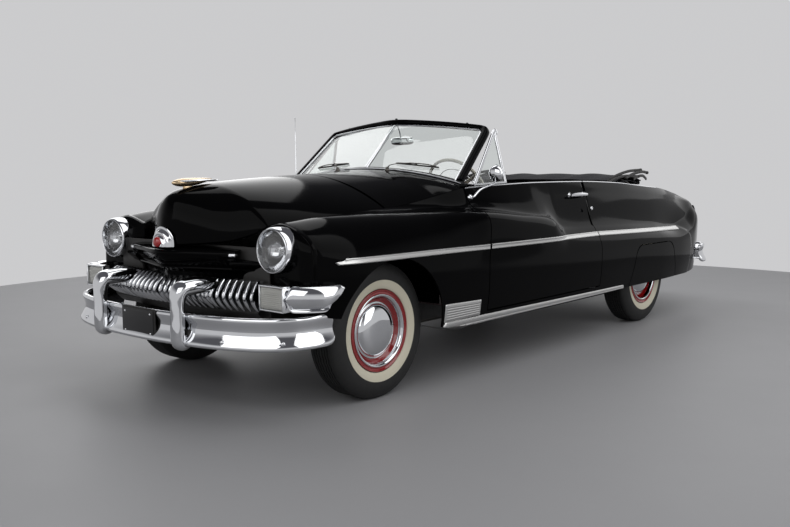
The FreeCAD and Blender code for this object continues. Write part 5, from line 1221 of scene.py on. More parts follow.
@dataclass
class Wheel:
    """One road wheel: tyre with its whitewall, enamelled rim, trim ring and hubcap."""

    side: int
    word: str
    axle_y: float
    track: float
    radius: float = 350.0
    whitewall: tuple[float, float] = (214.0, 264.0)
    ring: tuple[float, float] = (170.0, 187.0)
    cap: float = 147.0
    grooves: tuple[float, ...] = (-45.0, -28.0, -10.0, 10.0, 28.0, 45.0)
    blocks: int = 48

    def body(self) -> str:
        """The body the wheel turns with."""
        return f"{self.word}_wheel"

    def add(self, name: str, part: tuple[np.ndarray, list], finish: Finish, stands_for: tuple[str, ...] = (),
            slot: str | None = None, sharp: float = 35) -> None:
        """Place a piece modelled about the wheel's centre, with +X outward.

        Args:
            name: the piece's name after the wheel's.
            part: points and faces.
            finish: its finish.
            stands_for: CAD nodes it replaces.
            slot: material slot.
            sharp: angle above which edges shade sharp.
        """
        verts, faces = np.asarray(part[0]), part[1]
        if self.side == RIGHT:
            verts, faces = mirrored(verts), flipped(faces)
        verts = verts + (self.side * self.track / 2, self.axle_y, self.radius)
        piece(f"{self.word}_{name}", verts, faces, finish, self.body(), sharp, stands_for, slot)

    def sidewall(self, count: int) -> np.ndarray:
        """The tyre's outer side as a number of (radius, x) points from bead to tread.

        Args:
            count: how many points.

        Returns:
            The points.
        """
        points = [(197, 64), (206, 74), (214, 82), (228, 89), (250, 94), (275, 95.5), (300, 93.5), (322, 87), (338, 78),
                  (346.5, 69), (349.4, 60)]
        return curve_through(points, count)

    def tyre(self) -> None:
        """The tyre: sidewalls and a tread with wavy grooves."""
        out = self.sidewall(17)
        tread = []
        for place in self.grooves:
            tread += [(349.8, place + 4.4), (349.0, place + 3.4), (342.5, place + 2.8), (342.5, place - 2.8),
                      (349.0, place - 3.4), (349.8, place - 4.4)]
        tread = sorted(tread, key=lambda p: -p[1])
        inner = [(r, -x) for r, x in self.sidewall(10)[::-1]]
        verts, faces = revolve(np.array([*out, *tread, *inner, (196, -40), (193, 0), (196, 40)]), 3 * self.blocks,
                               close=True)
        around = np.arctan2(verts[:, 2], verts[:, 1])
        reach = np.hypot(verts[:, 1], verts[:, 2])
        verts[:, 0] += np.where((reach > 341) & (np.abs(verts[:, 0]) < 55), 2.6 * np.sin(self.blocks * around), 0)
        stands = (f"{self.word}_tyre",)
        self.add("tyre_carcass", (verts, flipped(faces)), RUBBER, stands, "tyre")

    def white(self) -> None:
        """The cream band vulcanised on the outer sidewall."""
        wall = self.sidewall(44)
        low, high = self.whitewall
        band = wall[(wall[:, 0] > low) & (wall[:, 0] < high)]
        front = [(band[0][0] - 1, band[0][1] - 1.5)] + [(r, x + 0.9)
                                                        for r, x in band] + [(band[-1][0] + 1, band[-1][1] - 1)]
        verts, faces = revolve(front, 3 * self.blocks)
        self.add("whitewall", (verts, flipped(faces)), WHITEWALL, (), "tyre", 60)

    def rim(self) -> None:
        """The enamelled rim and dished centre."""
        front = [(36, 44), (60, 44), (100, 46), (128, 48), (140, 45), (150, 43), (158, 47), (166, 58), (176, 70),
                 (186, 79), (192, 80), (197, 79), (201, 80.5), (204, 84), (207.5, 86.5), (210.5, 85), (211, 80),
                 (209, 75), (200, 73)]
        back = [(193, 64), (190, 40), (176, 30), (174, -20), (190, -40), (193, -70), (200, -73), (209, -76), (211, -81),
                (208, -84), (203, -82), (197, -78), (188, -74), (185, -44), (169, -22), (168, 22), (150, 34), (100, 38),
                (36, 38)]
        dense = np.vstack([curve_through(front, 42), back])
        verts, faces = revolve(dense, 96, close=True)
        self.add("rim_enamel", (verts, flipped(faces)), WHEEL_RED, (f"{self.word}_wheel",), "wheel_red", 50)

    def cap_and_ring(self) -> None:
        """The chrome trim ring and the domed hubcap with its stepped edge."""
        low, high = self.ring
        ring = [(high, 80), (high + 1, 83), (high - 1, 85.5), (high - 5, 86), (high - 10, 83), (high - 15, 76),
                (low + 1, 69), (low - 1, 63), (low + 1, 60), (low + 8, 64), (high - 6, 76)]
        verts, faces = revolve(curve_through(ring, 36, closed=True), 108, close=True)
        self.add("trim_ring", (verts, flipped(faces)), CHROME, (), "chrome", 60)
        edge = self.cap
        dome = [(edge - 1, 44), (edge + 0.5, 47), (edge - 1, 50), (edge - 6, 51.5), (edge - 9, 51), (edge - 10, 54),
                (edge - 13, 59), (edge - 20, 67), (edge - 36, 76.5), (edge - 60, 83.5), (edge - 90, 87.5),
                (edge - 120, 88.8), (0.05, 89)]
        verts, faces = revolve(curve_through(dome, 46), 108)
        self.add("hubcap_dome", (verts, flipped(faces)), CHROME, (f"{self.word}_hubcap",), "chrome", 60)

    def build(self) -> None:
        """Make the wheel."""
        self.tyre()
        self.white()
        self.rim()
        self.cap_and_ring()


@dataclass
class Bumper:
    """A bumper bar with rolled top, hollow band and flared lip, and its guards."""

    name: str
    plan: tuple[tuple[float, float], ...]
    low: float
    facing: int
    guard_x: float
    node: str
    guard_path: tuple[tuple[float, float, float], ...]

    PROFILE = ((-5, 138), (0, 141), (7, 142), (14, 140), (19, 135), (21, 127), (20, 118), (16, 106), (12, 94), (10, 82),
               (11, 70), (15, 57), (22, 43), (29, 31), (35, 21), (37, 13), (36, 6), (31, 1.5), (24, 0), (20, 2))

    def section(self) -> np.ndarray:
        """Closed ring of (outward, up) points: the pressed front and its back 3 mm behind.

        Returns:
            The ring's points.
        """
        front = curve_through(self.PROFILE, 38)
        turn = np.gradient(front, axis=0)
        normal = np.column_stack([-turn[:, 1], turn[:, 0]])
        normal /= np.linalg.norm(normal, axis=1)[:, None]
        return np.vstack([front, (front - normal * 3.2 * np.sign(normal[len(front) // 2, 0]))[::-1]])

    def path(self) -> np.ndarray:
        """The bar's middle line in plan, from the right side round to the left.

        Returns:
            The line's (x, y) points.
        """
        half = np.array(self.plan, float)
        full = np.vstack([half[::-1] * (-1, 1), half[1:]])
        return curve_through(full, 108)

    def bar(self) -> tuple[np.ndarray, list]:
        """The bar itself, its ends drawn in to a rounded corner.

        Returns:
            The points and faces.
        """
        path, ring = self.path(), self.section()
        heading = np.gradient(path, axis=0)
        heading /= np.linalg.norm(heading, axis=1)[:, None]
        outward = np.column_stack([heading[:, 1], -heading[:, 0]]) * (1 if self.facing < 0 else -1)
        run = np.concatenate([[0], np.cumsum(np.linalg.norm(np.diff(path, axis=0), axis=1))])
        ends = np.minimum(run, run[-1] - run)
        trim = np.sqrt(np.clip(1 - (1 - np.clip(ends / 70, 0, 1)) ** 2, 0.02, 1))
        verts = []
        for point, out, share in zip(path, outward, trim):
            z = self.low + 76 + (ring[:, 1] - 71) * 1.08 * (0.62 + 0.38 * share)
            reach = ring[:, 0] * (0.55 + 0.45 * share)
            verts.append(np.column_stack([point[0] + out[0] * reach, point[1] + out[1] * reach, z]))
        n = len(ring)
        verts = np.vstack(verts)
        faces = grid_faces(len(path), n, close_columns=True)
        faces += [list(range(n))[::-1], [len(verts) - n + i for i in range(n)]]
        return verts, faces if self.facing < 0 else flipped(faces)

    def guard(self, x: float) -> tuple[np.ndarray, list]:
        """One guard: an upright post that tucks under the bar and turns back at its bulbous top.

        Args:
            x: its place across the car.

        Returns:
            The points and faces.
        """
        data = curve_through(self.guard_path, 44)
        path = np.column_stack([np.full(len(data), x), data[:, 0], data[:, 1]])
        ring = superellipse(29, 43, 2.6, 32)
        scales = np.column_stack([np.clip(data[:, 2] * 1.05, 0.3, 1.4), np.clip(data[:, 2], 0.3, 1.35)])
        return sweep(ring, path, scales, up=(1, 0, 0))

    def bolts(self) -> tuple[np.ndarray, list]:
        """Round bolt heads on the flared lip.

        Returns:
            The points and faces.
        """
        heads = []
        path = self.path()
        heading = np.gradient(path, axis=0)
        for x in (-800, -570, 570, 800):
            k = np.abs(path[:, 0] - x).argmin()
            run = heading[k] / np.linalg.norm(heading[k])
            out = np.array([run[1], -run[0]]) * (1 if self.facing < 0 else -1)
            spot = path[k] + out * 28
            head = dome_bolt((0, 0, 0), 10, 7)
            turn = rotation(math.degrees(math.atan2(out[0], -out[1])), "Z")
            heads.append(placed(head, (spot[0], spot[1], self.low + 36), turn))
        return merged(heads)

    def build(self) -> None:
        """Make the bar, guards and irons."""
        piece(f"{self.name}_bar", *self.bar(), CHROME, "body", 30, (self.node,), "chrome")
        piece(f"{self.name}_bolts", *self.bolts(), CHROME, "body", 50, (), "chrome")
        for side, word in SIDES:
            piece(f"{self.name}_{word}_guard", *self.guard(side * self.guard_x), CHROME, "body", 60, (), "chrome")
            axle = FRONT_AXLE if self.facing < 0 else REAR_AXLE
            start = axle - 842 if self.facing < 0 else axle + 1062
            end = axle - 600 if self.facing < 0 else axle + 1344
            at = 360 if self.facing < 0 else 480
            low, high = (side * at - 17, start, 382), (side * at + 17, end, 424)
            piece(f"{self.name}_{word}_iron", *block(low, high, 4), CHASSIS_PAINT, "body", 40, (), "chassis_black")


@dataclass
class NumberPlate:
    """A blank plate in a dark holder on the front bumper, between the guards."""

    centre: Point = (8.0, FRONT_AXLE - 872, 426.0)
    width: float = 130.0
    height: float = 66.0

    def build(self) -> None:
        """Make the holder, the blank plate and its four screws."""
        x, y, z = self.centre
        w, h = self.width, self.height
        holder = block((x - w - 9, y, z - h - 9), (x + w + 9, y + 9, z + h + 9), 4)
        piece("plate_holder", *holder, CHASSIS_PAINT, "body", 40, (), "chassis_black")
        sheet_metal = block((x - w, y - 4, z - h), (x + w, y + 1, z + h), 2)
        rib = [block((x - w + 7, y - 6, z - h + 6), (x + w - 7, y - 3, z - h + 10), 1.5),
               block((x - w + 7, y - 6, z + h - 10), (x + w - 7, y - 3, z + h - 6), 1.5)]
        piece("plate_blank", *merged([sheet_metal, *rib]), PLATE, "body", 40, (), "chrome")
        heads = [dome_bolt((x + sx * (w - 24), y - 3.5, z + sz * (h - 18)), 6, 3.5) for sx in (-1, 1) for sz in (-1, 1)]
        piece("plate_screws", *merged(heads), CHROME, "body", 50, (), "chrome")


@dataclass
class Grille:
    """Bowed chrome teeth, the wide blades behind the guards, the parking lamps and the chrome wings."""

    low: float = 498.0
    high: float = 644.0
    bow_radius: float = 2400.0
    pitch: float = 40.0
    teeth: int = 15
    blade_index: int = 8
    lamp_inner: float = HALF_WIDTH - 302
    lamp_outer: float = HALF_WIDTH - 135

    def tooth(self, index: int) -> tuple[np.ndarray, list]:
        """One tooth: an upright blade bowed forward, its flanks hollow and its nose rounded.

        Args:
            index: its place, counted from the middle.

        Returns:
            The points and faces.
        """
        wide = abs(index) == self.blade_index
        turn = index * self.pitch / self.bow_radius
        rise = np.linspace(0, 1, 15)
        lean = 12.0 * (1 if index >= 0 else -1)
        bow = -66 * (1 - np.abs(2 * rise - 1) ** 1.7)
        z = self.low + (self.high - self.low) * rise
        path = np.column_stack([lean * (np.sin(np.pi * rise) - 0.5) * 0.6, bow, z])
        half = 24.0 if wide else 10.0
        nose = [(-half, 46), (-half, 18), (-half * 0.86, 4), (-half * 0.5, -4), (0, -7), (half * 0.5, -4),
                (half * 0.86, 4), (half, 18), (half, 46)]
        ring = curve_through(nose, 15)
        verts = []
        for p, t in zip(path, rise):
            share = 0.62 + 0.38 * math.sin(math.pi * t) ** 0.5
            verts.append(np.column_stack([p[0] + ring[:, 0] * share, p[1] + ring[:, 1], np.full(len(ring), p[2])]))
        grid = np.array(verts)
        c, s = math.cos(turn), math.sin(turn)
        x, y = grid[..., 0], grid[..., 1]
        centre_y = FRONT_AXLE - 672 + self.bow_radius * (1 - c)
        grid = np.stack([x * c - y * s + self.bow_radius * s, x * s + y * c + centre_y, grid[..., 2]], -1)
        return plate(grid[:, ::-1], 2.5)

    def wing(self) -> tuple[np.ndarray, list]:
        """The left chrome wing: it starts at the parking lamp and wraps the fender up to the wheel opening.

        Returns:
            The points and faces.
        """
        plan = curve_through([(826, -622), (868, -594), (906, -552), (934, -500), (948, -446), (954, -385)], 40)
        last = len(plan) - 1
        rows = []
        back = 46.0
        for k, (x, y) in enumerate(plan):
            s = k / last
            end = np.clip((s - 0.62) / 0.38, 0, 1)
            near = math.sqrt(max(0.04, 1 - (1 - min(1.0, s / 0.14)) ** 2))
            top = 580 + (60 - 4 * s - 12 * max(0, end - 0.8) / 0.2) * near
            bottom = 580 - (58 - 30 * end**2) * near
            v = np.linspace(0, 1, 30)
            z = top + (bottom - top) * v
            lip = 9 * np.exp(-((v - 0.98) / 0.1) ** 2)
            out = 24 * np.sin(np.pi * np.clip(v * 1.2, 0, 1)) ** 0.6 * (1 - 0.4 * end) + lip
            heading = plan[min(k + 1, last)] - plan[max(k - 1, 0)]
            heading = heading / np.linalg.norm(heading)
            out, z = np.concatenate([[-back, -back / 2], out]), np.concatenate([[top - 6, top - 1], z])
            slant = 96 * np.concatenate([[0, 0], v]) * s**3
            rows.append(np.column_stack([x + heading[1] * out - 6, FRONT_AXLE + y - heading[0] * out - slant, z]))
        return plate(np.array(rows), 4)

    def parking_lamp(self) -> tuple[tuple[np.ndarray, list], tuple[np.ndarray, list]]:
        """The left parking lamp's chrome frame and its ribbed frosted lens.

        Returns:
            The frame's and the lens's points and faces.
        """
        inner, outer = self.lamp_inner, self.lamp_outer
        front, rear = FRONT_AXLE - 652, FRONT_AXLE - 606
        bars = [block((inner, front, 632), (outer, rear, 641), 3), block((inner, front, 520), (outer, rear, 529), 3),
                block((inner, front, 520), (inner + 9, rear, 641), 3),
                block((outer - 9, front, 520), (outer, rear, 641), 3)]
        u, v = np.meshgrid(np.linspace(0, 1, 30), np.linspace(0, 1, 46), indexing="ij")
        x = inner + 9 + u * (outer - inner - 18)
        z = 529 + v * 103
        bulge = 20 * (1 - (2 * v - 1) ** 4) ** 0.5 * (1 - (2 * u - 1) ** 8) ** 0.5
        y = front + 12 - bulge * 0.8 + 0.9 * np.cos(2 * np.pi * v * 12) + 10 * u**2
        lens = plate(np.stack([x, y, z], -1), 6)
        return merged(bars), lens

    def build(self) -> None:
        """Make the grille."""
        teeth = [self.tooth(k) for k in range(-self.teeth, self.teeth + 1)]
        piece("grille_teeth", *merged(teeth), CHROME, "body", 50, ("grille",), "chrome")
        frame_part, lens = self.parking_lamp()
        wing = self.wing()
        for side, word in SIDES:
            for name, part, finish, stands, slot in (
                ("grille_wing", wing, CHROME, ("grille_wings",), "chrome"),
                ("parking_lamp_frame", frame_part, CHROME, (), "chrome"),
                ("parking_lamp_lens", lens, FROSTED, ("headlight_lenses",), "glass"),
            ):
                verts, faces = part
                if side == RIGHT:
                    verts, faces = mirrored(verts), flipped(faces)
                piece(f"{word}_{name}", verts, faces, finish, "body", 45, stands, slot)


@dataclass
class Headlight:
    """A headlight: deep chrome bezel, fluted lens, bowl reflector and bulb."""

    side: int
    word: str
    x: float = 666.0
    y: float = FRONT_AXLE - 538
    z: float = 791.0
    bezel: float = 112.0
    lens: float = 97.0

    def build(self) -> None:
        """Make the headlight's pieces."""
        centre = (self.side * self.x, self.y, self.z)
        b, g = self.bezel, self.lens
        ring = [(b - 3, -46), (b - 1, -36), (b, -8), (b, 12), (b - 2, 28), (b - 5, 36), (b - 9, 40), (b - 12, 38),
                (g + 1, 28), (g - 1, 16), (g - 2, 8), (g + 3, 4), (g + 6, -14), (g + 6, -44)]
        verts, faces = revolve(curve_through(ring, 50, closed=True), 108, close=True)
        piece(f"{self.word}_headlight_bezel", *about_y((verts, faces), centre), CHROME, "body", 60,
              ("headlight_bezels",), "chrome")
        r = np.linspace(0.02, 1, 23)
        dome = [(g * v, 14 + 15 * (1 - v**2)) for v in r][::-1]
        verts, faces = revolve(dome, 180)
        reach = np.hypot(verts[:, 1], verts[:, 2])
        inside = np.clip((g - 8 - reach) / 10, 0, 1)
        flute = 1.0 * np.abs(np.sin(verts[:, 1] * math.pi / 9)) + 0.5 * np.cos(verts[:, 2] * math.pi / 22)
        verts[:, 0] += flute * inside
        piece(f"{self.word}_headlight_lens", *about_y((verts, faces), centre), LAMP_GLASS, "body", 60,
              ("headlight_lenses",), "glass")
        bowl = [(g * v, 10 - 62 * (1 - v**2)) for v in np.linspace(0.12, 1, 15)]
        verts, faces = revolve(bowl, 72)
        piece(f"{self.word}_headlight_reflector", *about_y((verts, faces), centre), CHROME, "body", 60, (), "chrome")
        bulb = [(0.05, -6), (6, -8), (9, -14), (9.5, -22), (8, -32), (10, -38), (13, -50)]
        verts, faces = revolve(curve_through(bulb, 24), 32)
        piece(f"{self.word}_headlight_bulb", *about_y((verts, faces), centre), LAMP_GLASS, "body", 60, (), "glass")


# ------------------------------------------------------------------ body fittings
def both(name: str, part: tuple[np.ndarray, list], finish: Finish, body: str, slot: str, sharp: float = 45,
         stands_for: tuple[str, ...] = ()) -> None:
    """Place a left-hand part and its mirror image on the right.

    Args:
        name: the pieces' name after left_ or right_.
        part: points and faces of the left one.
        finish: its finish.
        body: the body it rides on, with {} where left or right stands.
        slot: material slot.
        sharp: angle above which edges shade sharp.
        stands_for: CAD nodes it replaces, with {} where left or right stands.
    """
    for side, word in SIDES:
        verts, faces = part
        if side == RIGHT:
            verts, faces = mirrored(verts), flipped(faces)
        nodes = tuple(node.format(word) for node in stands_for)
        piece(f"{word}_{name}", verts, faces, finish, body.format(word), sharp, nodes, slot)


def on_skin(y: np.ndarray, z: np.ndarray, out: np.ndarray) -> np.ndarray:
    """Points a distance outside the body's left side at given places and heights.

    Args:
        y: places along the car.
        z: heights.
        out: distances outside the surface.

    Returns:
        The points.
    """
    y, z = np.broadcast_arrays(np.asarray(y, float), np.asarray(z, float))
    here = FORM.side_at(y, z)
    up, back = FORM.side_at(y, z + 4), FORM.side_at(y + 6, z)
    normal = np.cross(back - here, up - here)
    normal /= np.linalg.norm(normal, axis=-1)[..., None]
    return here + normal * np.asarray(out)[..., None]


@dataclass
class Strip:
    """A moulding that follows the body's left side."""

    name: str
    y: tuple[float, float]
    low: tuple[float, float]
    high: tuple[float, float]
    shape: tuple[tuple[float, float], ...]
    body: str = "body"
    round_front: float = 0.0
    round_rear: float = 0.0
    slant: float = 0.0

    def build(self, finish: Finish, slot: str, stands_for: tuple[str, ...] = ()) -> None:
        """Make the left moulding and its mirror image.

        Args:
            finish: its finish.
            slot: material slot.
            stands_for: CAD nodes it replaces.
        """
        rows = max(8, round((self.y[1] - self.y[0]) / 14))
        shape = np.array(self.shape, float)
        u = np.linspace(0, 1, rows)[:, None]
        low = self.low[0] + (self.low[1] - self.low[0]) * u
        high = self.high[0] + (self.high[1] - self.high[0]) * u
        y = self.y[0] + (self.y[1] - self.y[0]) * u
        near = np.ones_like(u)
        for reach, gap in ((self.round_front, y - self.y[0]), (self.round_rear, self.y[1] - y)):
            if reach:
                near = np.minimum(near, np.sqrt(np.clip(1 - (1 - np.clip(gap / reach, 0, 1)) ** 2, 0.01, 1)))
        middle, half = (low + high) / 2, (high - low) / 2 * near
        z = middle + half * (1 - 2 * shape[None, :, 0])
        out = np.maximum(shape[None, :, 1] * (0.3 + 0.7 * near), 0.2) + 0 * z
        tip = np.clip(1 - (y - self.y[0]) / 160, 0, 1)
        grid = on_skin(y + self.slant * tip * (1 - shape[None, :, 0]), z, out)
        both(self.name, plate(grid, 2.0), finish, self.body, slot, 50, stands_for)


SPEAR = ((0, 0.4), (0.02, 4.2), (0.07, 6.4), (0.16, 6.8), (0.24, 5.0), (0.3, 4.6), (0.7, 5.2), (0.76, 5.6), (0.84, 7.0),
         (0.93, 6.6), (0.98, 4.2), (1, 0.4))
SILL = ((0, 0.4), (0.03, 3.6), (0.1, 5.2), (0.5, 6.4), (0.62, 6.5), (0.66, 5.2), (0.7, 5.0), (0.74, 7.0), (0.86, 7.8),
        (0.95, 6.6), (1, 0.6))


@dataclass
class SideTrim:
    """Satin mouldings along the sides, the sill mouldings and the gravel shields."""

    front: float = FRONT_AXLE - 396
    door_front: float = FRONT_AXLE + 790
    door_rear: float = FRONT_AXLE + 2120
    rear: float = REAR_AXLE + 560

    def shield(self) -> tuple[np.ndarray, list]:
        """The left gravel shield behind the front wheel, pressed with level ribs.

        Returns:
            The points and faces.
        """
        u, v = np.meshgrid(np.linspace(0, 1, 40), np.linspace(0, 1, 57), indexing="ij")
        y = FRONT_AXLE + 388 + 328 * u
        z = 447 - 10 * u - v * (98 - 14 * u)
        edge = np.minimum(np.minimum(u, 1 - u) / 0.03, np.minimum(v, 1 - v) / 0.09)
        ribs = 1.3 * np.cos(2 * np.pi * v * 7) * np.clip((edge - 1) * 1.2, 0, 1)
        out = 5.6 * np.sqrt(np.clip(1 - (1 - np.clip(edge, 0, 1)) ** 2, 0.02, 1)) + ribs
        return plate(on_skin(y, z, out), 2.0)

    def build(self) -> None:
        """Make the mouldings."""
        Strip("fender_spear", (self.front, self.door_front - 14), (724, 718), (751, 745), SPEAR, round_front=14,
              slant=46.0).build(
            SATIN, "satin_trim", ("side_mouldings",))
        Strip("door_spear", (self.door_front + 4, self.door_rear - 6), (718, 706), (745, 733), SPEAR,
              "{}_door").build(SATIN, "satin_trim", ("{}_door_trim",))
        Strip("quarter_spear", (self.door_rear + 4, self.rear), (706, 666), (733, 693), SPEAR, round_rear=22).build(
            SATIN, "satin_trim")
        Strip("sill_moulding", (FRONT_AXLE + 386, REAR_AXLE - 500), (304, 313), (348, 334), SILL, round_front=6,
              round_rear=6).build(SATIN, "satin_trim")
        both("gravel_shield", self.shield(), SATIN, "body", "satin_trim", 60)


@dataclass
class Nose:
    """The prow between the fenders: its ledge, the recess over the grille, the end caps and the emblem."""

    tip: float = FRONT_AXLE - 743
    slope: float = 0.363
    half: float = 430.0
    profile: tuple[tuple[float, float], ...] = (
        (-190, 800), (-120, 797), (-60, 792), (-25, 788), (-9, 786), (-2, 781), (0, 773), (-4, 762), (-14, 742),
        (-27, 722), (-36, 712), (-38, 707), (-33, 702), (-34, 697), (-48, 692), (-60, 682), (-66, 664), (-70, 640),
    )
    step_profile: tuple[tuple[float, float], ...] = (
        (-150, 748), (-70, 746), (-20, 742), (-5, 738), (0, 730), (-5, 720), (-18, 706), (-22, 698), (-36, 690),
        (-48, 672), (-52, 640),
    )

    def swept(self, x: np.ndarray, out: np.ndarray, z: np.ndarray, tip: float, slope: float) -> np.ndarray:
        """Points a distance ahead of a line that is swept back either side of a rounded tip.

        Args:
            x: places across.
            out: distances ahead of the line.
            z: heights.
            tip: the line's foremost place.
            slope: how steeply it is swept back.

        Returns:
            The points.
        """
        reach = np.hypot(x, 45.0)
        turn = np.arctan(slope * x / reach)
        return np.stack([x + out * np.sin(turn), tip + slope * (reach - 45) - out * np.cos(turn), z], -1)

    def sheet_of(self, profile: Sequence, start: float, end: float, tip: float, slope: float,
                 cell: float = 16.0) -> tuple[np.ndarray, list]:
        """A sheet with one profile along the swept-back line.

        Args:
            profile: (ahead, height) points.
            start: its right end.
            end: its left end.
            tip: the line's foremost place.
            slope: how steeply it is swept back.
            cell: spacing of the points across.

        Returns:
            The points and faces.
        """
        section = curve_through(profile, 40)
        columns = max(20, round((end - start) / cell))
        a, s = np.meshgrid(np.linspace(start, end, columns), section[:, 0], indexing="ij")
        z = np.broadcast_to(section[:, 1] - 14, a.shape)
        return plate(self.swept(a, s, z, tip, slope), 3.0)

    def emblem(self) -> None:
        """The ribbed chrome shell with its red dome at the foot of the hood."""
        u, v = np.meshgrid(np.linspace(0, math.pi, 60), np.linspace(0.02, 1, 30), indexing="ij")
        x = 84 * v * np.cos(u)
        z = 788 + 98 * v * np.sin(u) ** 0.8
        ribs = 9 * np.abs(np.sin(3.5 * np.pi * v)) ** 1.5 * (v > 0.2)
        y = FRONT_AXLE - 732 + 0.08 * (z - 788) + 0.0024 * x**2 + 24 * v**3 - ribs
        piece("hood_shell_emblem", *plate(np.stack([x, y, z], -1), 4), CHROME, "hood", 60, (), "chrome")
        r = np.linspace(0, 1, 26)
        dome = [(27 * math.sin(a), 20 * math.cos(a)) for a in r * math.pi / 2][::-1]
        verts, faces = revolve([(max(p, 0.05), q) for p, q in dome], 48)
        turn = rotation(-6, "X")
        verts, faces = placed(about_y((verts, faces), (0, 0, 0)), (0, FRONT_AXLE - 738, 812), turn)
        piece("emblem_dome", verts, faces, RED_ENAMEL, "hood", 60, (), "red_glass")

    def build(self) -> None:
        """Make the nose."""
        prow = self.sheet_of(self.profile, -self.half, self.half, self.tip, self.slope)
        piece("prow", *prow, PAINT, "body", 40, ("nose_panel",), "body_paint")
        wings = [self.sheet_of(self.step_profile, *ends, self.tip + 10, self.slope)
                 for ends in ((396, 606), (-606, -396))]
        piece("prow_steps", *merged(wings), PAINT, "body", 40, (), "body_paint")
        apron = [(-30, 654), (-44, 614), (-50, 574), (-46, 534), (-30, 508), (-40, 494), (-70, 466)]
        piece("grille_backing", *self.sheet_of(apron, -600, 600, FRONT_AXLE - 690, 0.10, 40), CHASSIS_PAINT, "body", 40,
              (), "chassis_black")
        wall = block((-615, FRONT_AXLE - 545, 440), (615, FRONT_AXLE - 537, 796), 3)
        piece("radiator_wall", *wall, CHASSIS_PAINT, "body", 40, (), "chassis_black")
        caps = []
        for side in (1, -1):
            spot = self.swept(np.array(side * 418.0), np.array(-6.0), np.array(758.0), self.tip, self.slope)
            turn = rotation(side * math.degrees(math.atan(self.slope)), "Z")
            caps.append(placed(block((-20, -14, -8), (20, 14, 8), 6), spot, turn))
        piece("prow_caps", *merged(caps), CHROME, "body", 40, (), "chrome")
        self.emblem()


@dataclass
class Ornament:
    """The winged ornament on the hood's nose: gilt body, chrome wing tips."""

    def wing(self, side: int) -> tuple[np.ndarray, list]:
        """One swept wing.

        Args:
            side: 1 for the left wing, -1 for the right.

        Returns:
            The points and faces.
        """
        rows, around = 34, 28
        u, v = np.meshgrid(np.linspace(0, 1, rows), np.linspace(0, 2 * math.pi, around + 1)[:-1], indexing="ij")
        chord = 62 * (1 - 0.55 * u) * np.sqrt(np.clip(1 - (u - 0.02) ** 6, 0.05, 1))
        thick = 7.5 * (1 - 0.75 * u)
        x = side * (8 + 104 * u)
        y = FRONT_AXLE - 560 + 118 * u**1.2 + chord * np.cos(v)
        z = 1109 + 9 * u + thick * np.sin(v) + 2.2 * np.cos(v * 2 + 6 * u)
        verts = np.stack([x + 0 * v, y, z], -1).reshape(-1, 3)
        faces = grid_faces(rows, around, close_columns=True)
        faces += [list(range(around))[::-1], [(rows - 1) * around + k for k in range(around)]]
        return verts, faces if side < 0 else flipped(faces)

    def build(self) -> None:
        """Make the ornament."""
        stations = ((-640, 4, 5, 1104), (-626, 16, 12, 1104), (-604, 26, 18, 1104), (-575, 33, 21, 1105),
                    (-530, 37, 21, 1107), (-480, 33, 17, 1111), (-430, 20, 10, 1117), (-392, 3, 2, 1122))
        data = curve_through(stations, 50)
        path = np.column_stack([np.zeros(50), FRONT_AXLE + data[:, 0], data[:, 3]])
        body = sweep(circle(1, 32), path, np.maximum(data[:, 1:3], 0.5))
        foot = block((-9, FRONT_AXLE - 572, 1066), (9, FRONT_AXLE - 520, 1104), 6)
        piece("ornament_body", *merged([body, foot]), GOLD, "hood", 50, ("hood_ornament",), "chrome")
        piece("ornament_wings", *merged([self.wing(1), self.wing(-1)]), CHROME, "hood", 50, (), "chrome")


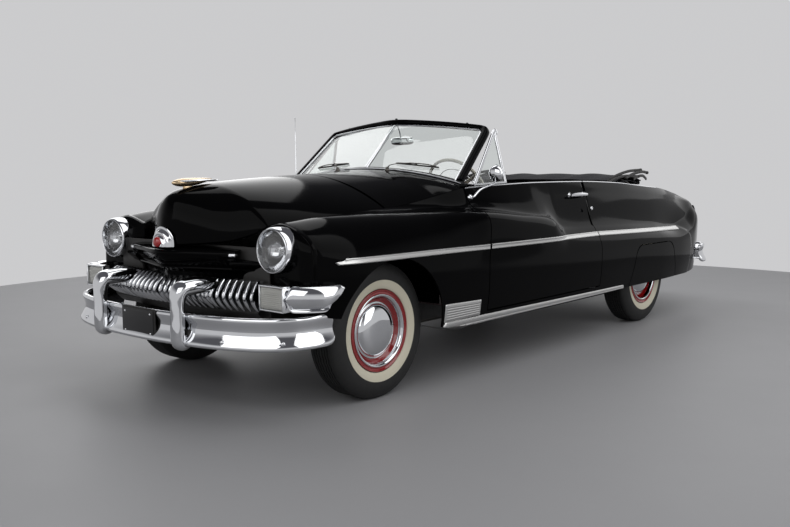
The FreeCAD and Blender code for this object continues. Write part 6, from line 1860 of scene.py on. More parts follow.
@dataclass
class Windshield:
    """Windshield frame, divider, base, glass, wipers and inside mirror."""

    foot_x: float = HALF_WIDTH - 263
    head: Point = (HALF_WIDTH - 317, FRONT_AXLE + 1218, 1408)
    crown: Point = (0.0, FRONT_AXLE + 1104, 1462)
    line_points: int = 120

    def corners(self) -> tuple[np.ndarray, np.ndarray, np.ndarray, np.ndarray]:
        """Foot of the divider, foot of the left pillar, head of the divider, head of the left pillar.

        Returns:
            The four points.
        """
        y0, y1 = FRONT_AXLE + 822, FRONT_AXLE + 862
        foot = np.array([0, y0, float(FORM.top_at(y0, 0.0)) + 12])
        low = np.array([self.foot_x, y1, float(FORM.top_at(y1, self.foot_x)) + 12])
        return foot, low, np.array(self.crown), np.array(self.head)

    def hoop(self, inward: float, forward: float) -> np.ndarray:
        """Line of the frame from the left foot over the header to the right foot.

        Args:
            inward: how far inside the pillars and header it runs.
            forward: how far ahead of them.

        Returns:
            The line's points.
        """
        foot, low, crown, head = self.corners()
        rise = (head - low) / np.linalg.norm(head - low)
        along = (crown - head) / np.linalg.norm(crown - head)
        start, turn = low + along * inward, head + (along - rise) * inward
        middle = crown - np.array([0, 0, inward])
        bend = 62 - inward
        corner = [turn - rise * bend, turn - rise * bend * 0.4 + along * bend * 0.12,
                  turn + along * bend * 0.4 - rise * bend * 0.12, turn + along * bend]
        half = [start, start + (corner[0] - start) / 3, start + (corner[0] - start) * 2 / 3, *corner,
                turn + (middle - turn) * 0.35 + (0, 0, 6), turn + (middle - turn) * 0.7 + (0, 0, 7), middle]
        full = half + [p * (-1, 1, 1) for p in half[-2::-1]]
        line = curve_through(full, self.line_points)
        line[:, 1] -= forward
        return line

    def band(self, line: np.ndarray, wide: float, deep: float, power: float = 3.0) -> tuple[np.ndarray, list]:
        """A bar along a line, wide in the plane of the glass."""
        return sweep(superellipse(wide, deep, power, 28), line, up=(0, -0.86, 0.5))

    def frame_parts(self) -> None:
        """The painted outer frame, its chrome reveal, the divider, the base and the header pins."""
        foot, _, crown, head = self.corners()
        along = np.abs(np.linspace(-1, 1, len(self.hoop(0, 0))))
        wide = 1 + 0.45 * np.clip((along - 0.42) / 0.12, 0, 1) * (1 - 0.5 * np.clip((along - 0.6) / 0.4, 0, 1))
        frame_bar = sweep(superellipse(16, 22, 3.0, 28), self.hoop(0, 0), np.column_stack([wide, wide**0.3]),
                          up=(0, -0.86, 0.5))
        piece("windshield_hoop", *frame_bar, PAINT, "body", 50, ("windshield_frame",), "body_paint")
        piece("windshield_reveal", *self.band(self.hoop(20, 16), 5, 6), CHROME, "body", 50, (), "chrome")
        half = self.line_points // 2
        edge, line = self.hoop(8, 2)[:half], np.linspace(0, 1, half)[:, None]
        post = foot + (crown - foot) * np.minimum(line, 0.985)
        share = np.linspace(0, 1, 14)[None, :, None]
        pane = plate(post[:, None] * (1 - share) + edge[:, None] * share, 5.0)
        both("windshield_pane", pane, GLASS, "body", "glass", 50, ("windshield_glass",))
        rib = np.linspace(foot + (0, -6, -4), crown + (0, -8, -20), 40)
        piece("windshield_divider", *sweep(superellipse(10, 11, 3, 24), rib, up=(0, -1, 0)), CHROME, "body", 50, (),
              "chrome")
        x = np.linspace(-712, 712, 60)
        y = FRONT_AXLE + 812 + 44 * np.abs(x) / 712
        for name, shift, rise, wide, high, finish in (("windshield_base", -6, 6, 6, 5, CHROME),
                                                      ("windshield_seal", 10, 5, 20, 9, SEAL)):
            base = np.column_stack([x, y + shift, FORM.top_at(y + shift, x) + rise])
            piece(name, *sweep(superellipse(wide, high, 2.6, 24), base), finish, "body", 50, (), "chrome")
        pins = []
        for px in (-500, 0, 500):
            share = abs(px) / self.head[0]
            place = crown + (head - crown) * share
            pins.append(placed(revolve([(0.1, 13), (5, 12.5), (8, 10), (8.5, 6), (6, 2), (6, -6)], 20),
                               (px, place[1] + 6, place[2] + 15), rotation(-90, "Y")))
        piece("header_pins", *merged(pins), SEAL, "body", 50, (), "chrome")

    def mirror(self) -> None:
        """The inside mirror hanging from the header."""
        at = np.array(self.crown) + (0, 62, -118)
        u = np.linspace(0, 2 * math.pi, 61)[:-1]
        shell = []
        for reach, y in ((0.2, -16), (0.75, -13), (0.96, -6), (1.0, 2), (0.985, 6), (0.95, 6.5)):
            shell.append(np.column_stack([95 * reach * np.sign(np.cos(u)) * np.abs(np.cos(u)) ** 0.5,
                                          np.full(60, y), 26 * reach * np.sign(np.sin(u)) * np.abs(np.sin(u)) ** 0.6]))
        verts = np.vstack(shell) + at
        faces = flipped(grid_faces(6, 60, close_columns=True)) + [list(range(60)), [300 + k for k in range(60)][::-1]]
        rod = tube([np.array(self.crown) + (0, 16, -14), np.array(self.crown) + (0, 40, -60), at + (0, -10, 6)], 5, 24)
        piece("inside_mirror", *merged([(verts, faces), rod]), CHROME, "body", 50, (), "chrome")

    def wiper(self) -> tuple[np.ndarray, list]:
        """The left wiper: pivot, arm and blade on the glass.

        Returns:
            The points and faces.
        """
        foot, low, crown, _ = self.corners()
        foot, crown = foot + (11, 0, 0), crown + (11, 0, 0)
        across = (low - foot) / np.linalg.norm(low - foot)
        normal = np.cross(crown - foot, across)
        normal /= np.linalg.norm(normal)
        up = np.cross(across, normal)
        normal = normal * (-1 if normal[1] > 0 else 1)
        up = up * (1 if up[2] > 0 else -1)
        start, end = foot + across * 190 + up * 60 + normal * 8, foot + across * 500 + up * 74 + normal * 8
        pivot = np.array([210, FRONT_AXLE + 775, 0.0])
        pivot[2] = float(FORM.top_at(pivot[1], pivot[0])) + 1
        top = pivot + (0, 0, 20)
        middle = (start + end) / 2
        base = placed(revolve([(15, 0), (15, 4), (11, 8), (9, 18), (6, 22), (0.1, 23)], 28), pivot, rotation(-90, "Y"))
        arm = sweep(superellipse(5, 2.4, 3, 16), curve_through([top - (0, 0, 4), top + (30, 10, 16),
                    middle + normal * 14 - across * 40, middle + normal * 7], 40))
        rubber = sweep(superellipse(2.2, 6, 3, 12), np.linspace(start, end, 30), up=tuple(normal))
        bow = curve_through([start + across * 16 + normal * 5, start + across * 80 + normal * 12,
                             middle + normal * 16, end - across * 80 + normal * 12, end - across * 16 + normal * 5], 40)
        holder = sweep(superellipse(2.6, 3.2, 3, 14), bow, up=tuple(normal))
        return merged([base, arm, rubber, holder])

    def build(self) -> None:
        """Make the windshield."""
        self.frame_parts()
        self.mirror()
        both("wiper", self.wiper(), DARK_STEEL, "body", "chrome", 50, ("wipers",))


@dataclass
class DoorFittings:
    """Vent windows, handles, locks, belt mouldings, inner panels and the door mirror."""

    door_front: float = FRONT_AXLE + 790
    door_rear: float = FRONT_AXLE + 2120

    def vent(self) -> tuple[tuple[np.ndarray, list], tuple[np.ndarray, list]]:
        """The left vent window's chrome frame and its latch.

        Returns:
            The frame's and the latch's points and faces.
        """
        front_y, rear_y = FRONT_AXLE + 938, FRONT_AXLE + 1262
        a = np.array([738, front_y, float(FORM.table(front_y)["bz"]) + 2])
        b = np.array([742, rear_y, float(FORM.table(rear_y)["bz"]) + 2])
        c = np.array([668, FRONT_AXLE + 1245, 1392])
        front = curve_through([a, a + (c - a) * 0.3, a + (c - a) * 0.65, a + (c - a) * 0.93, c + (2, 6, 2),
                               c + (4, 16, -12), c + (b - c) * 0.12, c + (b - c) * 0.4, c + (b - c) * 0.7, b], 72)
        outer = sweep(superellipse(12, 8, 3, 20), front, up=(1, 0, 0.1))
        inner = (front - front.mean(0)) * (1, 0.93, 0.93) + front.mean(0) + (2, -3, -4)
        channel = sweep(superellipse(4.5, 5, 3, 16), inner, up=(1, 0, 0.1))
        bottom = sweep(superellipse(8, 8, 3, 18), np.linspace(a + (0, -6, 4), b + (0, 6, 4), 24), up=(1, 0, 0))
        latch = placed(block((-14, -8, -18), (-4, 8, 18), 4), (b + c) / 2 + (0, -20, -60))
        return merged([outer, channel, bottom]), latch

    def belt(self, start: float, end: float) -> tuple[np.ndarray, list]:
        """A chrome moulding on the belt between two places.

        Args:
            start: its front end.
            end: its rear end.

        Returns:
            The points and faces.
        """
        y = np.linspace(start, end, max(6, round((end - start) / 16)))
        s = FORM.table(y)
        path = np.column_stack([s["bx"] - 5, y, s["bz"] - 1.5])
        return sweep(superellipse(7.5, 3.6, 2.6, 20), path)

    def handle(self) -> tuple[np.ndarray, list]:
        """The left pull handle with its two feet and the key lock.

        Returns:
            The points and faces.
        """
        y0, height = FRONT_AXLE + 1868, 985.0
        u = np.linspace(0, 1, 40)
        y = y0 - 4 + 222 * u
        skin = self.skin(y, height)
        lift = 30 + 6 * np.sin(np.pi * u)
        path = np.column_stack([skin + lift, y, height + 3 * np.sin(np.pi * u)])
        scale = 0.45 + 0.55 * np.sin(np.pi * np.clip(u * 0.9 + 0.07, 0, 1)) ** 0.5
        grip = sweep(superellipse(7, 12, 2.4, 24), path, scale, up=(0, 0, 1))
        parts = [grip]
        for shift in (20, 196):
            x = float(self.skin(np.array(y0 + shift), height))
            post = [(17, -2), (16.5, 3), (12, 6), (9, 12), (8, 24), (9, 34)]
            parts.append(placed(revolve(post, 28), (x, y0 + shift, height)))
        lock_y, lock_z = FRONT_AXLE + 2084, 893.0
        x = float(FORM.side_at(np.array(lock_y), np.array(lock_z))[..., 0])
        cap = [(13, -3), (13, 3), (11, 5), (7, 5.2), (6.4, 4), (0.1, 4.2)]
        parts.append(placed(revolve(cap, 28), (x, lock_y, lock_z)))
        return merged(parts)

    def skin(self, y: np.ndarray, z: float) -> np.ndarray:
        """X of the left side between the belt and the crest, at a height.

        Args:
            y: places along the car.
            z: the height.

        Returns:
            The X values.
        """
        low, high = np.zeros(np.shape(y)), np.full(np.shape(y), 3.0)
        for _ in range(30):
            t = (low + high) / 2
            above = FORM.side(y, t)[..., 2] > z
            low, high = np.where(above, t, low), np.where(above, high, t)
        return FORM.side(y, t)[..., 0]

    def inner_panel(self) -> tuple[np.ndarray, list]:
        """The left door's upholstered inner panel with its upright pleats.

        Returns:
            The points and faces.
        """
        u, v = np.meshgrid(np.linspace(0, 1, 82), np.linspace(0, 1, 30), indexing="ij")
        y = self.door_front + 36 + (self.door_rear - self.door_front - 92) * u
        z = 1040 - 640 * v
        s = FORM.table(y)
        flat = s["bx"] - 74 + 30 * v
        pleat = np.abs(np.sin(np.pi * u * 16)) * 4 * np.clip((v - 0.22) / 0.03, 0, 1) * np.clip((0.72 - v) / 0.03, 0, 1)
        edge = np.clip(np.minimum(np.minimum(u, 1 - u) / 0.012, np.minimum(v, 1 - v) / 0.02), 0, 1)
        x = flat - 5 * np.sqrt(edge) - pleat
        grid = np.stack([x, y, z], -1)
        return plate(grid[:, ::-1], 3.0)

    def pull(self) -> tuple[np.ndarray, list]:
        """The left door's padded arm rest.

        Returns:
            The points and faces.
        """
        y = np.linspace(FRONT_AXLE + 1330, FRONT_AXLE + 1900, 40)
        s = FORM.table(y)
        path = np.column_stack([s["bx"] - 96, y, np.full(len(y), 806.0)])
        u = np.linspace(0, 1, len(y))
        return sweep(superellipse(26, 20, 2.6, 24), path, 0.35 + 0.65 * np.sin(np.pi * u) ** 0.35)

    def cranks(self) -> tuple[np.ndarray, list]:
        """The left door's window crank and latch lever.

        Returns:
            The points and faces.
        """
        parts = []
        for y, z, reach in ((FRONT_AXLE + 1240, 830, 95), (FRONT_AXLE + 1560, 930, 80)):
            x = float(FORM.table(y)["bx"]) - 72
            hub = placed(revolve([(0.1, 16), (12, 15), (17, 10), (20, 2), (20, -4)], 28), (x, y, z), rotation(180, "Z"))
            arm = sweep(superellipse(5, 8, 2.4, 16), curve_through([(x - 12, y, z), (x - 17, y + reach * 0.5, z + 6),
                        (x - 18, y + reach, z + 4)], 20), np.linspace(1, 0.7, 20))
            parts += [hub, arm]
        return merged(parts)

    def mirror(self) -> tuple[np.ndarray, list]:
        """The round mirror on its arm at the left door's front edge.

        Returns:
            The points and faces.
        """
        y, height = FRONT_AXLE + 815, 1000.0
        foot = np.array([float(self.skin(np.array(y), height)), y, height])
        centre = np.array([foot[0] + 49, FRONT_AXLE + 995, 1135.0])
        head = [(0.1, -22), (16, -21), (30, -17), (41, -9), (47, 0), (48.5, 6), (48, 9), (45, 10.5), (43, 8),
                (0.1, 7.5)]
        verts, faces = revolve(curve_through(head, 40), 48)
        shell = placed((verts, faces), centre, rotation(90, "Z"))
        knee = foot + (26, 2, 8)
        arm = tube([foot + (2, 0, 0), foot + (14, 0, 3), knee, knee + (8, 60, 40), centre + (0, -18, -60),
                    centre + (0, 2, -44)],
                   5.5, 60)
        base = placed(revolve([(19, -3), (18, 5), (12, 10), (8, 16), (0.1, 17)], 32), foot)
        return merged([shell, arm, base])

    def build(self) -> None:
        """Make the door fittings."""
        frame_part, latch = self.vent()
        both("vent_frame", frame_part, CHROME, "{}_door", "chrome", 45, ("{}_door_trim",))
        both("vent_latch", latch, CHROME, "{}_door", "chrome")
        both("door_belt", self.belt(self.door_front + 8, self.door_rear - 14), CHROME, "{}_door", "chrome", 50)
        both("quarter_belt", self.belt(self.door_rear - 4, REAR_AXLE + 380), CHROME, "body", "chrome", 50)
        both("door_handle", self.handle(), CHROME, "{}_door", "chrome", 50)
        both("door_panel", self.inner_panel(), LEATHER, "{}_door", "seat_leather", 50)
        both("door_cranks", self.cranks(), CHROME, "{}_door", "chrome", 50)
        piece("door_mirror", *self.mirror(), CHROME, "left_door", 50, ("side_mirror",), "chrome")
        for side, word in SIDES:
            verts, faces = self.pull()
            if side == RIGHT:
                verts, faces = mirrored(verts), flipped(faces)
            rest = piece(f"{word}_arm_rest", verts, faces, LEATHER, f"{word}_door", 60, (), "seat_leather")


@dataclass
class Taillight:
    """An upright taillight: chrome base, ribbed red lens."""

    x: float = HALF_WIDTH - 215
    y: float = REAR_AXLE + 1150
    z: float = 757.0

    def build(self) -> None:
        """Make both taillights."""
        u, v = np.meshgrid(np.linspace(0, 2 * math.pi, 65)[:-1], np.linspace(0, 1, 20), indexing="ij")
        lens_y = self.y + 12 + 20 * np.sqrt(np.clip(1 - v**2, 0, 1)) + 0.7 * np.cos(16 * np.pi * v) * (1 - v)
        lens = np.stack([22 * v * np.cos(u), lens_y, 68 * v * np.sin(u)], -1)
        verts = lens.transpose(1, 0, 2).reshape(-1, 3) + (self.x, 0, self.z)
        both("taillight_lens", (verts, flipped(grid_faces(20, 64, close_columns=True))), RED_LENS, "body", "red_glass",
             60, ("taillights",))
        ring = []
        for wide, lead in ((0.7, 0.5), (1.0, 0.5), (1.03, 4), (1.02, 9), (0.98, 13), (0.92, 15), (0.86, 14),
                           (0.82, 10)):
            a = np.linspace(0, 2 * math.pi, 65)[:-1]
            ring.append(np.column_stack([27 * wide * np.cos(a) + self.x, np.full(64, self.y + lead),
                                         80 * wide * np.sin(a) + self.z]))
        both("taillight_base", (np.vstack(ring), flipped(grid_faces(8, 64, close_columns=True))), CHROME, "body",
             "chrome", 50)


@dataclass
class Antenna:
    """The radio antenna on the cowl's right side."""

    foot: tuple[float, float] = (337 - HALF_WIDTH, FRONT_AXLE + 796)
    height: float = 417.0

    def build(self) -> None:
        """Make the mast with its ball, tiers and base."""
        x, y = self.foot
        z = float(FORM.top_at(y, x))
        tiers = [(16, -4), (16, 2), (13, 6), (8, 12), (5, 20), (3.4, 30), (3.0, 150), (2.3, 152), (2.2, 290),
                 (1.6, 292), (1.5, self.height - 6), (2.6, self.height - 4), (3, self.height - 2), (2.4, self.height),
                 (0.1, self.height + 1)]
        mast = placed(revolve(tiers, 20), (x, y, z), rotation(-90, "Y"))
        piece("antenna_mast", *mast, CHROME, "body", 40, ("antenna",), "chrome")


# ------------------------------------------------------------------ cabin
@dataclass
class Pad:
    """A stuffed cushion: a closed outline carried across the car, puffed by its own filling, then channelled."""

    name: str
    node: str
    outline: tuple[tuple[float, float], ...]
    half_width: float
    base: tuple[float, float]
    fill: float
    channels: int
    facing: Point
    voxel: float = 19.0
    swell: float = 14.0

    def shell(self) -> tuple[np.ndarray, list]:
        """The unfilled cushion: the outline in (y, z) drawn in towards its rounded ends.

        Returns:
            The points and faces.
        """
        corners = np.array(self.outline, float) + self.base
        ring = []
        for k, corner in enumerate(corners):
            before, after = corners[k - 1] - corner, corners[(k + 1) % len(corners)] - corner
            reach = min(38.0, np.linalg.norm(before) * 0.4, np.linalg.norm(after) * 0.4)
            a = corner + before / np.linalg.norm(before) * reach
            b = corner + after / np.linalg.norm(after) * reach
            for u in np.linspace(0, 1, 6):
                ring.append(a * (1 - u) ** 2 + 2 * corner * u * (1 - u) + b * u**2)
        ring = np.array(ring)
        centre = ring.mean(0)
        rows = []
        stops = np.linspace(-1, 1, 64)
        for s in stops:
            near = (1 - abs(s)) * self.half_width
            pull = 34 * (1 - math.sqrt(max(0.0, 1 - (1 - min(1, near / 34)) ** 2)))
            away = ring - centre
            length = np.linalg.norm(away, axis=1)[:, None]
            flat = centre + away * (1 - (pull + 8) / length)
            rows.append(np.column_stack([np.full(len(ring), s * (self.half_width - 8)), flat]))
        n = len(ring)
        faces = grid_faces(len(rows), n, close_columns=True)
        faces += [list(range(n))[::-1], [(len(rows) - 1) * n + k for k in range(n)]]
        return np.vstack(rows), faces

    def puffed(self, obj: bpy.types.Object) -> None:
        """Remesh the cushion evenly and let its filling press it out as cloth.

        Args:
            obj: the cushion.
        """
        remesh = obj.modifiers.new("even", "REMESH")
        remesh.mode = "VOXEL"
        remesh.voxel_size = self.voxel * MM
        self.settle(obj)
        start = self.points(obj)
        cloth = obj.modifiers.new("filling", "CLOTH")
        cloth.settings.quality = 5
        cloth.settings.use_pressure = True
        cloth.settings.uniform_pressure_force = 4
        cloth.settings.tension_stiffness = 12
        cloth.settings.compression_stiffness = 12
        cloth.settings.effector_weights.gravity = 0
        for step in range(1, 21):
            bpy.context.scene.frame_set(step)
        self.settle(obj)
        bpy.context.scene.frame_set(1)
        moved = self.points(obj)
        if len(moved) == len(start):
            shift = moved - start
            reach = np.linalg.norm(shift, axis=1)[:, None]
            moved = start + shift * np.minimum(1, self.swell * MM / np.maximum(reach, 1e-9))
        smooth = obj.modifiers.new("round", "SUBSURF")
        smooth.levels = smooth.render_levels = 1
        self.store(obj, moved)
        self.settle(obj)

    def settle(self, obj: bpy.types.Object) -> None:
        """Apply the object's modifiers to its mesh.

        Args:
            obj: the cushion.
        """
        graph = bpy.context.evaluated_depsgraph_get()
        mesh = bpy.data.meshes.new_from_object(obj.evaluated_get(graph))
        old = obj.data
        obj.modifiers.clear()
        obj.data = mesh
        bpy.data.meshes.remove(old)

    def points(self, obj: bpy.types.Object) -> np.ndarray:
        """The mesh's points, in metres.

        Args:
            obj: the cushion.

        Returns:
            The points.
        """
        data = np.empty(len(obj.data.vertices) * 3)
        obj.data.vertices.foreach_get("co", data)
        return data.reshape(-1, 3)

    def store(self, obj: bpy.types.Object, points: np.ndarray) -> None:
        """Put points back into the mesh."""
        obj.data.vertices.foreach_set("co", points.reshape(-1))
        obj.data.update()

    def channelled(self, obj: bpy.types.Object) -> None:
        """Sew the upright channels and the piping seam into the cushion's face.

        Args:
            obj: the cushion.
        """
        data = self.points(obj)
        half = self.half_width * MM
        normals = np.empty(len(obj.data.vertices) * 3)
        obj.data.vertices.foreach_get("normal", normals)
        normals = normals.reshape(-1, 3)
        face = np.clip((normals @ np.array(self.facing) - 0.35) / 0.35, 0, 1)
        middle = np.clip((0.86 - np.abs(data[:, 0]) / half) / 0.05, 0, 1)
        wave = np.abs(np.sin(np.pi * (data[:, 0] / half * self.channels / 2))) ** 0.5 - 1
        seam = -np.exp(-((np.abs(data[:, 0]) / half - 0.87) / 0.008) ** 2)
        depth = (wave * 0.010 * middle + seam * 0.006) * face
        self.store(obj, data + normals * depth[:, None])

    def build(self) -> None:
        """Make the cushion."""
        verts, faces = self.shell()
        stands = (self.node,)
        obj = piece(self.name, verts, faces, LEATHER, "body", 180, stands, "seat_leather")
        self.puffed(obj)
        self.channelled(obj)
        obj.data.polygons.foreach_set("use_smooth", [True] * len(obj.data.polygons))
        if not obj.data.materials:
            obj.data.materials.append(LEATHER.build())


@dataclass
class Cabin:
    """Seats, instrument panel, steering wheel and floor fittings."""

    wheel_centre: Point = (360.0, FRONT_AXLE + 1290, 1035.0)
    wheel_radius: float = 211.0
    tilt: float = 60.0

    def seats(self) -> None:
        """The four cushions."""
        front, rear = (FRONT_AXLE, 400), (REAR_AXLE, 400)
        Pad("front_seat_cushion", "front_seat", ((1420, 62), (1420, 202), (1640, 200), (1872, 186), (1905, 66)), 645,
            front, 0.8, 18, (0, 0, 1)).build()
        Pad("front_seat_back", "front_seat", ((1885, 70), (1880, 200), (1985, 556), (2085, 556), (2012, 66)), 645,
            front, 0.8, 18, (0, -1, 0.2)).build()
        Pad("rear_seat_cushion", "rear_seat", ((-610, 190), (-610, 362), (-360, 346), (-345, 190)), 575, rear, 0.8, 16,
            (0, 0, 1)).build()
        Pad("rear_seat_back", "rear_seat", ((-345, 330), (-292, 598), (-210, 598), (-210, 250), (-340, 250)), 575, rear,
            0.8, 16, (0, -1, 0.2)).build()

    def turned(self, parts: Sequence) -> tuple[np.ndarray, list]:
        """Parts modelled about the steering axis, put in their place.

        Args:
            parts: meshes as points and faces.

        Returns:
            The points and faces.
        """
        verts, faces = merged(parts)
        stand = rotation(-self.tilt, "X")
        return placed((verts, faces), self.wheel_centre, stand)

    def steering(self) -> None:
        """Ivory rim and spokes, chrome horn ring and hub."""
        a = np.linspace(0, 2 * math.pi, 121)[:-1]
        minor = np.linspace(0, 2 * math.pi, 17)[:-1]
        u, v = np.meshgrid(a, minor, indexing="ij")
        grip = 10.5 + 0.5 * np.cos(40 * u) * (np.sin(v) < 0)
        reach = self.wheel_radius + grip * np.cos(v)
        rim = np.stack([reach * np.cos(u), reach * np.sin(u), grip * np.sin(v)], -1).reshape(-1, 3)
        parts = [(rim, flipped(grid_faces(120, 16, close_rows=True, close_columns=True)))]
        for turn in (90, 210, 330):
            c, s = math.cos(math.radians(turn)), math.sin(math.radians(turn))
            path = [(c * r, s * r, z) for r, z in ((26, -8), (80, -12), (140, -10), (self.wheel_radius - 4, 0))]
            parts.append(sweep(superellipse(12, 5, 2.6, 20), curve_through(path, 24), np.linspace(1.2, 0.8, 24)))
        parts.append(placed(revolve([(0.1, -34), (30, -34), (37, -26), (37, -10), (34, 0), (24, 4), (0.1, 5)], 48),
                            (0, 0, 0), rotation(-90, "Y")))
        piece("steering_rim", *self.turned(parts), IVORY, "steering_wheel", 50, ("steering_wheel",),
              "wheel_rim_plastic")
        ring = [(142 * math.cos(t), 142 * math.sin(t), 4) for t in np.linspace(0, 2 * math.pi, 91)]
        horn = [sweep(circle(3.6, 12), np.array(ring), caps=False)]
        horn.append(placed(revolve([(25, 4), (24, 8), (18, 11), (0.1, 12)], 40), (0, 0, 0), rotation(-90, "Y")))
        for turn in (90, 210, 330):
            c, s = math.cos(math.radians(turn)), math.sin(math.radians(turn))
            horn.append(tube([(c * 22, s * 22, 6), (c * 80, s * 80, 5), (c * 142, s * 142, 4)], 3, 12))
        piece("horn_ring", *self.turned(horn), CHROME, "steering_wheel", 60, (), "chrome")

    def column(self) -> None:
        """Painted column jacket with its shift lever and turn lever."""
        axis = np.array([0, math.sin(math.radians(self.tilt)), math.cos(math.radians(self.tilt))])
        top = np.array(self.wheel_centre) - axis * 36
        data = [(0, 25), (20, 25.5), (60, 25), (90, 26), (120, 24), (300, 23), (520, 23), (686, 23)]
        path = np.array([top - axis * d for d, _ in data])
        piece("column_jacket", *sweep(circle(1, 32), path, np.array([[r, r] for _, r in data]), up=(1, 0, 0)), IVORY,
              "body", 50, ("steering_column",), "wheel_rim_plastic")
        parts = []
        for side, length, drop in ((-1, 190, 20), (1, 120, 10)):
            start = top - axis * 82
            end = start + np.array([side * length, 10, -drop])
            parts += [tube([start, (start + end) / 2 + (0, 0, 8), end], 4.5, 20)]
            knob = [(0.1, -14), (8, -12), (12, -4), (12, 4), (8, 12), (0.1, 14)]
            parts.append(placed(revolve(curve_through(knob, 24), 28), end))
        piece("column_levers", *merged(parts), CHROME, "body", 50, (), "chrome")

    def dials(self) -> None:
        """Instruments, speaker bars and knobs on the panel."""
        face_y, height = FRONT_AXLE + 958, 1015.0
        lean = rotation(-14, "X")
        faces_part, rims, needles, marks = [], [], [], []
        for x, radius in ((360, 72), (230, 40), (490, 40)):
            place = (x, face_y, height)
            face = facing_rear(revolve([(radius, 1), (radius * 0.5, 1.5), (0.1, 1.5)], 56))
            rim = facing_rear(revolve([(radius + 9, -4), (radius + 9, 5), (radius + 4, 9), (radius, 7),
                                       (radius - 1, 1)], 56))
            faces_part.append(placed(face, place, lean))
            rims.append(placed(rim, place, lean))
            for k in range(25):
                turn = math.radians(-130 + 260 * k / 24)
                c, s = math.sin(turn), math.cos(turn)
                inner = radius * (0.78 if k % 4 == 0 else 0.86)
                tick = sweep(superellipse(1.2, 0.8, 4, 8), np.linspace((c * inner, 2.4, s * inner),
                             (c * radius * 0.93, 2.4, s * radius * 0.93), 3), up=(0, 1, 0))
                marks.append(placed(tick, place, lean))
            point = sweep(superellipse(1.6, 1, 2, 10), np.linspace((0, 4, 0), (-radius * 0.5, 4, radius * 0.5), 6),
                          np.linspace(1.2, 0.4, 6), up=(0, 1, 0))
            needles.append(placed(point, place, lean))
        piece("dial_faces", *merged(faces_part), DIAL, "body", 50, (), "wheel_rim_plastic")
        piece("dial_rims", *merged(rims), CHROME, "body", 50, (), "chrome")
        piece("dial_marks", *merged(marks + needles), SEAL, "body", 50, (), "chassis_black")
        bars = [placed(block((-86, -3, -3), (86, 4, 3), 2), (0, face_y + 2 - k * 3.4, 1052 - 14 * k)) for k in range(7)]
        knobs = []
        for x in (-120, 120, -520, 540):
            knob = revolve([(0.1, 22), (10, 21), (13, 16), (13, 8), (6, 6), (5, -4)], 28)
            knobs.append(placed(knob, (x, face_y - 4, 985), rotation(90, "Z")))
        piece("panel_bars", *merged(bars + knobs), CHROME, "body", 50, (), "chrome")

    def pedals(self) -> None:
        """Clutch, brake and throttle pedals."""
        parts = []
        for x, wide, high in ((420, 34, 30), (320, 38, 30), (225, 24, 62)):
            y, z = FRONT_AXLE + 920, 500.0
            pad_part = placed(block((-wide, -6, -high), (wide, 6, high), 5), (x, y, z), rotation(28, "X"))
            parts += [pad_part, tube([(x, y - 4, z - 4), (x, y - 60, z - 30), (x, y - 110, z - 84)], 7, 16)]
        piece("pedals", *merged(parts), SEAL, "body", 50, (), "chassis_black")

    def build(self) -> None:
        """Make the cabin."""
        self.seats()
        self.steering()
        self.column()
        self.dials()
        self.pedals()


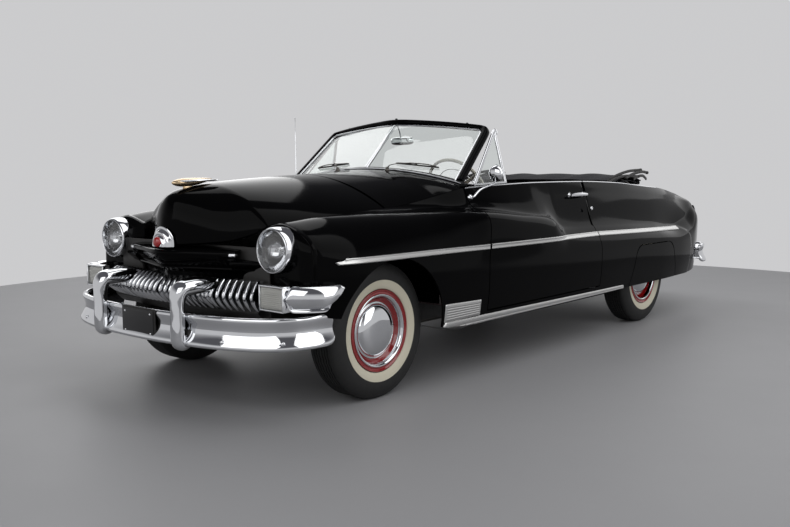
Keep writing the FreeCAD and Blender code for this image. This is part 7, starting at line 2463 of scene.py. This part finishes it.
@dataclass
class FoldedTop:
    """The folded cloth top in its well, its bows and side irons."""

    front: float = REAR_AXLE - 164
    rear: float = REAR_AXLE + 366
    low: float = 874.0
    layers: int = 6
    half_width: float = 664.0
    gauge: float = 6.0

    def line(self) -> np.ndarray:
        """The cloth's fold line in (y, z), back and forth from the bottom up.

        Returns:
            The line's points.
        """
        points = []
        z = self.low
        for k in range(self.layers):
            tall = 46 - 3 * k
            first, last = (self.front + 26 + 10 * k, self.rear - 40 - 14 * k)
            if k == self.layers - 1:
                first, last = self.front + 30, self.rear - 60
            ends = (first, last) if k % 2 == 0 else (last, first)
            crown = 10 + 6 * k
            for u in np.linspace(0, 1, 9):
                y = ends[0] + (ends[1] - ends[0]) * u
                points.append((y, z + crown * math.sin(math.pi * u)))
            side = 1 if ends[1] > ends[0] else -1
            if k < self.layers - 1:
                points += [(ends[1] + side * 17, z + tall * 0.22), (ends[1] + side * 21, z + tall * 0.55),
                           (ends[1] + side * 14, z + tall * 0.86)]
            z += tall
        return curve_through(points, 154)

    def cloth(self) -> None:
        """The cloth itself, one folded sheet with soft waves between the bows."""
        line = self.line()
        s = np.linspace(0, 1, len(line))
        x = np.linspace(-1, 1, 50)
        u, v = np.meshgrid(s, x, indexing="ij")
        sag = 7 * np.sin(5 * np.pi * v + 9 * u) * np.sin(40 * u + 2 * v) + 5 * np.sin(13 * v + 31 * u)
        drop = 14 * np.abs(v) ** 4 * np.clip(u * 1.4 - 0.2, 0, 1)
        heading = np.gradient(line, axis=0)
        normal = np.column_stack([-heading[:, 1], heading[:, 0]])
        normal /= np.linalg.norm(normal, axis=1)[:, None]
        ripple = 0.55 * sag * (1 - 0.5 * np.abs(v))
        y = line[:, 0][:, None] + normal[:, 0][:, None] * ripple
        z = line[:, 1][:, None] + normal[:, 1][:, None] * ripple - drop
        grid = np.stack([self.half_width * v, y, z], -1)
        obj = piece("folded_cloth", *plate(grid, self.gauge), TOP_CLOTH, "body", 60, ("folded_top",), "top_cloth")

    def bows(self) -> None:
        """Bows between the folds and the jointed side irons that stand proud of the well."""
        parts = []
        for y, z in ((self.front + 60, 900), (self.front + 110, 990), (self.front + 160, 1070)):
            path = [(-676, y + 90, z - 40), (-650, y + 20, z - 6), (-560, y, z + 6), (0, y - 6, z + 16),
                    (560, y, z + 6), (650, y + 20, z - 6), (676, y + 90, z - 40)]
            parts.append(sweep(superellipse(11, 8, 3, 18), curve_through(path, 44)))
        piece("top_bows", *merged(parts), CHASSIS_PAINT, "body", 50, (), "chassis_black")
        irons = []
        for points in (
            ((690, 900, 1040), (688, 1060, 1078), (684, 1240, 1098), (680, 1470, 1092)),
            ((676, 960, 1060), (674, 1120, 1104), (672, 1320, 1134), (668, 1530, 1142)),
            ((692, 1240, 1084), (688, 1360, 1112), (684, 1520, 1128), (676, 1636, 1120)),
            ((684, 1380, 1070), (682, 1460, 1092), (676, 1560, 1096), (668, 1640, 1070)),
        ):
            irons.append(sweep(superellipse(5, 11, 3, 18), curve_through(points, 28)))
        for x, y, z in ((692, 1240, 1084), (690, 900, 1040), (682, 1470, 1092), (684, 1060, 1078), (672, 1530, 1142),
                        (680, 1630, 1120)):
            rivet = [(12, -9), (12, 4), (9, 8), (0.1, 9)]
            irons.append(placed(revolve(rivet, 24), (x, y, z)))
        both("top_irons", merged(irons), CHASSIS_PAINT, "body", "chassis_black", 50)

    def build(self) -> None:
        """Make the folded top."""
        self.cloth()
        self.bows()


# ------------------------------------------------------------------ carried-over nodes
@dataclass
class FrameNodes:
    """The frame's own nodes that stay visible, each with its finish."""

    finishes: dict[str, Finish] = field(default_factory=lambda: {
        "body_paint": PAINT, "chrome": CHROME, "satin_trim": SATIN, "wheel_red": WHEEL_RED, "tyre": RUBBER,
        "glass": GLASS, "red_glass": RED_LENS, "chassis_black": CHASSIS_PAINT, "carpet": CARPET,
        "seat_leather": LEATHER, "top_cloth": TOP_CLOTH, "wheel_rim_plastic": IVORY, "engine_iron": CAST_IRON,
        "spring_steel": DARK_STEEL,
    })

    def dress(self) -> None:
        """Give every node the finish of its material slot."""
        for part in frame["record"]["subparts"]:
            obj = frame["nodes"][part["node"]]
            obj.data.materials.clear()
            obj.data.materials.append(self.finishes[part["material_slot"]].build())


FRONT_BUMPER = Bumper(
    "front_bumper",
    ((0, FRONT_AXLE - 846), (200, FRONT_AXLE - 839), (430, FRONT_AXLE - 812), (600, FRONT_AXLE - 770),
     (712, FRONT_AXLE - 722), (786, FRONT_AXLE - 662), (830, FRONT_AXLE - 592), (850, FRONT_AXLE - 520),
     (858, FRONT_AXLE - 450), (860, FRONT_AXLE - 382)),
    346, -1, 330, "front_bumper",
    ((FRONT_AXLE - 820, 352, 0.7), (FRONT_AXLE - 850, 345, 0.8), (FRONT_AXLE - 868, 362, 0.9),
     (FRONT_AXLE - 871, 410, 0.9), (FRONT_AXLE - 869, 470, 0.9), (FRONT_AXLE - 868, 540, 0.92),
     (FRONT_AXLE - 862, 588, 1.08), (FRONT_AXLE - 842, 613, 1.22), (FRONT_AXLE - 800, 620, 1.3),
     (FRONT_AXLE - 745, 622, 1.3), (FRONT_AXLE - 690, 620, 1.15), (FRONT_AXLE - 655, 614, 0.85)))
REAR_BUMPER = Bumper(
    "rear_bumper",
    ((0, REAR_AXLE + 1350), (200, REAR_AXLE + 1347), (430, REAR_AXLE + 1336), (590, REAR_AXLE + 1312),
     (700, REAR_AXLE + 1274), (780, REAR_AXLE + 1222), (828, REAR_AXLE + 1166), (850, REAR_AXLE + 1106),
     (858, REAR_AXLE + 1050), (860, REAR_AXLE + 1000)),
    366, 1, 430, "rear_bumper",
    ((REAR_AXLE + 1340, 352, 0.7), (REAR_AXLE + 1358, 350, 0.85), (REAR_AXLE + 1371, 368, 0.9),
     (REAR_AXLE + 1372, 410, 0.9), (REAR_AXLE + 1371, 460, 0.9), (REAR_AXLE + 1366, 510, 0.92),
     (REAR_AXLE + 1350, 532, 0.95), (REAR_AXLE + 1320, 536, 0.9), (REAR_AXLE + 1300, 532, 0.6)))


def main() -> None:
    """Build the car's looks in order and report each piece."""
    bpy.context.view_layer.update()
    Studio().build()
    FrameNodes().dress()
    BodySides().build()
    TopPanels().build()
    for side, word in SIDES:
        Wheel(side, f"front_{word}", FRONT_AXLE, 1486).build()
        Wheel(side, f"rear_{word}", REAR_AXLE, 1524).build()
        Headlight(side, word).build()
    FRONT_BUMPER.build()
    REAR_BUMPER.build()
    NumberPlate().build()
    for part in (Grille(), Nose(), SideTrim(), Ornament(), Windshield(), DoorFittings(), Taillight(), Antenna(),
                 Cabin(), FoldedTop()):
        part.build()


if __name__ == "__main__":
    main()
